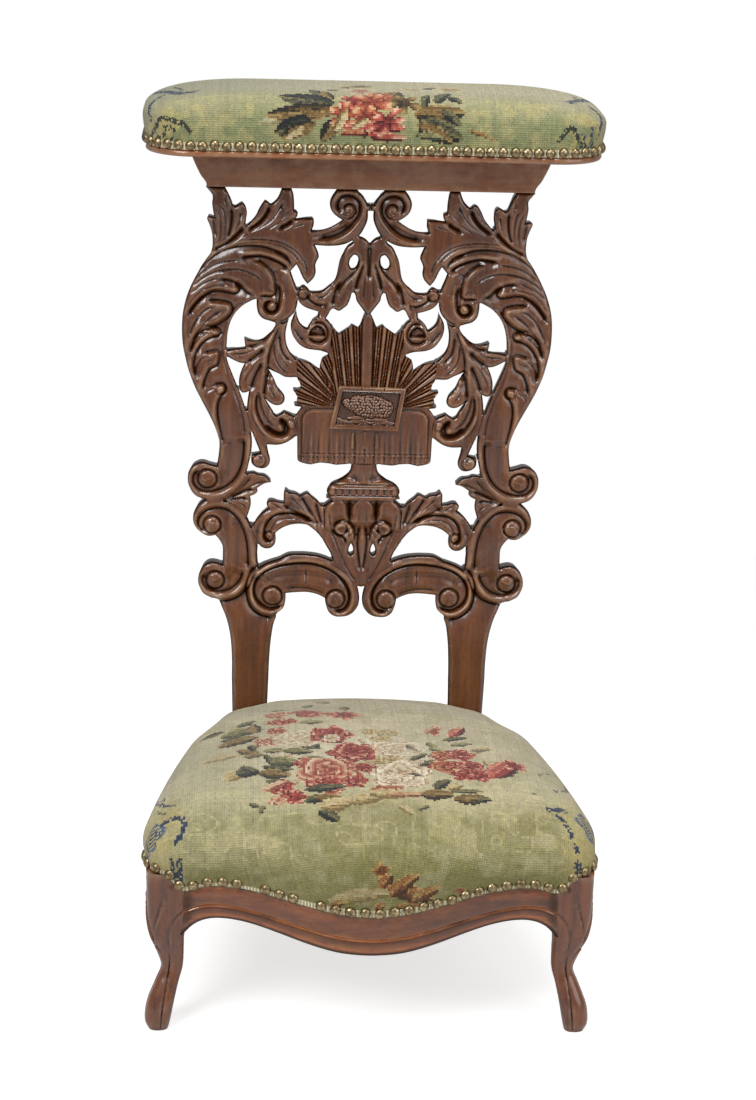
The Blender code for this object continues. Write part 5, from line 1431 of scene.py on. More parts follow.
def work_lines(colours, spots, lines, chance):
    """Work broken scroll lines: wool, width, share of stitches left out, and points."""
    ground = colours.copy()
    for wool, width, gaps, points in lines:
        path = smooth_line(points, 2.0)
        distance = nearest_on(spots, path)[0]
        ragged = chance.normal(0, 0.5, len(spots))
        cover = (distance < 0.72 * width + ragged) & (chance.random(len(spots)) > gaps)
        dye(colours, cover, 0.25 + 0.3 * chance.random(len(spots)), wool, 0.15, ground, chance)


print("wools:", len(WOOLS), "and kinds of motif:", len(SHAPES))

# %% [markdown]
# The ground was never one even colour, and it has faded in blotches. A smooth random field
# makes the blotches, a wash puts a colour over part of the ground, and at the end every
# stitch and every row is given a slight difference of its own.

# %% Ground and fading
def soft_noise(spots, size, seed):
    """A smooth random field between 0 and 1 with blotches of a given size."""
    field = np.random.default_rng(seed).random((64, 64))
    place = spots / size + 32.0
    low = np.floor(place).astype(int)
    part = place - low
    part = part * part * (3 - 2 * part)
    value = 0
    for step_x in (0, 1):
        for step_y in (0, 1):
            share = (part[:, 0] if step_x else 1 - part[:, 0]) * (
                part[:, 1] if step_y else 1 - part[:, 1])
            value = value + share * field[(low[:, 0] + step_x) % 64, (low[:, 1] + step_y) % 64]
    return value


def blend(colours, share, code):
    """Wash a colour over the ground by a share for each stitch."""
    share = np.clip(share, 0, 1)[:, None]
    return colours * (1 - share) + painter(code) * share


def uneven(colours, spots, chance):
    """Slight differences between stitches and between rows."""
    rows = chance.normal(0, 0.012, 4096)
    columns = chance.normal(0, 0.016, 4096)
    index = np.round(spots / (STITCH / MM) * 2).astype(int) // 2 + 2048
    shade = 1 + chance.normal(0, 0.035, len(colours)) + rows[index[:, 1]] + columns[index[:, 0]]
    return np.clip(colours * shade[:, None], 0, 1)


print("ground and fading ready")

# %% [markdown]
# The seat has one loose bouquet of faded red, pink and cream roses with brown and dark
# leaves, a small rust spray on the front, navy scrolls at the corners, and a sage ground
# that is beige towards the back and olive along the front, bleached and mottled with age.

# %% Work the seat
SEAT_MOTIFS = [
    ("leaf", "olive", -40, 100, 24, 14, 95, 0.45), ("leaf", "dark", -62, 76, 22, 13, 70, 0.4),
    ("leaf", "brown", -19, 58, 26, 13, 95, 0.4), ("leaf", "dark", -98, 66, 17, 9, 0, 0.3),
    ("rose", "pink", -90, 42, 30, 26, 40, 0.3), ("rose", "red", -60, 45, 30, 34, 60, 0.25),
    ("spray", "red", -21, 38, 34, 40, 90, 0.25), ("spray", "coral", -38, 40, 16, 22, 60, 0.4),
    ("rose", "red", -86, 17, 34, 17, 10, 0.2), ("leaf", "olive", -68, 15, 26, 12, 5, 0.3),
    ("leaf", "dark", -146, 8, 28, 13, 175, 0.2), ("leaf", "dark", -134, 14, 24, 12, 30, 0.25),
    ("leaf", "olive", -150, -8, 44, 28, 12, 0.2), ("leaf", "brown", -112, -12, 30, 14, 100, 0.3),
    ("leaf", "dark", -150, -22, 30, 14, 10, 0.15), ("leaf", "brown", -152, -38, 46, 20, 22, 0.2),
    ("rose", "red", -92, -8, 22, 18, 20, 0.2), ("leaf", "red", -86, -20, 26, 9, -25, 0.25),
    ("rose", "pink", -100, -36, 32, 26, 20, 0.2), ("leaf", "tan", -168, -72, 44, 16, 8, 0.45),
    ("leaf", "brown", -132, -54, 34, 15, -40, 0.25), ("leaf", "dark", -118, -44, 18, 10, -80, 0.1),
    ("leaf", "brown", -126, -76, 22, 14, 20, 0.3), ("leaf", "olive", -106, -62, 26, 14, 0, 0.1),
    ("rose", "cream", -70, -30, 60, 40, 0, 0.35), ("rose", "cream", -84, -76, 34, 22, 0, 0.45),
    ("leaf", "olive", -86, -62, 32, 18, -4, 0.1), ("leaf", "dark", -68, -52, 22, 8, -10, 0.05),
    ("rose", "red", -37, -19, 46, 44, 80, 0.12), ("rose", "cream", -36, -28, 22, 18, 80, 0.2),
    ("leaf", "dark", -56, -56, 14, 8, 60, 0.05), ("leaf", "dark", -72, -84, 26, 10, 12, 0.05),
    ("rose", "tan", 5, -10, 17, 22, 70, 0.35), ("rose", "tan", 25, -12, 20, 18, 0, 0.4),
    ("rose", "tan", 15, -30, 22, 24, 60, 0.25), ("leaf", "cream", -6, -26, 24, 12, -70, 0.3),
    ("rose", "cream", 22, -58, 70, 46, 20, 0.3), ("leaf", "dark", 40, -44, 20, 7, -60, 0.4),
    ("rose", "tan", 5, -84, 24, 26, 80, 0.15), ("rose", "tan", 25, -84, 22, 22, 0, 0.2),
    ("rose", "cream", 46, -90, 40, 26, 0, 0.35), ("rose", "red", -16, -66, 52, 48, 70, 0.05),
    ("leaf", "pink", 2, -46, 24, 12, -70, 0.25),
    ("leaf", "olive", -104, -86, 38, 26, -12, 0.1), ("leaf", "dark", -104, -70, 26, 8, -75, 0.1),
    ("leaf", "dark", -108, -102, 34, 14, -12, 0.05),
    ("leaf", "brown", -112, -116, 34, 22, -8, 0.1),
    ("leaf", "dark", -104, -134, 32, 12, -6, 0.05), ("leaf", "tan", -144, -130, 30, 22, 50, 0.1),
    ("leaf", "dark", -134, -118, 26, 24, 20, 0.05), ("leaf", "dark", -128, -98, 20, 10, -50, 0.15),
    ("rose", "red", -62, -92, 30, 22, 40, 0.1), ("rose", "pink", -40, -118, 80, 62, 100, 0.05),
    ("rose", "red", -6, -104, 22, 36, 80, 0.08), ("rose", "red", -44, -138, 44, 26, 15, 0.02),
    ("rose", "red", -14, -134, 26, 24, 60, 0.05),
    ("rose", "cream", 32, -118, 58, 58, 100, 0.05), ("rose", "cream", 20, -134, 36, 26, 20, 0.05),
    ("leaf", "dark", 40, -116, 14, 6, -20, 0.2), ("rose", "coral", 16, -148, 34, 12, 10, 0.25),
    ("spray", "red", 71, -4, 15, 36, 0, 0.25), ("leaf", "coral", 60, -14, 22, 9, 60, 0.4),
    ("leaf", "red", 86, -20, 34, 16, 62, 0.1), ("leaf", "dark", 78, -32, 30, 11, 28, 0.1),
    ("leaf", "olive", 84, -44, 26, 11, 20, 0.25), ("leaf", "olive", 60, -36, 24, 9, -60, 0.25),
    ("leaf", "tan", 104, -66, 34, 9, 52, 0.3), ("leaf", "brown", 104, -56, 26, 8, 20, 0.35),
    ("leaf", "dark", 42, -84, 26, 9, 45, 0.1), ("leaf", "dark", 50, -98, 24, 11, 38, 0.1),
    ("leaf", "olive", 62, -52, 18, 8, -30, 0.2), ("rose", "coral", 74, -72, 24, 24, 30, 0.1),
    ("rose", "red", 93, -68, 28, 30, 60, 0.03), ("rose", "coral", 78, -98, 30, 40, 80, 0.05),
    ("rose", "red", 102, -96, 26, 30, 50, 0.02), ("rose", "red", 92, -118, 24, 22, 0, 0.02),
    ("rose", "red", 110, -118, 22, 24, 30, 0.02), ("leaf", "tan", 116, -80, 20, 12, -60, 0.2),
    ("leaf", "red", 120, -122, 58, 30, 60, 0.02), ("spray", "red", 146, -84, 28, 34, 60, 0.02),
    ("rose", "red", -88, -144, 30, 22, 30, 0.08), ("leaf", "pink", -108, -152, 30, 12, 40, 0.25),
    ("rose", "red", -76, -162, 26, 22, 0, 0.03), ("rose", "pink", -92, -166, 20, 12, 0, 0.2),
    ("leaf", "dark", -66, -150, 44, 15, 8, 0.02), ("leaf", "dark", -66, -170, 26, 14, 20, 0.02),
    ("leaf", "brown", -58, -164, 34, 17, -12, 0.03), ("leaf", "tan", -52, -178, 34, 22, 6, 0.03),
    ("leaf", "dark", -52, -184, 26, 13, -38, 0.02), ("leaf", "tan", -26, -172, 40, 20, 12, 0.1),
    ("leaf", "tan", -4, -158, 40, 17, -4, 0.1), ("leaf", "coral", 14, -160, 44, 10, 4, 0.35),
    ("leaf", "tan", 26, -178, 18, 10, -40, 0.25), ("leaf", "dark", 44, -184, 16, 5, 40, 0.2),
    ("leaf", "dark", 62, -146, 26, 14, 50, 0.05), ("leaf", "tan", 74, -146, 20, 12, 30, 0.05),
    ("leaf", "brown", 48, -158, 34, 19, 6, 0.05), ("leaf", "dark", 78, -150, 34, 7, 4, 0.1),
    ("leaf", "brown", 80, -162, 36, 17, 4, 0.1), ("leaf", "dark", 104, -162, 14, 9, 10, 0.05),
    ("leaf", "dark", -120, -168, 14, 7, -30, 0.2), ("leaf", "dark", -110, -182, 12, 5, 60, 0.2),
    ("spray", "rust", 8, -253, 22, 17, 0, 0.1), ("leaf", "rust", 8, -272, 20, 16, 60, 0.02),
    ("leaf", "tan", -54, -284, 80, 17, 6, 0.35), ("leaf", "rust", 14, -270, 60, 20, -8, 0.15),
    ("leaf", "rust", 18, -280, 40, 17, 42, 0.1), ("leaf", "rust", 46, -284, 36, 15, 36, 0.2),
    ("leaf", "rust", -56, -290, 26, 9, 10, 0.3), ("leaf", "rust", 2, -295, 16, 9, 20, 0.05),
    ("spray", "coral", 97, -264, 14, 10, 0, 0.3), ("leaf", "rust", 26, -292, 40, 9, 8, 0.2),
    ("hatched", "navy", -224, -188, 42, 30, 20, 0.15),
    ("hatched", "navy", 222, -166, 40, 36, -35, 0.15),
]
SEAT_LINES = [
    ("navy", 2.4, 0.35, [(-221, -104), (-215, -126), (-205, -146), (-192, -158)]),
    ("navy", 2.2, 0.45, [(-213, -120), (-204, -136)]),
    ("navy", 4.0, 0.2, [(-206, -180), (-194, -178), (-184, -184), (-184, -196), (-190, -208)]),
    ("navy", 4.5, 0.3, [(-198, -226), (-196, -236)]),
    ("navy", 4.5, 0.3, [(-186, -228), (-188, -236)]),
    ("navy", 9.0, 0.15, [(-204, -246), (-190, -246)]),
    ("navy", 5.0, 0.5, [(-138, -262), (-122, -266)]),
    ("navy", 2.4, 0.35, [(202, -80), (202, -98), (194, -114), (184, -126)]),
    ("navy", 2.0, 0.5, [(186, -74), (176, -84), (170, -98)]),
    ("navy", 4.2, 0.2, [(172, -170), (182, -165), (190, -164)]),
    ("navy", 3.6, 0.35, [(182, -174), (190, -184), (196, -196)]),
    ("navy", 9.0, 0.15, [(207, -226), (213, -232)]),
    ("navy", 4.0, 0.4, [(200, -206), (204, -212)]),
    ("brown", 1.8, 0.6, [(-214, -150), (-202, -166)]),
    ("dark", 1.6, 0.6, [(150, -140), (168, -150)]),
]


def seat_ground(spots):
    """The ground of the seat: beige at the back, sage in the middle, olive at the front."""
    u, v = spots[:, 0], spots[:, 1]
    blotch = soft_noise(spots, 34, 3)
    small = soft_noise(spots, 9, 4)
    colours = np.tile(painter("#b5ab8e"), (len(spots), 1))
    colours = blend(colours, (-v - 60 + 60 * blotch) / 120, "#b6ad88")
    colours = blend(colours, 0.85 * np.clip((-v - 172 + 30 * blotch) / 30, 0, 1), "#827c4e")
    # The ground is washed darker and greener towards the left side.
    colours = blend(colours, 0.4 * np.clip(-u / 190, 0, 1), "#97957a")
    low = np.clip((-v - 120) / 50, 0, 1)
    for size, seed in ((24, 31), (15, 32)):
        scroll = np.exp(-((soft_noise(spots, size, seed) - 0.5) / 0.03) ** 2)
        colours = blend(colours, 0.5 * scroll * low, "#c2b789")
    colours = blend(colours, 0.7 * low * np.clip((soft_noise(spots, 19, 33) - 0.62) * 4, 0, 0.6),
                    "#beb386")
    colours = blend(colours, 0.8 * np.clip((-v - 222) / 24, 0, 1), "#76723f")
    side = np.clip((np.abs(u) - 185 + 12 * blotch) / 20, 0, 1)
    colours = blend(colours, 0.7 * side * low, "#b3a36a")
    cream = np.exp(-((u + 5) / 75) ** 2 - ((v + 60) / 52) ** 2) * (0.35 + 0.5 * blotch)
    colours = blend(colours, cream, "#dcd2ba")
    pale = 0.45 * np.clip((soft_noise(spots, 52, 8) - 0.55) * 4, 0, 1)
    colours = blend(colours, pale * (1 - 0.8 * low), "#cbbf9f")
    colours = blend(colours, np.clip((soft_noise(spots, 15, 5) - 0.7) * 3, 0, 0.35), "#9a946c")
    return blend(colours, 0.5 * np.clip((small - 0.45) * 2, -1, 1) * (small > 0.45), "#a9a281")


print("motifs on the seat", len(SEAT_MOTIFS), "and lines", len(SEAT_LINES))

# %% [markdown]
# The armrest has a lily spray between brown leaves in the middle of its front, a fainter
# spray above it on the top, and navy scrolls round both ends.

# %% Work the armrest
ARM_MOTIFS = [
    ("spray", "tan", -32, 172, 26, 26, 40, 0.55), ("leaf", "dark", -34, 170, 12, 9, 60, 0.1),
    ("spray", "brown", -16, 184, 34, 24, 20, 0.5), ("spray", "pink", -16, 154, 42, 30, 80, 0.45),
    ("leaf", "dark", -50, 154, 12, 9, 10, 0.1), ("spray", "tan", 37, 168, 20, 34, 80, 0.5),
    ("leaf", "dark", 50, 172, 20, 12, 55, 0.1), ("spray", "tan", 76, 174, 40, 34, 30, 0.35),
    ("leaf", "tan", 20, 178, 26, 8, -60, 0.5), ("leaf", "cream", -120, 96, 44, 10, 12, 0.6),
    ("leaf", "dark", -52, 124, 34, 15, 118, 0.0), ("leaf", "brown", -46, 122, 28, 12, 112, 0.05),
    ("leaf", "dark", -44, 118, 58, 24, 170, 0.0), ("leaf", "brown", -40, 112, 74, 20, 186, 0.0),
    ("leaf", "dark", -66, 100, 40, 22, 200, 0.0), ("leaf", "brown", -62, 98, 40, 15, 206, 0.02),
    ("leaf", "tan", -74, 94, 22, 10, 215, 0.05), ("leaf", "dark", -40, 102, 30, 17, 235, 0.0),
    ("leaf", "brown", -42, 102, 26, 13, 240, 0.0),
    ("leaf", "brown", 8, 116, 38, 26, 70, 0.05), ("spray", "brown", 27, 122, 30, 36, 90, 0.02),
    ("leaf", "dark", 46, 116, 26, 11, 80, 0.0), ("leaf", "dark", 58, 122, 34, 15, 62, 0.0),
    ("leaf", "dark", 70, 136, 20, 12, -40, 0.0), ("leaf", "brown", 36, 108, 54, 20, 4, 0.0),
    ("leaf", "dark", 64, 114, 28, 11, -40, 0.0), ("leaf", "dark", 42, 100, 48, 24, -20, 0.0),
    ("leaf", "brown", 40, 98, 42, 16, -26, 0.02), ("leaf", "olive", 38, 88, 30, 9, -6, 0.2),
    ("rose", "coral", 2, 132, 28, 24, 90, 0.05), ("spray", "red", -27, 122, 26, 28, 90, 0.03),
    ("spray", "coral", -6, 120, 44, 42, 70, 0.03), ("spray", "coral", -34, 106, 34, 32, 20, 0.03),
    ("leaf", "tan", -30, 112, 26, 10, 240, 0.05), ("spray", "coral", -12, 104, 36, 26, 10, 0.02),
    ("leaf", "red", -36, 92, 66, 17, 2, 0.0), ("spray", "red", 8, 100, 44, 24, 30, 0.0),
    ("leaf", "red", -10, 86, 40, 10, -4, 0.0), ("leaf", "coral", -38, 88, 26, 8, 4, 0.05),
    ("leaf", "tan", -8, 104, 22, 8, 215, 0.05), ("leaf", "rust", 92, 94, 30, 5, -20, 0.3),
]
ARM_LINES = [
    ("navy", 6.0, 0.1, [(-226, 200), (-214, 178), (-206, 158), (-196, 149), (-184, 150)]),
    ("navy", 3.0, 0.3, [(-206, 196), (-200, 176), (-198, 160)]),
    ("navy", 4.0, 0.2, [(-216, 158), (-228, 150), (-238, 136), (-243, 124)]),
    ("dark", 4.0, 0.25, [(-258, 118), (-242, 112), (-226, 112), (-214, 103), (-200, 96),
                         (-190, 86)]),
    ("dark", 3.6, 0.3, [(-252, 104), (-238, 96), (-226, 100), (-214, 92)]),
    ("navy", 4.0, 0.3, [(-246, 92), (-236, 84), (-222, 86)]),
    ("navy", 6.0, 0.15, [(224, 204), (214, 184), (206, 164), (196, 146)]),
    ("navy", 3.0, 0.35, [(208, 196), (206, 180)]),
    ("navy", 4.0, 0.2, [(218, 154), (230, 144), (240, 130), (246, 116)]),
    ("dark", 4.0, 0.25, [(184, 84), (192, 94), (202, 100), (212, 92), (224, 88)]),
    ("navy", 4.0, 0.3, [(228, 112), (240, 102), (250, 104)]),
    ("navy", 3.6, 0.35, [(216, 100), (232, 92), (242, 94)]),
]


def arm_ground(spots):
    """The ground of the armrest: beige on top and greener towards the nails."""
    u, v = spots[:, 0], spots[:, 1]
    blotch = soft_noise(spots, 26, 13)
    small = soft_noise(spots, 8, 14)
    colours = np.tile(painter("#a9a285"), (len(spots), 1))
    edge = np.minimum(v, 374 - v)
    colours = blend(colours, 0.6 * np.clip(-u / 190, 0, 1), "#7f8168")
    colours = blend(colours, (152 - edge + 16 * blotch) / 40, "#98946f")
    colours = blend(colours, (112 - edge + 18 * blotch) / 26, "#82865d")
    colours = blend(colours, np.clip((small - 0.5) * 2.4, 0, 0.55) * (edge < 128), "#aca06e")
    ends = np.clip((np.abs(u) - 195) / 14, 0, 1) * (edge < 128) * (small > 0.4)
    return blend(colours, 0.5 * ends, "#b9a868")


def worked(spots, ground, motifs, lines, seed):
    """All the stitches of one cover."""
    chance = np.random.default_rng(seed)
    places = spots / MM
    colours = ground(places)
    work_lines(colours, places, lines, chance)
    work_motifs(colours, places, motifs, chance)
    return uneven(colours, places, chance)


seat_wool = worked(seat_spots, seat_ground, SEAT_MOTIFS, SEAT_LINES, 21)
arm_wool = worked(arm_spots, arm_ground, ARM_MOTIFS, ARM_LINES, 22)
print("motifs on the armrest", len(ARM_MOTIFS), "and lines", len(ARM_LINES))

# %% [markdown]
# The finish of the covers draws every stitch: a UV map counts stitches, and from it come a
# small raised knot of wool in each one, the dark gaps between them and the fuzz of the wool.

# %% Needlepoint
needlepoint, tree, shader = new_finish("worn_wool_needlepoint")
wool = add(tree, "ShaderNodeVertexColor", layer_name="wool").outputs["Color"]
stitch_place = add(tree, "ShaderNodeUVMap", uv_map="stitches").outputs[0]
stitch_parts = add(tree, "ShaderNodeSeparateXYZ", {"Vector": stitch_place}).outputs
waves = []
for slope in (1.0, -1.0):
    lean = maths(tree, "MULTIPLY", stitch_parts[1], slope)
    angle = maths(tree, "MULTIPLY", maths(tree, "ADD", stitch_parts[0], lean), math.pi)
    waves.append(maths(tree, "COSINE", angle))
knot = maths(tree, "MULTIPLY_ADD", maths(tree, "MULTIPLY", *waves), 0.5, 0.5)
shaded = ramp(tree, knot, [(0.0, 0.68), (0.6, 1.0)])
tree.links.new(mix(tree, 0.6, wool, shaded, "MULTIPLY"), shader.inputs["Base Color"])
fibre = noise(tree, stitch_place, 3.2, 3.0)
raised = maths(tree, "MULTIPLY_ADD", fibre.outputs["Fac"], 0.35, knot)
bump = add(tree, "ShaderNodeBump", {"Height": raised, "Strength": 0.55, "Distance": 0.0012})
tree.links.new(bump.outputs[0], shader.inputs["Normal"])
shader.inputs["Roughness"].default_value = 0.92
shader.inputs["Sheen Weight"].default_value = 0.12
shader.inputs["Sheen Roughness"].default_value = 0.5
print("needlepoint finish ready")

# %% [markdown]
# The covers are made from the canvas. Each stitch keeps one flat colour. The rear corners of
# the seat cover go between the posts, so there they are pressed back from the wood.

# %% Make the covers
POST_GAP = 0.0012


def clear_of_posts(points):
    """Press the rear corners of the seat cover back from the posts between which it goes."""
    front = BOARD_FOOT_Y + (points[:, 2] - BOARD_FOOT_Z) * math.tan(BOARD_LEAN)
    front += LEG_FOOT_SPLAY * MM * np.clip(1 - points[:, 2] / (SPLAY_TOP * MM), 0, 1) ** 2
    over_y = points[:, 1] - (front - POST_GAP)
    over_x = np.abs(points[:, 0]) - (REAR_INNER_X - POST_GAP)
    struck = (over_x > 0) & (over_y > 0)
    sideways = struck & (over_x < over_y)
    points[sideways, 0] -= np.sign(points[sideways, 0]) * over_x[sideways]
    points[struck & ~sideways, 1] -= over_y[struck & ~sideways]
    return points


def make_cover(name, points, faces, spots, node, colours):
    """Build a cover, colour its stitches, and put it in place."""
    piece = new_object(name, shift_to_chair(points), [tuple(int(k) for k in f) for f in faces])
    mesh = piece.data
    layer = mesh.color_attributes.new("wool", "BYTE_COLOR", "CORNER")
    layer.data.foreach_set("color_srgb", np.repeat(
        np.column_stack([colours, np.ones(len(colours))]), 4, axis=0).ravel())
    stitches = mesh.uv_layers.new(name="stitches")
    corner = np.array([(-0.5, -0.5), (0.5, -0.5), (0.5, 0.5), (-0.5, 0.5)])
    places = (spots[:, None, :] / STITCH + corner[None]).reshape(-1, 2)
    stitches.data.foreach_set("uv", places.ravel())
    mesh.shade_smooth()
    piece.data.materials.append(needlepoint)
    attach(piece, "root")
    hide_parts(node + "_cover", node + "_stuffing")


seat_points = clear_of_posts(seat_points)
make_cover("seat_needlepoint", seat_points, seat_faces, seat_spots, "seat", seat_wool)
make_cover("armrest_needlepoint", arm_points, arm_faces, arm_spots, "armrest", arm_wool)
print("covers made")

# %% [markdown]
# A woven braid, the galloon, hides the cut edge of the canvas, and domed brass nails hold
# it. One nail head is made from a small sphere, flattened and cut in half, and it is then
# copied along the braid at an even pitch. Three nails of the front row are lost.

# %% Braid and nails
NAIL_SKIN = 0.0019
NAIL_RISE = 0.0038
GALLOON_WIDTH = 0.0095
BRAID_THICK = 0.0012
TRIM_END_Y = 0.166
LOST_NAILS = (-0.123, -0.110, -0.061)


def path_along(ring, out, height, keep):
    """The points of a trim's path and the outward direction at each."""
    kept = [k for k in range(len(ring)) if keep(ring[k])]
    gap = next((n for n in range(1, len(kept)) if kept[n] != kept[n - 1] + 1), 0)
    kept = kept[gap:] + kept[:gap]
    path = [(*(ring[k] + out[k] * NAIL_SKIN), height(*ring[k])) for k in kept]
    return shift_to_chair(path), np.array([out[k] for k in kept])


def braid(name, path, out, closed, node):
    """A thin band along a path, with rounded edges and a UV map in millimetres."""
    section = [(-0.5, 0.0), (-0.5, 0.7), (-0.36, 1.0), (0.0, 0.86), (0.36, 1.0), (0.5, 0.7),
               (0.5, 0.0)]
    points, faces = [], []
    for place, way in zip(path, out):
        for up, proud in section:
            far = BRAID_THICK * proud
            points.append((place[0] + way[0] * far, place[1] + way[1] * far,
                           place[2] + up * GALLOON_WIDTH))
    wide, count = len(section), len(path)
    for k in range(count if closed else count - 1):
        for side in range(wide):
            after = (side + 1) % wide
            here, there = k * wide, ((k + 1) % count) * wide
            faces.append((here + side, there + side, there + after, here + after))
    if not closed:
        faces.append(tuple(range(wide)))
        faces.append(tuple(reversed(range((count - 1) * wide, count * wide))))
    piece = new_object(name, points, faces)
    gone = gone_along(path)
    layer = piece.data.uv_layers.new(name="run")
    marks = np.array([place[0] for place in section])
    for face in piece.data.polygons:
        first = min(face.vertices) // wide
        wraps = max(face.vertices) // wide - first > 1
        for loop, vertex in zip(face.loop_indices, face.vertices):
            step = vertex // wide
            length = gone[step]
            if closed and first == 0 and step == count - 1 and wraps:
                length = gone[0] - (gone[1] - gone[0])
            layer.data[loop].uv = (length / MM, marks[vertex % wide] * GALLOON_WIDTH / MM)
    select_only(piece)
    bpy.ops.object.shade_smooth_by_angle(angle=math.radians(50))
    piece.data.materials.append(galloon)
    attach(piece, "root")
    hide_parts(node)


def one_nail(radius):
    """A domed nail head, its flat side on the cloth, facing +Z."""
    bpy.ops.object.select_all(action="DESELECT")
    bpy.ops.mesh.primitive_uv_sphere_add(segments=12, ring_count=8, radius=radius)
    head = bpy.context.active_object
    bpy.ops.object.mode_set(mode="EDIT")
    bpy.ops.mesh.select_all(action="SELECT")
    bpy.ops.mesh.bisect(plane_co=(0, 0, 0.0001), plane_no=(0, 0, 1), clear_inner=True,
                        use_fill=True)
    bpy.ops.mesh.select_all(action="SELECT")
    bpy.ops.transform.resize(value=(1, 1, NAIL_RISE / radius))
    bpy.ops.object.mode_set(mode="OBJECT")
    points = np.array([tuple(vert.co) for vert in head.data.vertices])
    faces = [tuple(face.vertices) for face in head.data.polygons]
    bpy.data.objects.remove(head, do_unlink=True)
    # The cut can list the same faces in another order each time, so they are sorted.
    starts = [face.index(min(face)) for face in faces]
    return points, sorted(face[at:] + face[:at] for face, at in zip(faces, starts))


def nail_row(name, path, out, closed, pitch, radius, lost, node):
    """Copy the nail along a path, each a little turned, and leave out the lost ones."""
    shape, sides = one_nail(radius)
    ends = np.vstack([path, path[:1]]) if closed else path
    gone = gone_along(ends)
    count = int(round(gone[-1] / pitch))
    points, faces, placed = [], [], 0
    chance = np.random.default_rng(7)
    for k in range(count):
        mark = gone[-1] * (k + 0.5) / count + chance.normal(0, 0.00035)
        spot = np.array([np.interp(mark, gone, ends[:, axis]) for axis in range(3)])
        if any(abs(spot[0] - x) < pitch * 0.5 and spot[1] < -0.19 for x in lost):
            continue
        index = int(np.searchsorted(gone, mark)) % len(out)
        way = Vector((out[index][0], out[index][1], 0)).normalized()
        tilt = Vector((chance.normal(0, 0.05), chance.normal(0, 0.05), chance.normal(0, 0.05)))
        turned = (way + tilt).to_track_quat("Z", "Y").to_matrix()
        base = len(points)
        size = 1 + chance.normal(0, 0.02)
        start = Vector(spot) + way * 0.0010 + Vector((0, 0, chance.normal(0, 0.0004)))
        points += [start + turned @ (Vector(point) * size) for point in shape]
        faces += [tuple(base + corner for corner in side) for side in sides]
        placed += 1
    piece = new_object(name, points, faces)
    piece.data.shade_smooth()
    piece.data.materials.append(brass)
    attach(piece, "root")
    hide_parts(node)
    print(name, "has", placed, "nails")


print("braid and nails can be made")

# %% [markdown]
# The brass has a brown tarnish with rubbed places between. The galloon is woven of cream
# threads with darker gaps. It runs round the front and the sides of the seat, and all round
# the armrest.

# %% Put on the braid and the nails
brass, tree, shader = new_finish("aged_brass_nail_heads")
place = object_place(tree)
tarnish = noise(tree, place, 260.0, 3.0)
tree.links.new(ramp(tree, tarnish.outputs["Fac"], [(0.35, "#6f614a"), (0.55, "#a08d69"),
                                                   (0.75, "#d0bf9c")]),
               shader.inputs["Base Color"])
rub = add(tree, "ShaderNodeMapRange", {"Value": tarnish.outputs["Fac"], "From Min": 0.35,
                                       "From Max": 0.75, "To Min": 0.42, "To Max": 0.26})
tree.links.new(rub.outputs[0], shader.inputs["Roughness"])
shader.inputs["Metallic"].default_value = 1.0

galloon, tree, shader = new_finish("woven_cream_and_green_galloon")
along = add(tree, "ShaderNodeSeparateXYZ",
            {"Vector": add(tree, "ShaderNodeUVMap", uv_map="run").outputs[0]})
wave = maths(tree, "SINE", maths(tree, "MULTIPLY", along.outputs[0], math.pi / 1.6))
tree.links.new(ramp(tree, wave, [(0.3, "#a39b78"), (0.6, "#ded5ba")]),
               shader.inputs["Base Color"])
shader.inputs["Roughness"].default_value = 0.85

seat_path, seat_ways = path_along(seat_ring, seat_out, nail_height,
                                  lambda p: p[1] < TRIM_END_Y)
arm_path, arm_ways = path_along(arm_ring, arm_out, lambda x, y: ARM_NAIL_LEVEL, lambda p: True)
braid("seat_galloon", seat_path, seat_ways, False, "seat_nail_trim")
braid("armrest_galloon", arm_path, arm_ways, True, "armrest_nail_trim")
nail_row("seat_nails", seat_path, seat_ways, False, 0.0142, 0.0056, LOST_NAILS,
         "seat_nail_trim")
nail_row("armrest_nails", arm_path, arm_ways, True, 0.0122, 0.0053, (), "armrest_nail_trim")

# %% [markdown]
# The lines of the front are drawn first, for one half seen from the front, in millimetres
# from the middle and from the floor. The rail hangs in a curve between the knees, with a bead
# along its lower edge and a groove above it, and the groove runs on down the inner part of
# each leg. A ridge starts at the corner of the nails and goes down the knee. The profiles say
# how far the rail stands out at each share of its height, and the rings say how a leg shifts
# outwards and how thick and how square it is.

# %% Lines of the front
RAIL_LOW = [(0, 97.9), (20, 98.6), (38, 100.6), (62, 105.8), (93, 114.2), (116, 119.8),
            (135, 122.6), (150, 123.0), (160, 121.8), (168, 119.0), (175, 114.2), (181, 107.0),
            (185, 102.0), (190, 98.0)]
RAIL_GROOVE = [(0, 114.6), (20, 115.4), (38, 117.6), (66, 122.8), (95, 129.0), (118, 133.8),
               (142, 136.9), (160, 137.2), (170, 135.6), (178, 132.4), (184, 128.8), (190, 123.4)]
LEG_GROOVE = [(176, 133.5), (184, 129.0), (190, 123.5), (195, 113), (196.6, 100), (196, 84),
              (196, 66), (198.5, 49), (201.5, 30), (204, 4)]
KNEE_RIDGE = [(184, 156), (189, 150), (196, 142.5), (203.5, 131), (209, 117), (211, 101),
              (208.5, 84), (204, 66)]
BEAD_PROFILE = [(0.0, -2.8), (0.02, -1.7), (0.06, -0.7), (0.12, 0.0), (0.19, 0.35), (0.27, 0.3),
                (0.33, 0.1), (0.42, 0.45), (0.58, 0.8), (0.75, 0.75), (0.88, 0.4), (0.95, -0.1),
                (1.0, -1.25)]
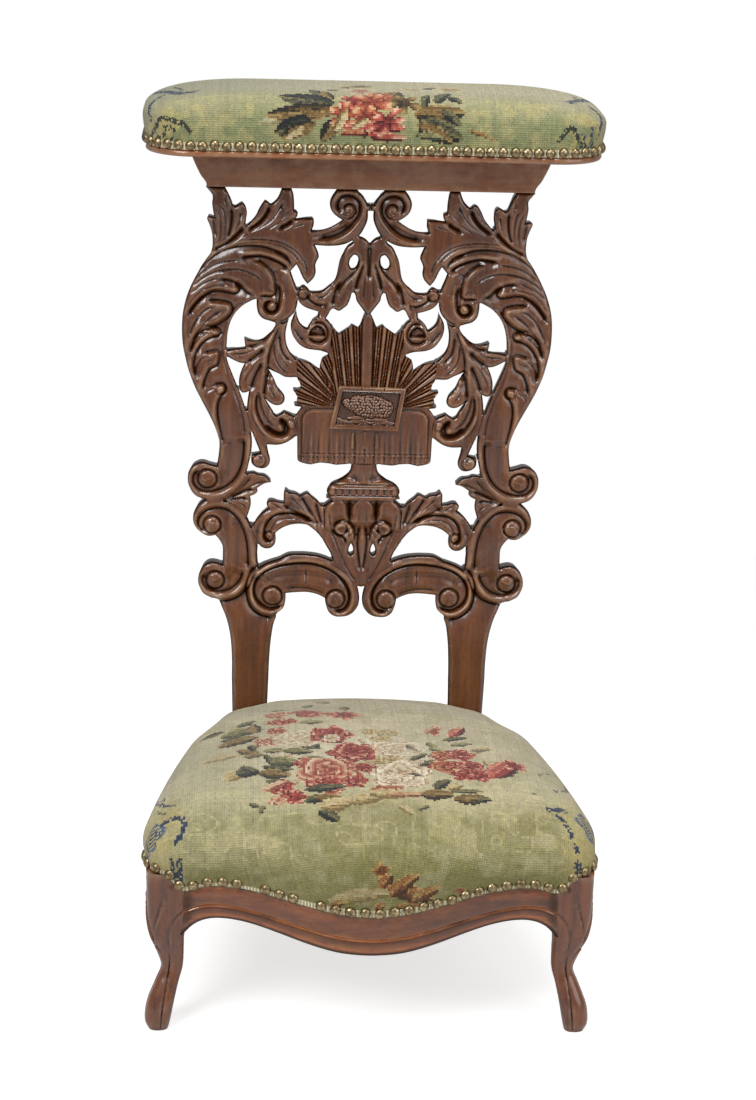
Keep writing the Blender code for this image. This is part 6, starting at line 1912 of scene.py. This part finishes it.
FACE_PROFILE = [(0.05, -0.2), (0.12, 0.6), (0.25, 1.2), (0.42, 1.5), (0.6, 1.35), (0.75, 0.8),
                (0.87, 0.1), (1.0, -0.3)]
LEG_RINGS = [(0, .42, .44, 2.6), (.012, .42, .47, 2.6), (.06, .45, .58, 2.6),
             (.13, .40, .625, 2.6), (.2, .30, .62, 2.6), (.31, .05, .54, 2.7),
             (.41, -.18, .50, 2.8), (.53, -.10, .62, 3.0), (.66, .05, .80, 3.3),
             (.77, .02, .95, 3.7), (.88, 0, 1.0, 4.0), (1.0, 0, 1.0, 4.0)]
LEG_X, LEG_Y, LEG_HALF, LEG_TOP, LEG_SIDES = 197.5, -181.5, 21.5, 150.0, 128
TABLE_SCALE = 20
print("rail grooves on", len(RAIL_GROOVE), "places, leg rings", len(LEG_RINGS))

# %% [markdown]
# The rail is a row of upright sections from one side to the other. A leg is a pile of level
# rings, and the groove and the ridge are cut into the rings where they pass. The left leg is
# the mirror image of the right one.

# %% Front rail and legs
def level_on(line, across):
    """Height of a line over a place, read from a smooth curve through its points."""
    curve = smooth_line(line, 1.0)
    return np.interp(across, curve[:, 0], curve[:, 1])


def front_rail():
    """Sections of the rail from left to right."""
    sections = []
    for x in np.linspace(-189, 189, 170):
        low, groove = level_on(RAIL_LOW, abs(x)), level_on(RAIL_GROOVE, abs(x))
        top = nail_height(x * MM, front_face(x * MM)) / MM - 5.0
        face = front_face(x * MM) / MM + chair_shift / MM
        face -= 2.0 * np.clip((abs(x) - 150) / 25, 0, 1)
        face += 7.0 * np.clip((abs(x) - 176) / 12, 0, 1) ** 2
        wobble = 0.15 * math.sin(x * 0.11) + 0.1 * math.sin(x * 0.31 + 1)
        section = [(x, face + 26, low + 0.5), (x, face + 24.5, low), (x, face + 6.0, low - 0.2)]
        section += [(x, face - out - wobble * share * (1 - share), low + (groove - low) * share)
                    for share, out in BEAD_PROFILE]
        section += [(x, face - out, groove + (top - groove) * share)
                    for share, out in FACE_PROFILE]
        section += [(x, face + 0.35, 171.0), (x, face + 1.5, 172.0), (x, face + 25, 172.0),
                    (x, face + 26, 171.0)]
        sections.append([Vector(place) * MM for place in section])
    return tube(sections)


def one_leg():
    """The right front leg, with the groove and the ridge on its front and on its side."""
    table = smooth_line([(z * LEG_TOP, shift * TABLE_SCALE, half * TABLE_SCALE, power)
                         for z, shift, half, power in LEG_RINGS], 0.8)
    rings = []
    turns = 2 * math.pi * (np.arange(LEG_SIDES) + 0.5) / LEG_SIDES
    lines = smooth_line(LEG_GROOVE, 1.5), smooth_line(KNEE_RIDGE, 1.5)
    for level in np.concatenate([[0.0, 0.7], np.linspace(2.0, LEG_TOP, 92)]):
        shift, half, power = (np.interp(level, table[:, 0], table[:, k]) for k in (1, 2, 3))
        shift, half = shift / TABLE_SCALE * LEG_HALF, half / TABLE_SCALE * LEG_HALF
        if level == 0.0:
            half -= 0.8
        way = np.column_stack([np.cos(turns), np.sin(turns)])
        away = np.sign(way) * np.abs(way) ** (2 / power)
        place = np.array([LEG_X + shift, LEG_Y - shift]) + away * half
        normal = np.sign(way) * np.abs(away) ** (power - 1)
        normal /= np.linalg.norm(normal, axis=1)[:, None]
        deep = np.zeros(LEG_SIDES)
        for facing, across in ((-normal[:, 1], place[:, 0]),
                               (normal[:, 0], -place[:, 1] + LEG_X + LEG_Y)):
            spots = np.column_stack([across, np.full(LEG_SIDES, level)])
            weight = np.clip(facing * 1.6 - 0.25, 0, 1)
            groove = nearest_on(spots, lines[0])[0]
            ridge, side, _ = nearest_on(spots, lines[1])
            strength = np.clip((level - 62) / 25, 0, 1)
            deep += weight * 1.5 * np.clip(1 - groove / 1.7, 0, 1) ** 1.3
            deep += weight * strength * np.where(side > 0, 1.7 * np.exp(-ridge / 7.0),
                                                 -0.7 * np.exp(-(ridge / 2.2) ** 2))
        place = place - normal * deep[:, None]
        rise = np.zeros(LEG_SIDES)
        if level > 120:
            tops = np.array([nail_height(x * MM, y * MM) / MM - 4.6 for x, y in place])
            rise = (tops - LEG_TOP) * ((level - 120) / 30) ** 1.5
        rings.append([Vector((x, y + chair_shift / MM, level + up)) * MM
                      for (x, y), up in zip(place, rise)])
    return tube(rings)


rail_piece = new_object("front_rail_moulded", *front_rail())
finish_wood(rail_piece, walnut_seat, "front_rail", slot="seat_walnut", turn=32)
leg_points, leg_faces = one_leg()
for side, shape in (("right", (leg_points, leg_faces)),
                    ("left", mirrored(leg_points, leg_faces))):
    leg_piece = new_object("cabriole_leg_" + side, *shape)
    finish_wood(leg_piece, walnut_leg, "front_leg_" + side, slot="seat_walnut", turn=45)
print("front rail and legs carved")

# %% [markdown]
# The armrest is nailed to a board with a thin rounded lip. The top rail and the side rails
# keep the solids' shapes, copied and with their edges worn round.

# %% Boards and plain rails
LIP = [(-6.0, 812.0), (0.4, 812.0), (1.6, 812.3), (2.5, 813.0), (3.1, 814.2), (3.2, 815.4),
       (2.9, 816.8), (2.2, 818.0), (1.0, 818.8), (-0.3, 819.0), (-0.6, 831.0), (-6.0, 831.8)]
lip_rings = []
for grow, level in LIP:
    ring = arm_ring[::2] + arm_out[::2] * (grow * MM)
    lip_rings.append([Vector((x, y + chair_shift, level * MM)) for x, y in ring])
board_piece = new_object("armrest_board_with_lip", *tube(lip_rings))
finish_wood(board_piece, walnut_across, "armrest_board", slot="seat_walnut")


def worn_copy(node, name, finish, width, slot):
    """A copy of a plain solid with its edges worn round."""
    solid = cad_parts[node]
    points = [solid.matrix_world @ vert.co for vert in solid.data.vertices]
    faces = [tuple(face.vertices) for face in solid.data.polygons]
    piece = new_object(name, points, faces)
    select_only(piece)
    bpy.ops.object.mode_set(mode="EDIT")
    bpy.ops.mesh.select_all(action="SELECT")
    bpy.ops.mesh.remove_doubles(threshold=0.00001)
    bpy.ops.mesh.dissolve_limited(angle_limit=math.radians(1.0))
    bpy.ops.object.mode_set(mode="OBJECT")
    edge = piece.modifiers.new("worn edges", "BEVEL")
    edge.width = width
    edge.segments = 3
    edge.limit_method = "ANGLE"
    edge.angle_limit = math.radians(35)
    bpy.ops.object.modifier_apply(modifier=edge.name)
    finish_wood(piece, finish, node, slot=slot, turn=35)


worn_copy("top_rail", "top_rail_worn", walnut_across, 0.0011, "carved_walnut")
walnut_side = walnut("waxed_walnut_side_rails", 1, LEG_TONES, 0.4)
for side in ("left", "right"):
    worn_copy("side_rail_" + side, "side_rail_worn_" + side, walnut_side, 0.0012, "seat_walnut")
print("boards and rails done")

# %% [markdown]
# The plaque is a small slanting panel in front of the rays, thick as a closed book. A flat
# frame goes round a sunk field in which a lamb lies on a ledge. Its fleece is a crowd of
# small curls, and the field round it is tooled with the same small gouge.

# %% The lamb plaque
PLAQUE_CORNERS = np.array([(-29.0, 558.0), (42.4, 556.5), (35.0, 510.0), (-38.4, 512.0)])
PLAQUE_WIDE, PLAQUE_HIGH = 72.0, 46.5


def curls(spots, size, seed):
    """Height of small round curls, one in each jittered cell, from 0 to 1."""
    jitter = np.random.default_rng(seed).random((64, 64, 2))
    place = spots / size + 20.0
    low = np.floor(place).astype(int)
    nearest = np.full(len(spots), 9.0)
    for step_x in (-1, 0, 1):
        for step_y in (-1, 0, 1):
            cell = low + (step_x, step_y)
            middle = cell + 0.2 + 0.6 * jitter[cell[:, 0] % 64, cell[:, 1] % 64]
            nearest = np.minimum(nearest, np.linalg.norm(place - middle, axis=1))
    return np.clip(1 - nearest * 1.5, 0, 1) ** 0.6


def oval(share, up, middle_x, middle_y, half_x, half_y, rise, slant=0.0):
    """Height of a rounded lump on the plaque."""
    x = (share - middle_x) / half_x
    y = (up - middle_y - slant * (share - middle_x)) / half_y
    return rise * np.sqrt(np.clip(1 - x * x - y * y, 0, 1))


def plaque():
    """Grid over the slanting panel, its front carved, with upright sides."""
    wide, high = 151, 101
    share, up = np.meshgrid(np.linspace(0, 1, wide), np.linspace(0, 1, high))
    share, up = share.ravel(), up.ravel()
    top_left, top_right, low_right, low_left = PLAQUE_CORNERS
    place = ((low_left * (1 - share)[:, None] + low_right * share[:, None]) * (1 - up)[:, None]
             + (top_left * (1 - share)[:, None] + top_right * share[:, None]) * up[:, None])
    across, tall = share * PLAQUE_WIDE, up * PLAQUE_HIGH
    rim = np.minimum(np.minimum(across, PLAQUE_WIDE - across),
                     np.minimum(tall, PLAQUE_HIGH - tall))
    frame_edge = np.clip((rim - 4.4) / 0.9, 0, 1)
    height = 6.2 - 4.8 * frame_edge
    height -= 1.2 * np.clip(1 - rim / 1.3, 0, 1) ** 2
    height -= 0.45 * np.exp(-((rim - 3.6) / 0.4) ** 2)
    body = oval(share, up, 0.53, 0.55, 0.30, 0.27, 3.1, -0.10)
    rump = oval(share, up, 0.74, 0.50, 0.13, 0.22, 2.6)
    neck = oval(share, up, 0.29, 0.62, 0.11, 0.19, 3.0, 0.3)
    head = oval(share, up, 0.185, 0.60, 0.085, 0.12, 3.0, -0.6)
    lamb = np.maximum(np.maximum(body, rump), np.maximum(neck, head))
    woolly = np.clip(lamb / 1.2, 0, 1)
    fleece = curls(np.column_stack([across, tall]), 3.0, 5)
    ledge = 1.5 * np.clip((0.235 - up + 0.03 * np.sin(share * 19)) / 0.03, 0, 1)
    legs = np.maximum(oval(share, up, 0.36, 0.27, 0.15, 0.055, 2.2, 0.1),
                      oval(share, up, 0.66, 0.24, 0.16, 0.05, 2.2, 0.05))
    field = 0.5 * curls(np.column_stack([across + 7, tall]), 2.2, 6)
    relief = np.maximum(lamb + woolly * 1.7 * fleece, legs)
    relief = np.maximum(relief, ledge) + np.where(relief < 0.3, field, 0)
    wave = (up - 0.15 - 0.02 * np.sin(share * 30)) * PLAQUE_HIGH
    lines = 0.6 * np.exp(-(wave / 0.5) ** 2)
    height += frame_edge * (relief - lines * (share > 0.3))
    for notch in (0.34, 0.68):
        height -= 1.6 * np.exp(-((share - notch) * PLAQUE_WIDE / 0.6) ** 2) * (up > 0.93)
    pages = (up > 0.955) * 0.9
    height = np.clip(height - pages * (np.abs(share - 0.02) > 0.03), -1.0, 6.4)
    points = [tuple(p) + (h,) for p, h in zip(place, height)]
    here = np.arange(wide * high).reshape(high, wide)
    faces = [tuple(int(v) for v in quad) for quad in squares(here)]
    border = ([int(v) for v in here[0, :]] + [int(v) for v in here[1:, -1]]
              + [int(v) for v in here[-1, -2::-1]] + [int(v) for v in here[-2:0:-1, 0]])
    base = len(points)
    points += [points[k][:2] + (-1.6,) for k in border]
    for k in range(len(border)):
        after = (k + 1) % len(border)
        faces.append((border[after], border[k], base + k, base + after))
    faces.append(tuple(base + k for k in reversed(range(len(border)))))
    return [board @ Vector(point) for point in points], faces, frame_edge * (relief < 1.2)


plaque_points, plaque_faces, field = plaque()
plaque_piece = new_object("carved_lamb_plaque", plaque_points, plaque_faces)
finish_wood(plaque_piece, walnut_upright, "lamb_plaque", turn=60)
# Painted shade: the sunk field round the lamb is given a higher hollow number, so the finish
# darkens it.
stored = plaque_piece.data.attributes["hollow"].data
for index in np.flatnonzero(field):
    stored[index].value = max(stored[index].value, 0.62)
print("plaque carved")

# %% [markdown]
# Plain beech rails and blocks, jute webbing and a sheet of hessian are hidden under the
# seat. They are finished all the same, as the chair will be seen from below.

# %% Hidden parts
def plain_wood(name, tones):
    """Oiled beech with short flecks."""
    made, tree, shader = new_finish(name)
    along = add(tree, "ShaderNodeMapping", {"Vector": object_place(tree),
                                            "Scale": (0.1, 1.0, 1.0)})
    grain = noise(tree, along.outputs[0], 240.0, 4.0)
    tree.links.new(ramp(tree, grain.outputs["Fac"], [(0.3, tones[0]), (0.5, tones[1]),
                                                     (0.7, tones[2])]),
                   shader.inputs["Base Color"])
    shader.inputs["Roughness"].default_value = 0.6
    return made


def woven(name, dark, light, size):
    """Plain weave over object coordinates, threads of a given size in metres."""
    made, tree, shader = new_finish(name)
    parts = add(tree, "ShaderNodeSeparateXYZ", {"Vector": object_place(tree)}).outputs
    waves = [maths(tree, "SINE", maths(tree, "MULTIPLY", parts[axis], math.pi / size))
             for axis in (0, 1)]
    lifted = maths(tree, "MULTIPLY_ADD", maths(tree, "MULTIPLY", *waves), 0.5, 0.5)
    tree.links.new(ramp(tree, lifted, [(0.2, dark), (0.8, light)]), shader.inputs["Base Color"])
    bump = add(tree, "ShaderNodeBump", {"Height": lifted, "Strength": 0.6, "Distance": size})
    tree.links.new(bump.outputs[0], shader.inputs["Normal"])
    shader.inputs["Roughness"].default_value = 0.95
    return made


beech = plain_wood("old_beech", ("#6f4f35", "#8f6c4a", "#a98560"))
for node in ("rear_rail", "corner_block_front_left", "corner_block_front_right",
             "corner_block_rear_left", "corner_block_rear_right"):
    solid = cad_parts[node]
    solid.data.materials.clear()
    solid.data.materials.append(beech)
print("hidden rails and blocks finished")

# %% [markdown]
# The webbing is jute, three straps each way, woven over and under and pulled tight.

# %% Webbing
jute = woven("jute_webbing_weave", "#7d6545", "#b39a6e", 0.0024)


def strap(node, phase):
    """One strap, waving over and under the straps that cross it."""
    low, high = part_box(node)
    run_axis = 0 if high.x - low.x > high.y - low.y else 1
    count, wide = 81, 9
    points, faces = [], []
    for level in (low.z, high.z):
        for step in range(count):
            for side in range(wide):
                share, over = step / (count - 1), side / (wide - 1)
                spot = [0.0, 0.0]
                spot[run_axis] = low[run_axis] + (high[run_axis] - low[run_axis]) * share
                other = 1 - run_axis
                spot[other] = low[other] + (high[other] - low[other]) * over
                middle = spot[run_axis] - (0.0 if run_axis == 0 else chair_shift)
                pitch = 0.0625 if run_axis == 0 else 0.1
                wave = 0.0006 * math.cos(math.pi * middle / pitch + phase)
                points.append((*spot, level + wave * math.sin(math.pi * share) ** 0.3))
    layer = count * wide
    for step in range(count - 1):
        for side in range(wide - 1):
            here = step * wide + side
            quad = (here, here + 1, here + wide + 1, here + wide)
            faces.append(tuple(reversed(quad)))
            faces.append(tuple(k + layer for k in quad))
    rim = ([k for k in range(wide)] + [step * wide + wide - 1 for step in range(1, count)]
           + [(count - 1) * wide + k for k in range(wide - 2, -1, -1)]
           + [step * wide for step in range(count - 2, 0, -1)])
    for k, here in enumerate(rim):
        after = rim[(k + 1) % len(rim)]
        faces.append((here, after, after + layer, here + layer))
    if run_axis == 0:
        faces = [tuple(reversed(face)) for face in faces]
    piece = new_object(node + "_woven", points, faces)
    select_only(piece)
    bpy.ops.object.mode_set(mode="EDIT")
    bpy.ops.mesh.select_all(action="SELECT")
    bpy.ops.mesh.normals_make_consistent(inside=False)
    bpy.ops.object.mode_set(mode="OBJECT")
    bpy.ops.object.shade_smooth_by_angle(angle=math.radians(40))
    piece.data.materials.append(jute)
    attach(piece, "root")
    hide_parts(node)


for index in (1, 2, 3):
    strap("webbing_long_" + str(index), math.pi * index)
    strap("webbing_cross_" + str(index), math.pi * (index + 1))
print("six straps woven")

# %% [markdown]
# A sheet of hessian lies on the webbing and carries the horsehair. It is cut to the plan of
# the seat, clear of the posts and of the front legs.

# %% Hessian
linen = woven("hessian_weave", "#8d7a58", "#c2ad83", 0.0018)
low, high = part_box("seat_hessian")
inner = seat_ring - seat_out * 0.008
cell = 0.004
columns = np.arange(low.x, high.x, cell)
rows = np.arange(low.y - chair_shift, high.y - chair_shift, cell)
across, along = np.meshgrid(columns, rows)
spots = np.column_stack([across.ravel(), along.ravel()])
kept = inside(spots, [inner])
kept &= (np.abs(spots[:, 0]) < REAR_INNER_X - 0.001) | (spots[:, 1] < 0.172)
kept &= (np.abs(spots[:, 0]) < 0.172) | (spots[:, 1] > -0.156)
quads = squares(np.arange(len(spots)).reshape(across.shape))
quads = quads[kept[quads].all(1)]
used, renumbered = used_only(quads, len(spots))
hessian = new_object(
    "hessian_sheet",
    [(x, y + chair_shift, high.z - 0.0001 + 0.0008 * math.cos(x * 50) * math.cos(y * 31))
     for x, y in spots[used]], [tuple(int(k) for k in quad) for quad in renumbered])
thickness = hessian.modifiers.new("cloth thickness", "SOLIDIFY")
thickness.thickness = 0.0007
select_only(hessian)
bpy.ops.object.modifier_apply(modifier=thickness.name)
bpy.ops.object.shade_smooth_by_angle(angle=math.radians(40))
hessian.data.materials.append(linen)
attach(hessian, "root")
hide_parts("seat_hessian")
print("hessian of", round(len(quads) * cell * cell, 3), "square metres")

# %% [markdown]
# Last come the floor, the light and the camera. The floor is pale and takes the soft shadow
# of the chair. To the camera alone it is lifted towards white, and so is the world behind
# it, which leaves the light on the chair plain.

# %% Floor and light
FLOOR_SIZE = 80.0
bpy.ops.object.select_all(action="DESELECT")
bpy.ops.mesh.primitive_plane_add(size=FLOOR_SIZE, location=(0, 0, 0))
floor = bpy.context.active_object
floor.name = "studio_floor"
floor_finish, tree, shader = new_finish("pale_studio_floor")
shader.inputs["Base Color"].default_value = linear("#d8d8d8")
shader.inputs["Roughness"].default_value = 0.9
rays = add(tree, "ShaderNodeLightPath")
seen = rays.outputs["Is Camera Ray"]
glow = add(tree, "ShaderNodeEmission", {"Strength": maths(tree, "MULTIPLY", seen, 0.66)})
near = add(tree, "ShaderNodeAddShader", {0: shader.outputs[0], 1: glow.outputs[0]})
reach = add(tree, "ShaderNodeVectorMath", {0: object_place(tree)}, operation="LENGTH")
far = add(tree, "ShaderNodeMapRange", {"Value": reach.outputs["Value"], "From Min": 0.45,
                                       "From Max": 1.5}, interpolation_type="SMOOTHSTEP")
share = maths(tree, "MULTIPLY", far.outputs[0], seen)
white = add(tree, "ShaderNodeEmission", {"Strength": 1.0})
whole = add(tree, "ShaderNodeMixShader", {0: share, 1: near.outputs[0], 2: white.outputs[0]})
tree.links.new(whole.outputs[0], tree.nodes["Material Output"].inputs["Surface"])
floor.data.materials.append(floor_finish)

world = bpy.data.worlds.new("studio")
bpy.context.scene.world = world
world.use_nodes = True
tree = world.node_tree
tree.nodes.clear()
rays = add(tree, "ShaderNodeLightPath")
level = add(tree, "ShaderNodeMapRange", {"Value": rays.outputs["Is Camera Ray"],
                                         "To Min": 0.36, "To Max": 1.0})
shade = add(tree, "ShaderNodeBackground", {"Color": (1, 1, 1, 1),
                                           "Strength": level.outputs[0]})
add(tree, "ShaderNodeOutputWorld", {"Surface": shade.outputs[0]})

LAMPS = [("key_softbox", (-1.5, -1.9, 2.4), (0, 0, 0.45), 1.2, 50.0),
         ("fill_softbox", (1.9, -1.7, 1.6), (0, 0, 0.45), 1.8, 20.0),
         ("top_softbox", (0.2, -0.5, 2.6), (0, 0, 0.4), 1.0, 24.0)]
for lamp_name, place, target, size, power in LAMPS:
    lamp = bpy.data.lights.new(lamp_name, "AREA")
    lamp.size = size
    lamp.energy = power
    holder = bpy.data.objects.new(lamp_name, lamp)
    bpy.context.scene.collection.objects.link(holder)
    holder.location = place
    aim = Vector(target) - Vector(place)
    holder.rotation_euler = aim.to_track_quat("-Z", "Y").to_euler()
print("lamps:", len(LAMPS))

# %% [markdown]
# The camera stands about two and a half metres off, a little to the left and above the
# armrest, and looks down by 18 degrees. It leans by less than two degrees, as the picture
# does. The picture frame is 756 by 1100, so the lens is fitted to its height.

# %% Camera
CAMERA_PLACE = Vector((-0.1295, -2.4995 + chair_shift, 1.2494))
CAMERA_YAW = math.radians(-3.132)
CAMERA_PITCH = math.radians(17.98)
CAMERA_ROLL = math.radians(1.756)
PICTURE_HEIGHT = 1100.0
FOCAL_PIXELS = 2600.4
SENSOR = 36.0
ahead = Vector((-math.sin(CAMERA_YAW) * math.cos(CAMERA_PITCH),
                math.cos(CAMERA_YAW) * math.cos(CAMERA_PITCH), -math.sin(CAMERA_PITCH)))
right = Vector((math.cos(CAMERA_YAW), math.sin(CAMERA_YAW), 0.0))
up = right.cross(ahead)
across = right * math.cos(CAMERA_ROLL) + up * math.sin(CAMERA_ROLL)
upward = up * math.cos(CAMERA_ROLL) - right * math.sin(CAMERA_ROLL)
lens = bpy.data.cameras.new("picture_camera")
lens.sensor_fit = "VERTICAL"
lens.sensor_height = SENSOR
lens.lens = FOCAL_PIXELS / PICTURE_HEIGHT * SENSOR
lens.clip_start = 0.05
lens.clip_end = 50.0
camera = bpy.data.objects.new("picture_camera", lens)
bpy.context.scene.collection.objects.link(camera)
turn = Matrix((across, upward, -ahead)).transposed().to_4x4()
camera.matrix_world = Matrix.Translation(CAMERA_PLACE) @ turn
bpy.context.scene.camera = camera
bpy.context.scene.view_settings.view_transform = "Standard"
print("lens", round(lens.lens, 1), "mm")
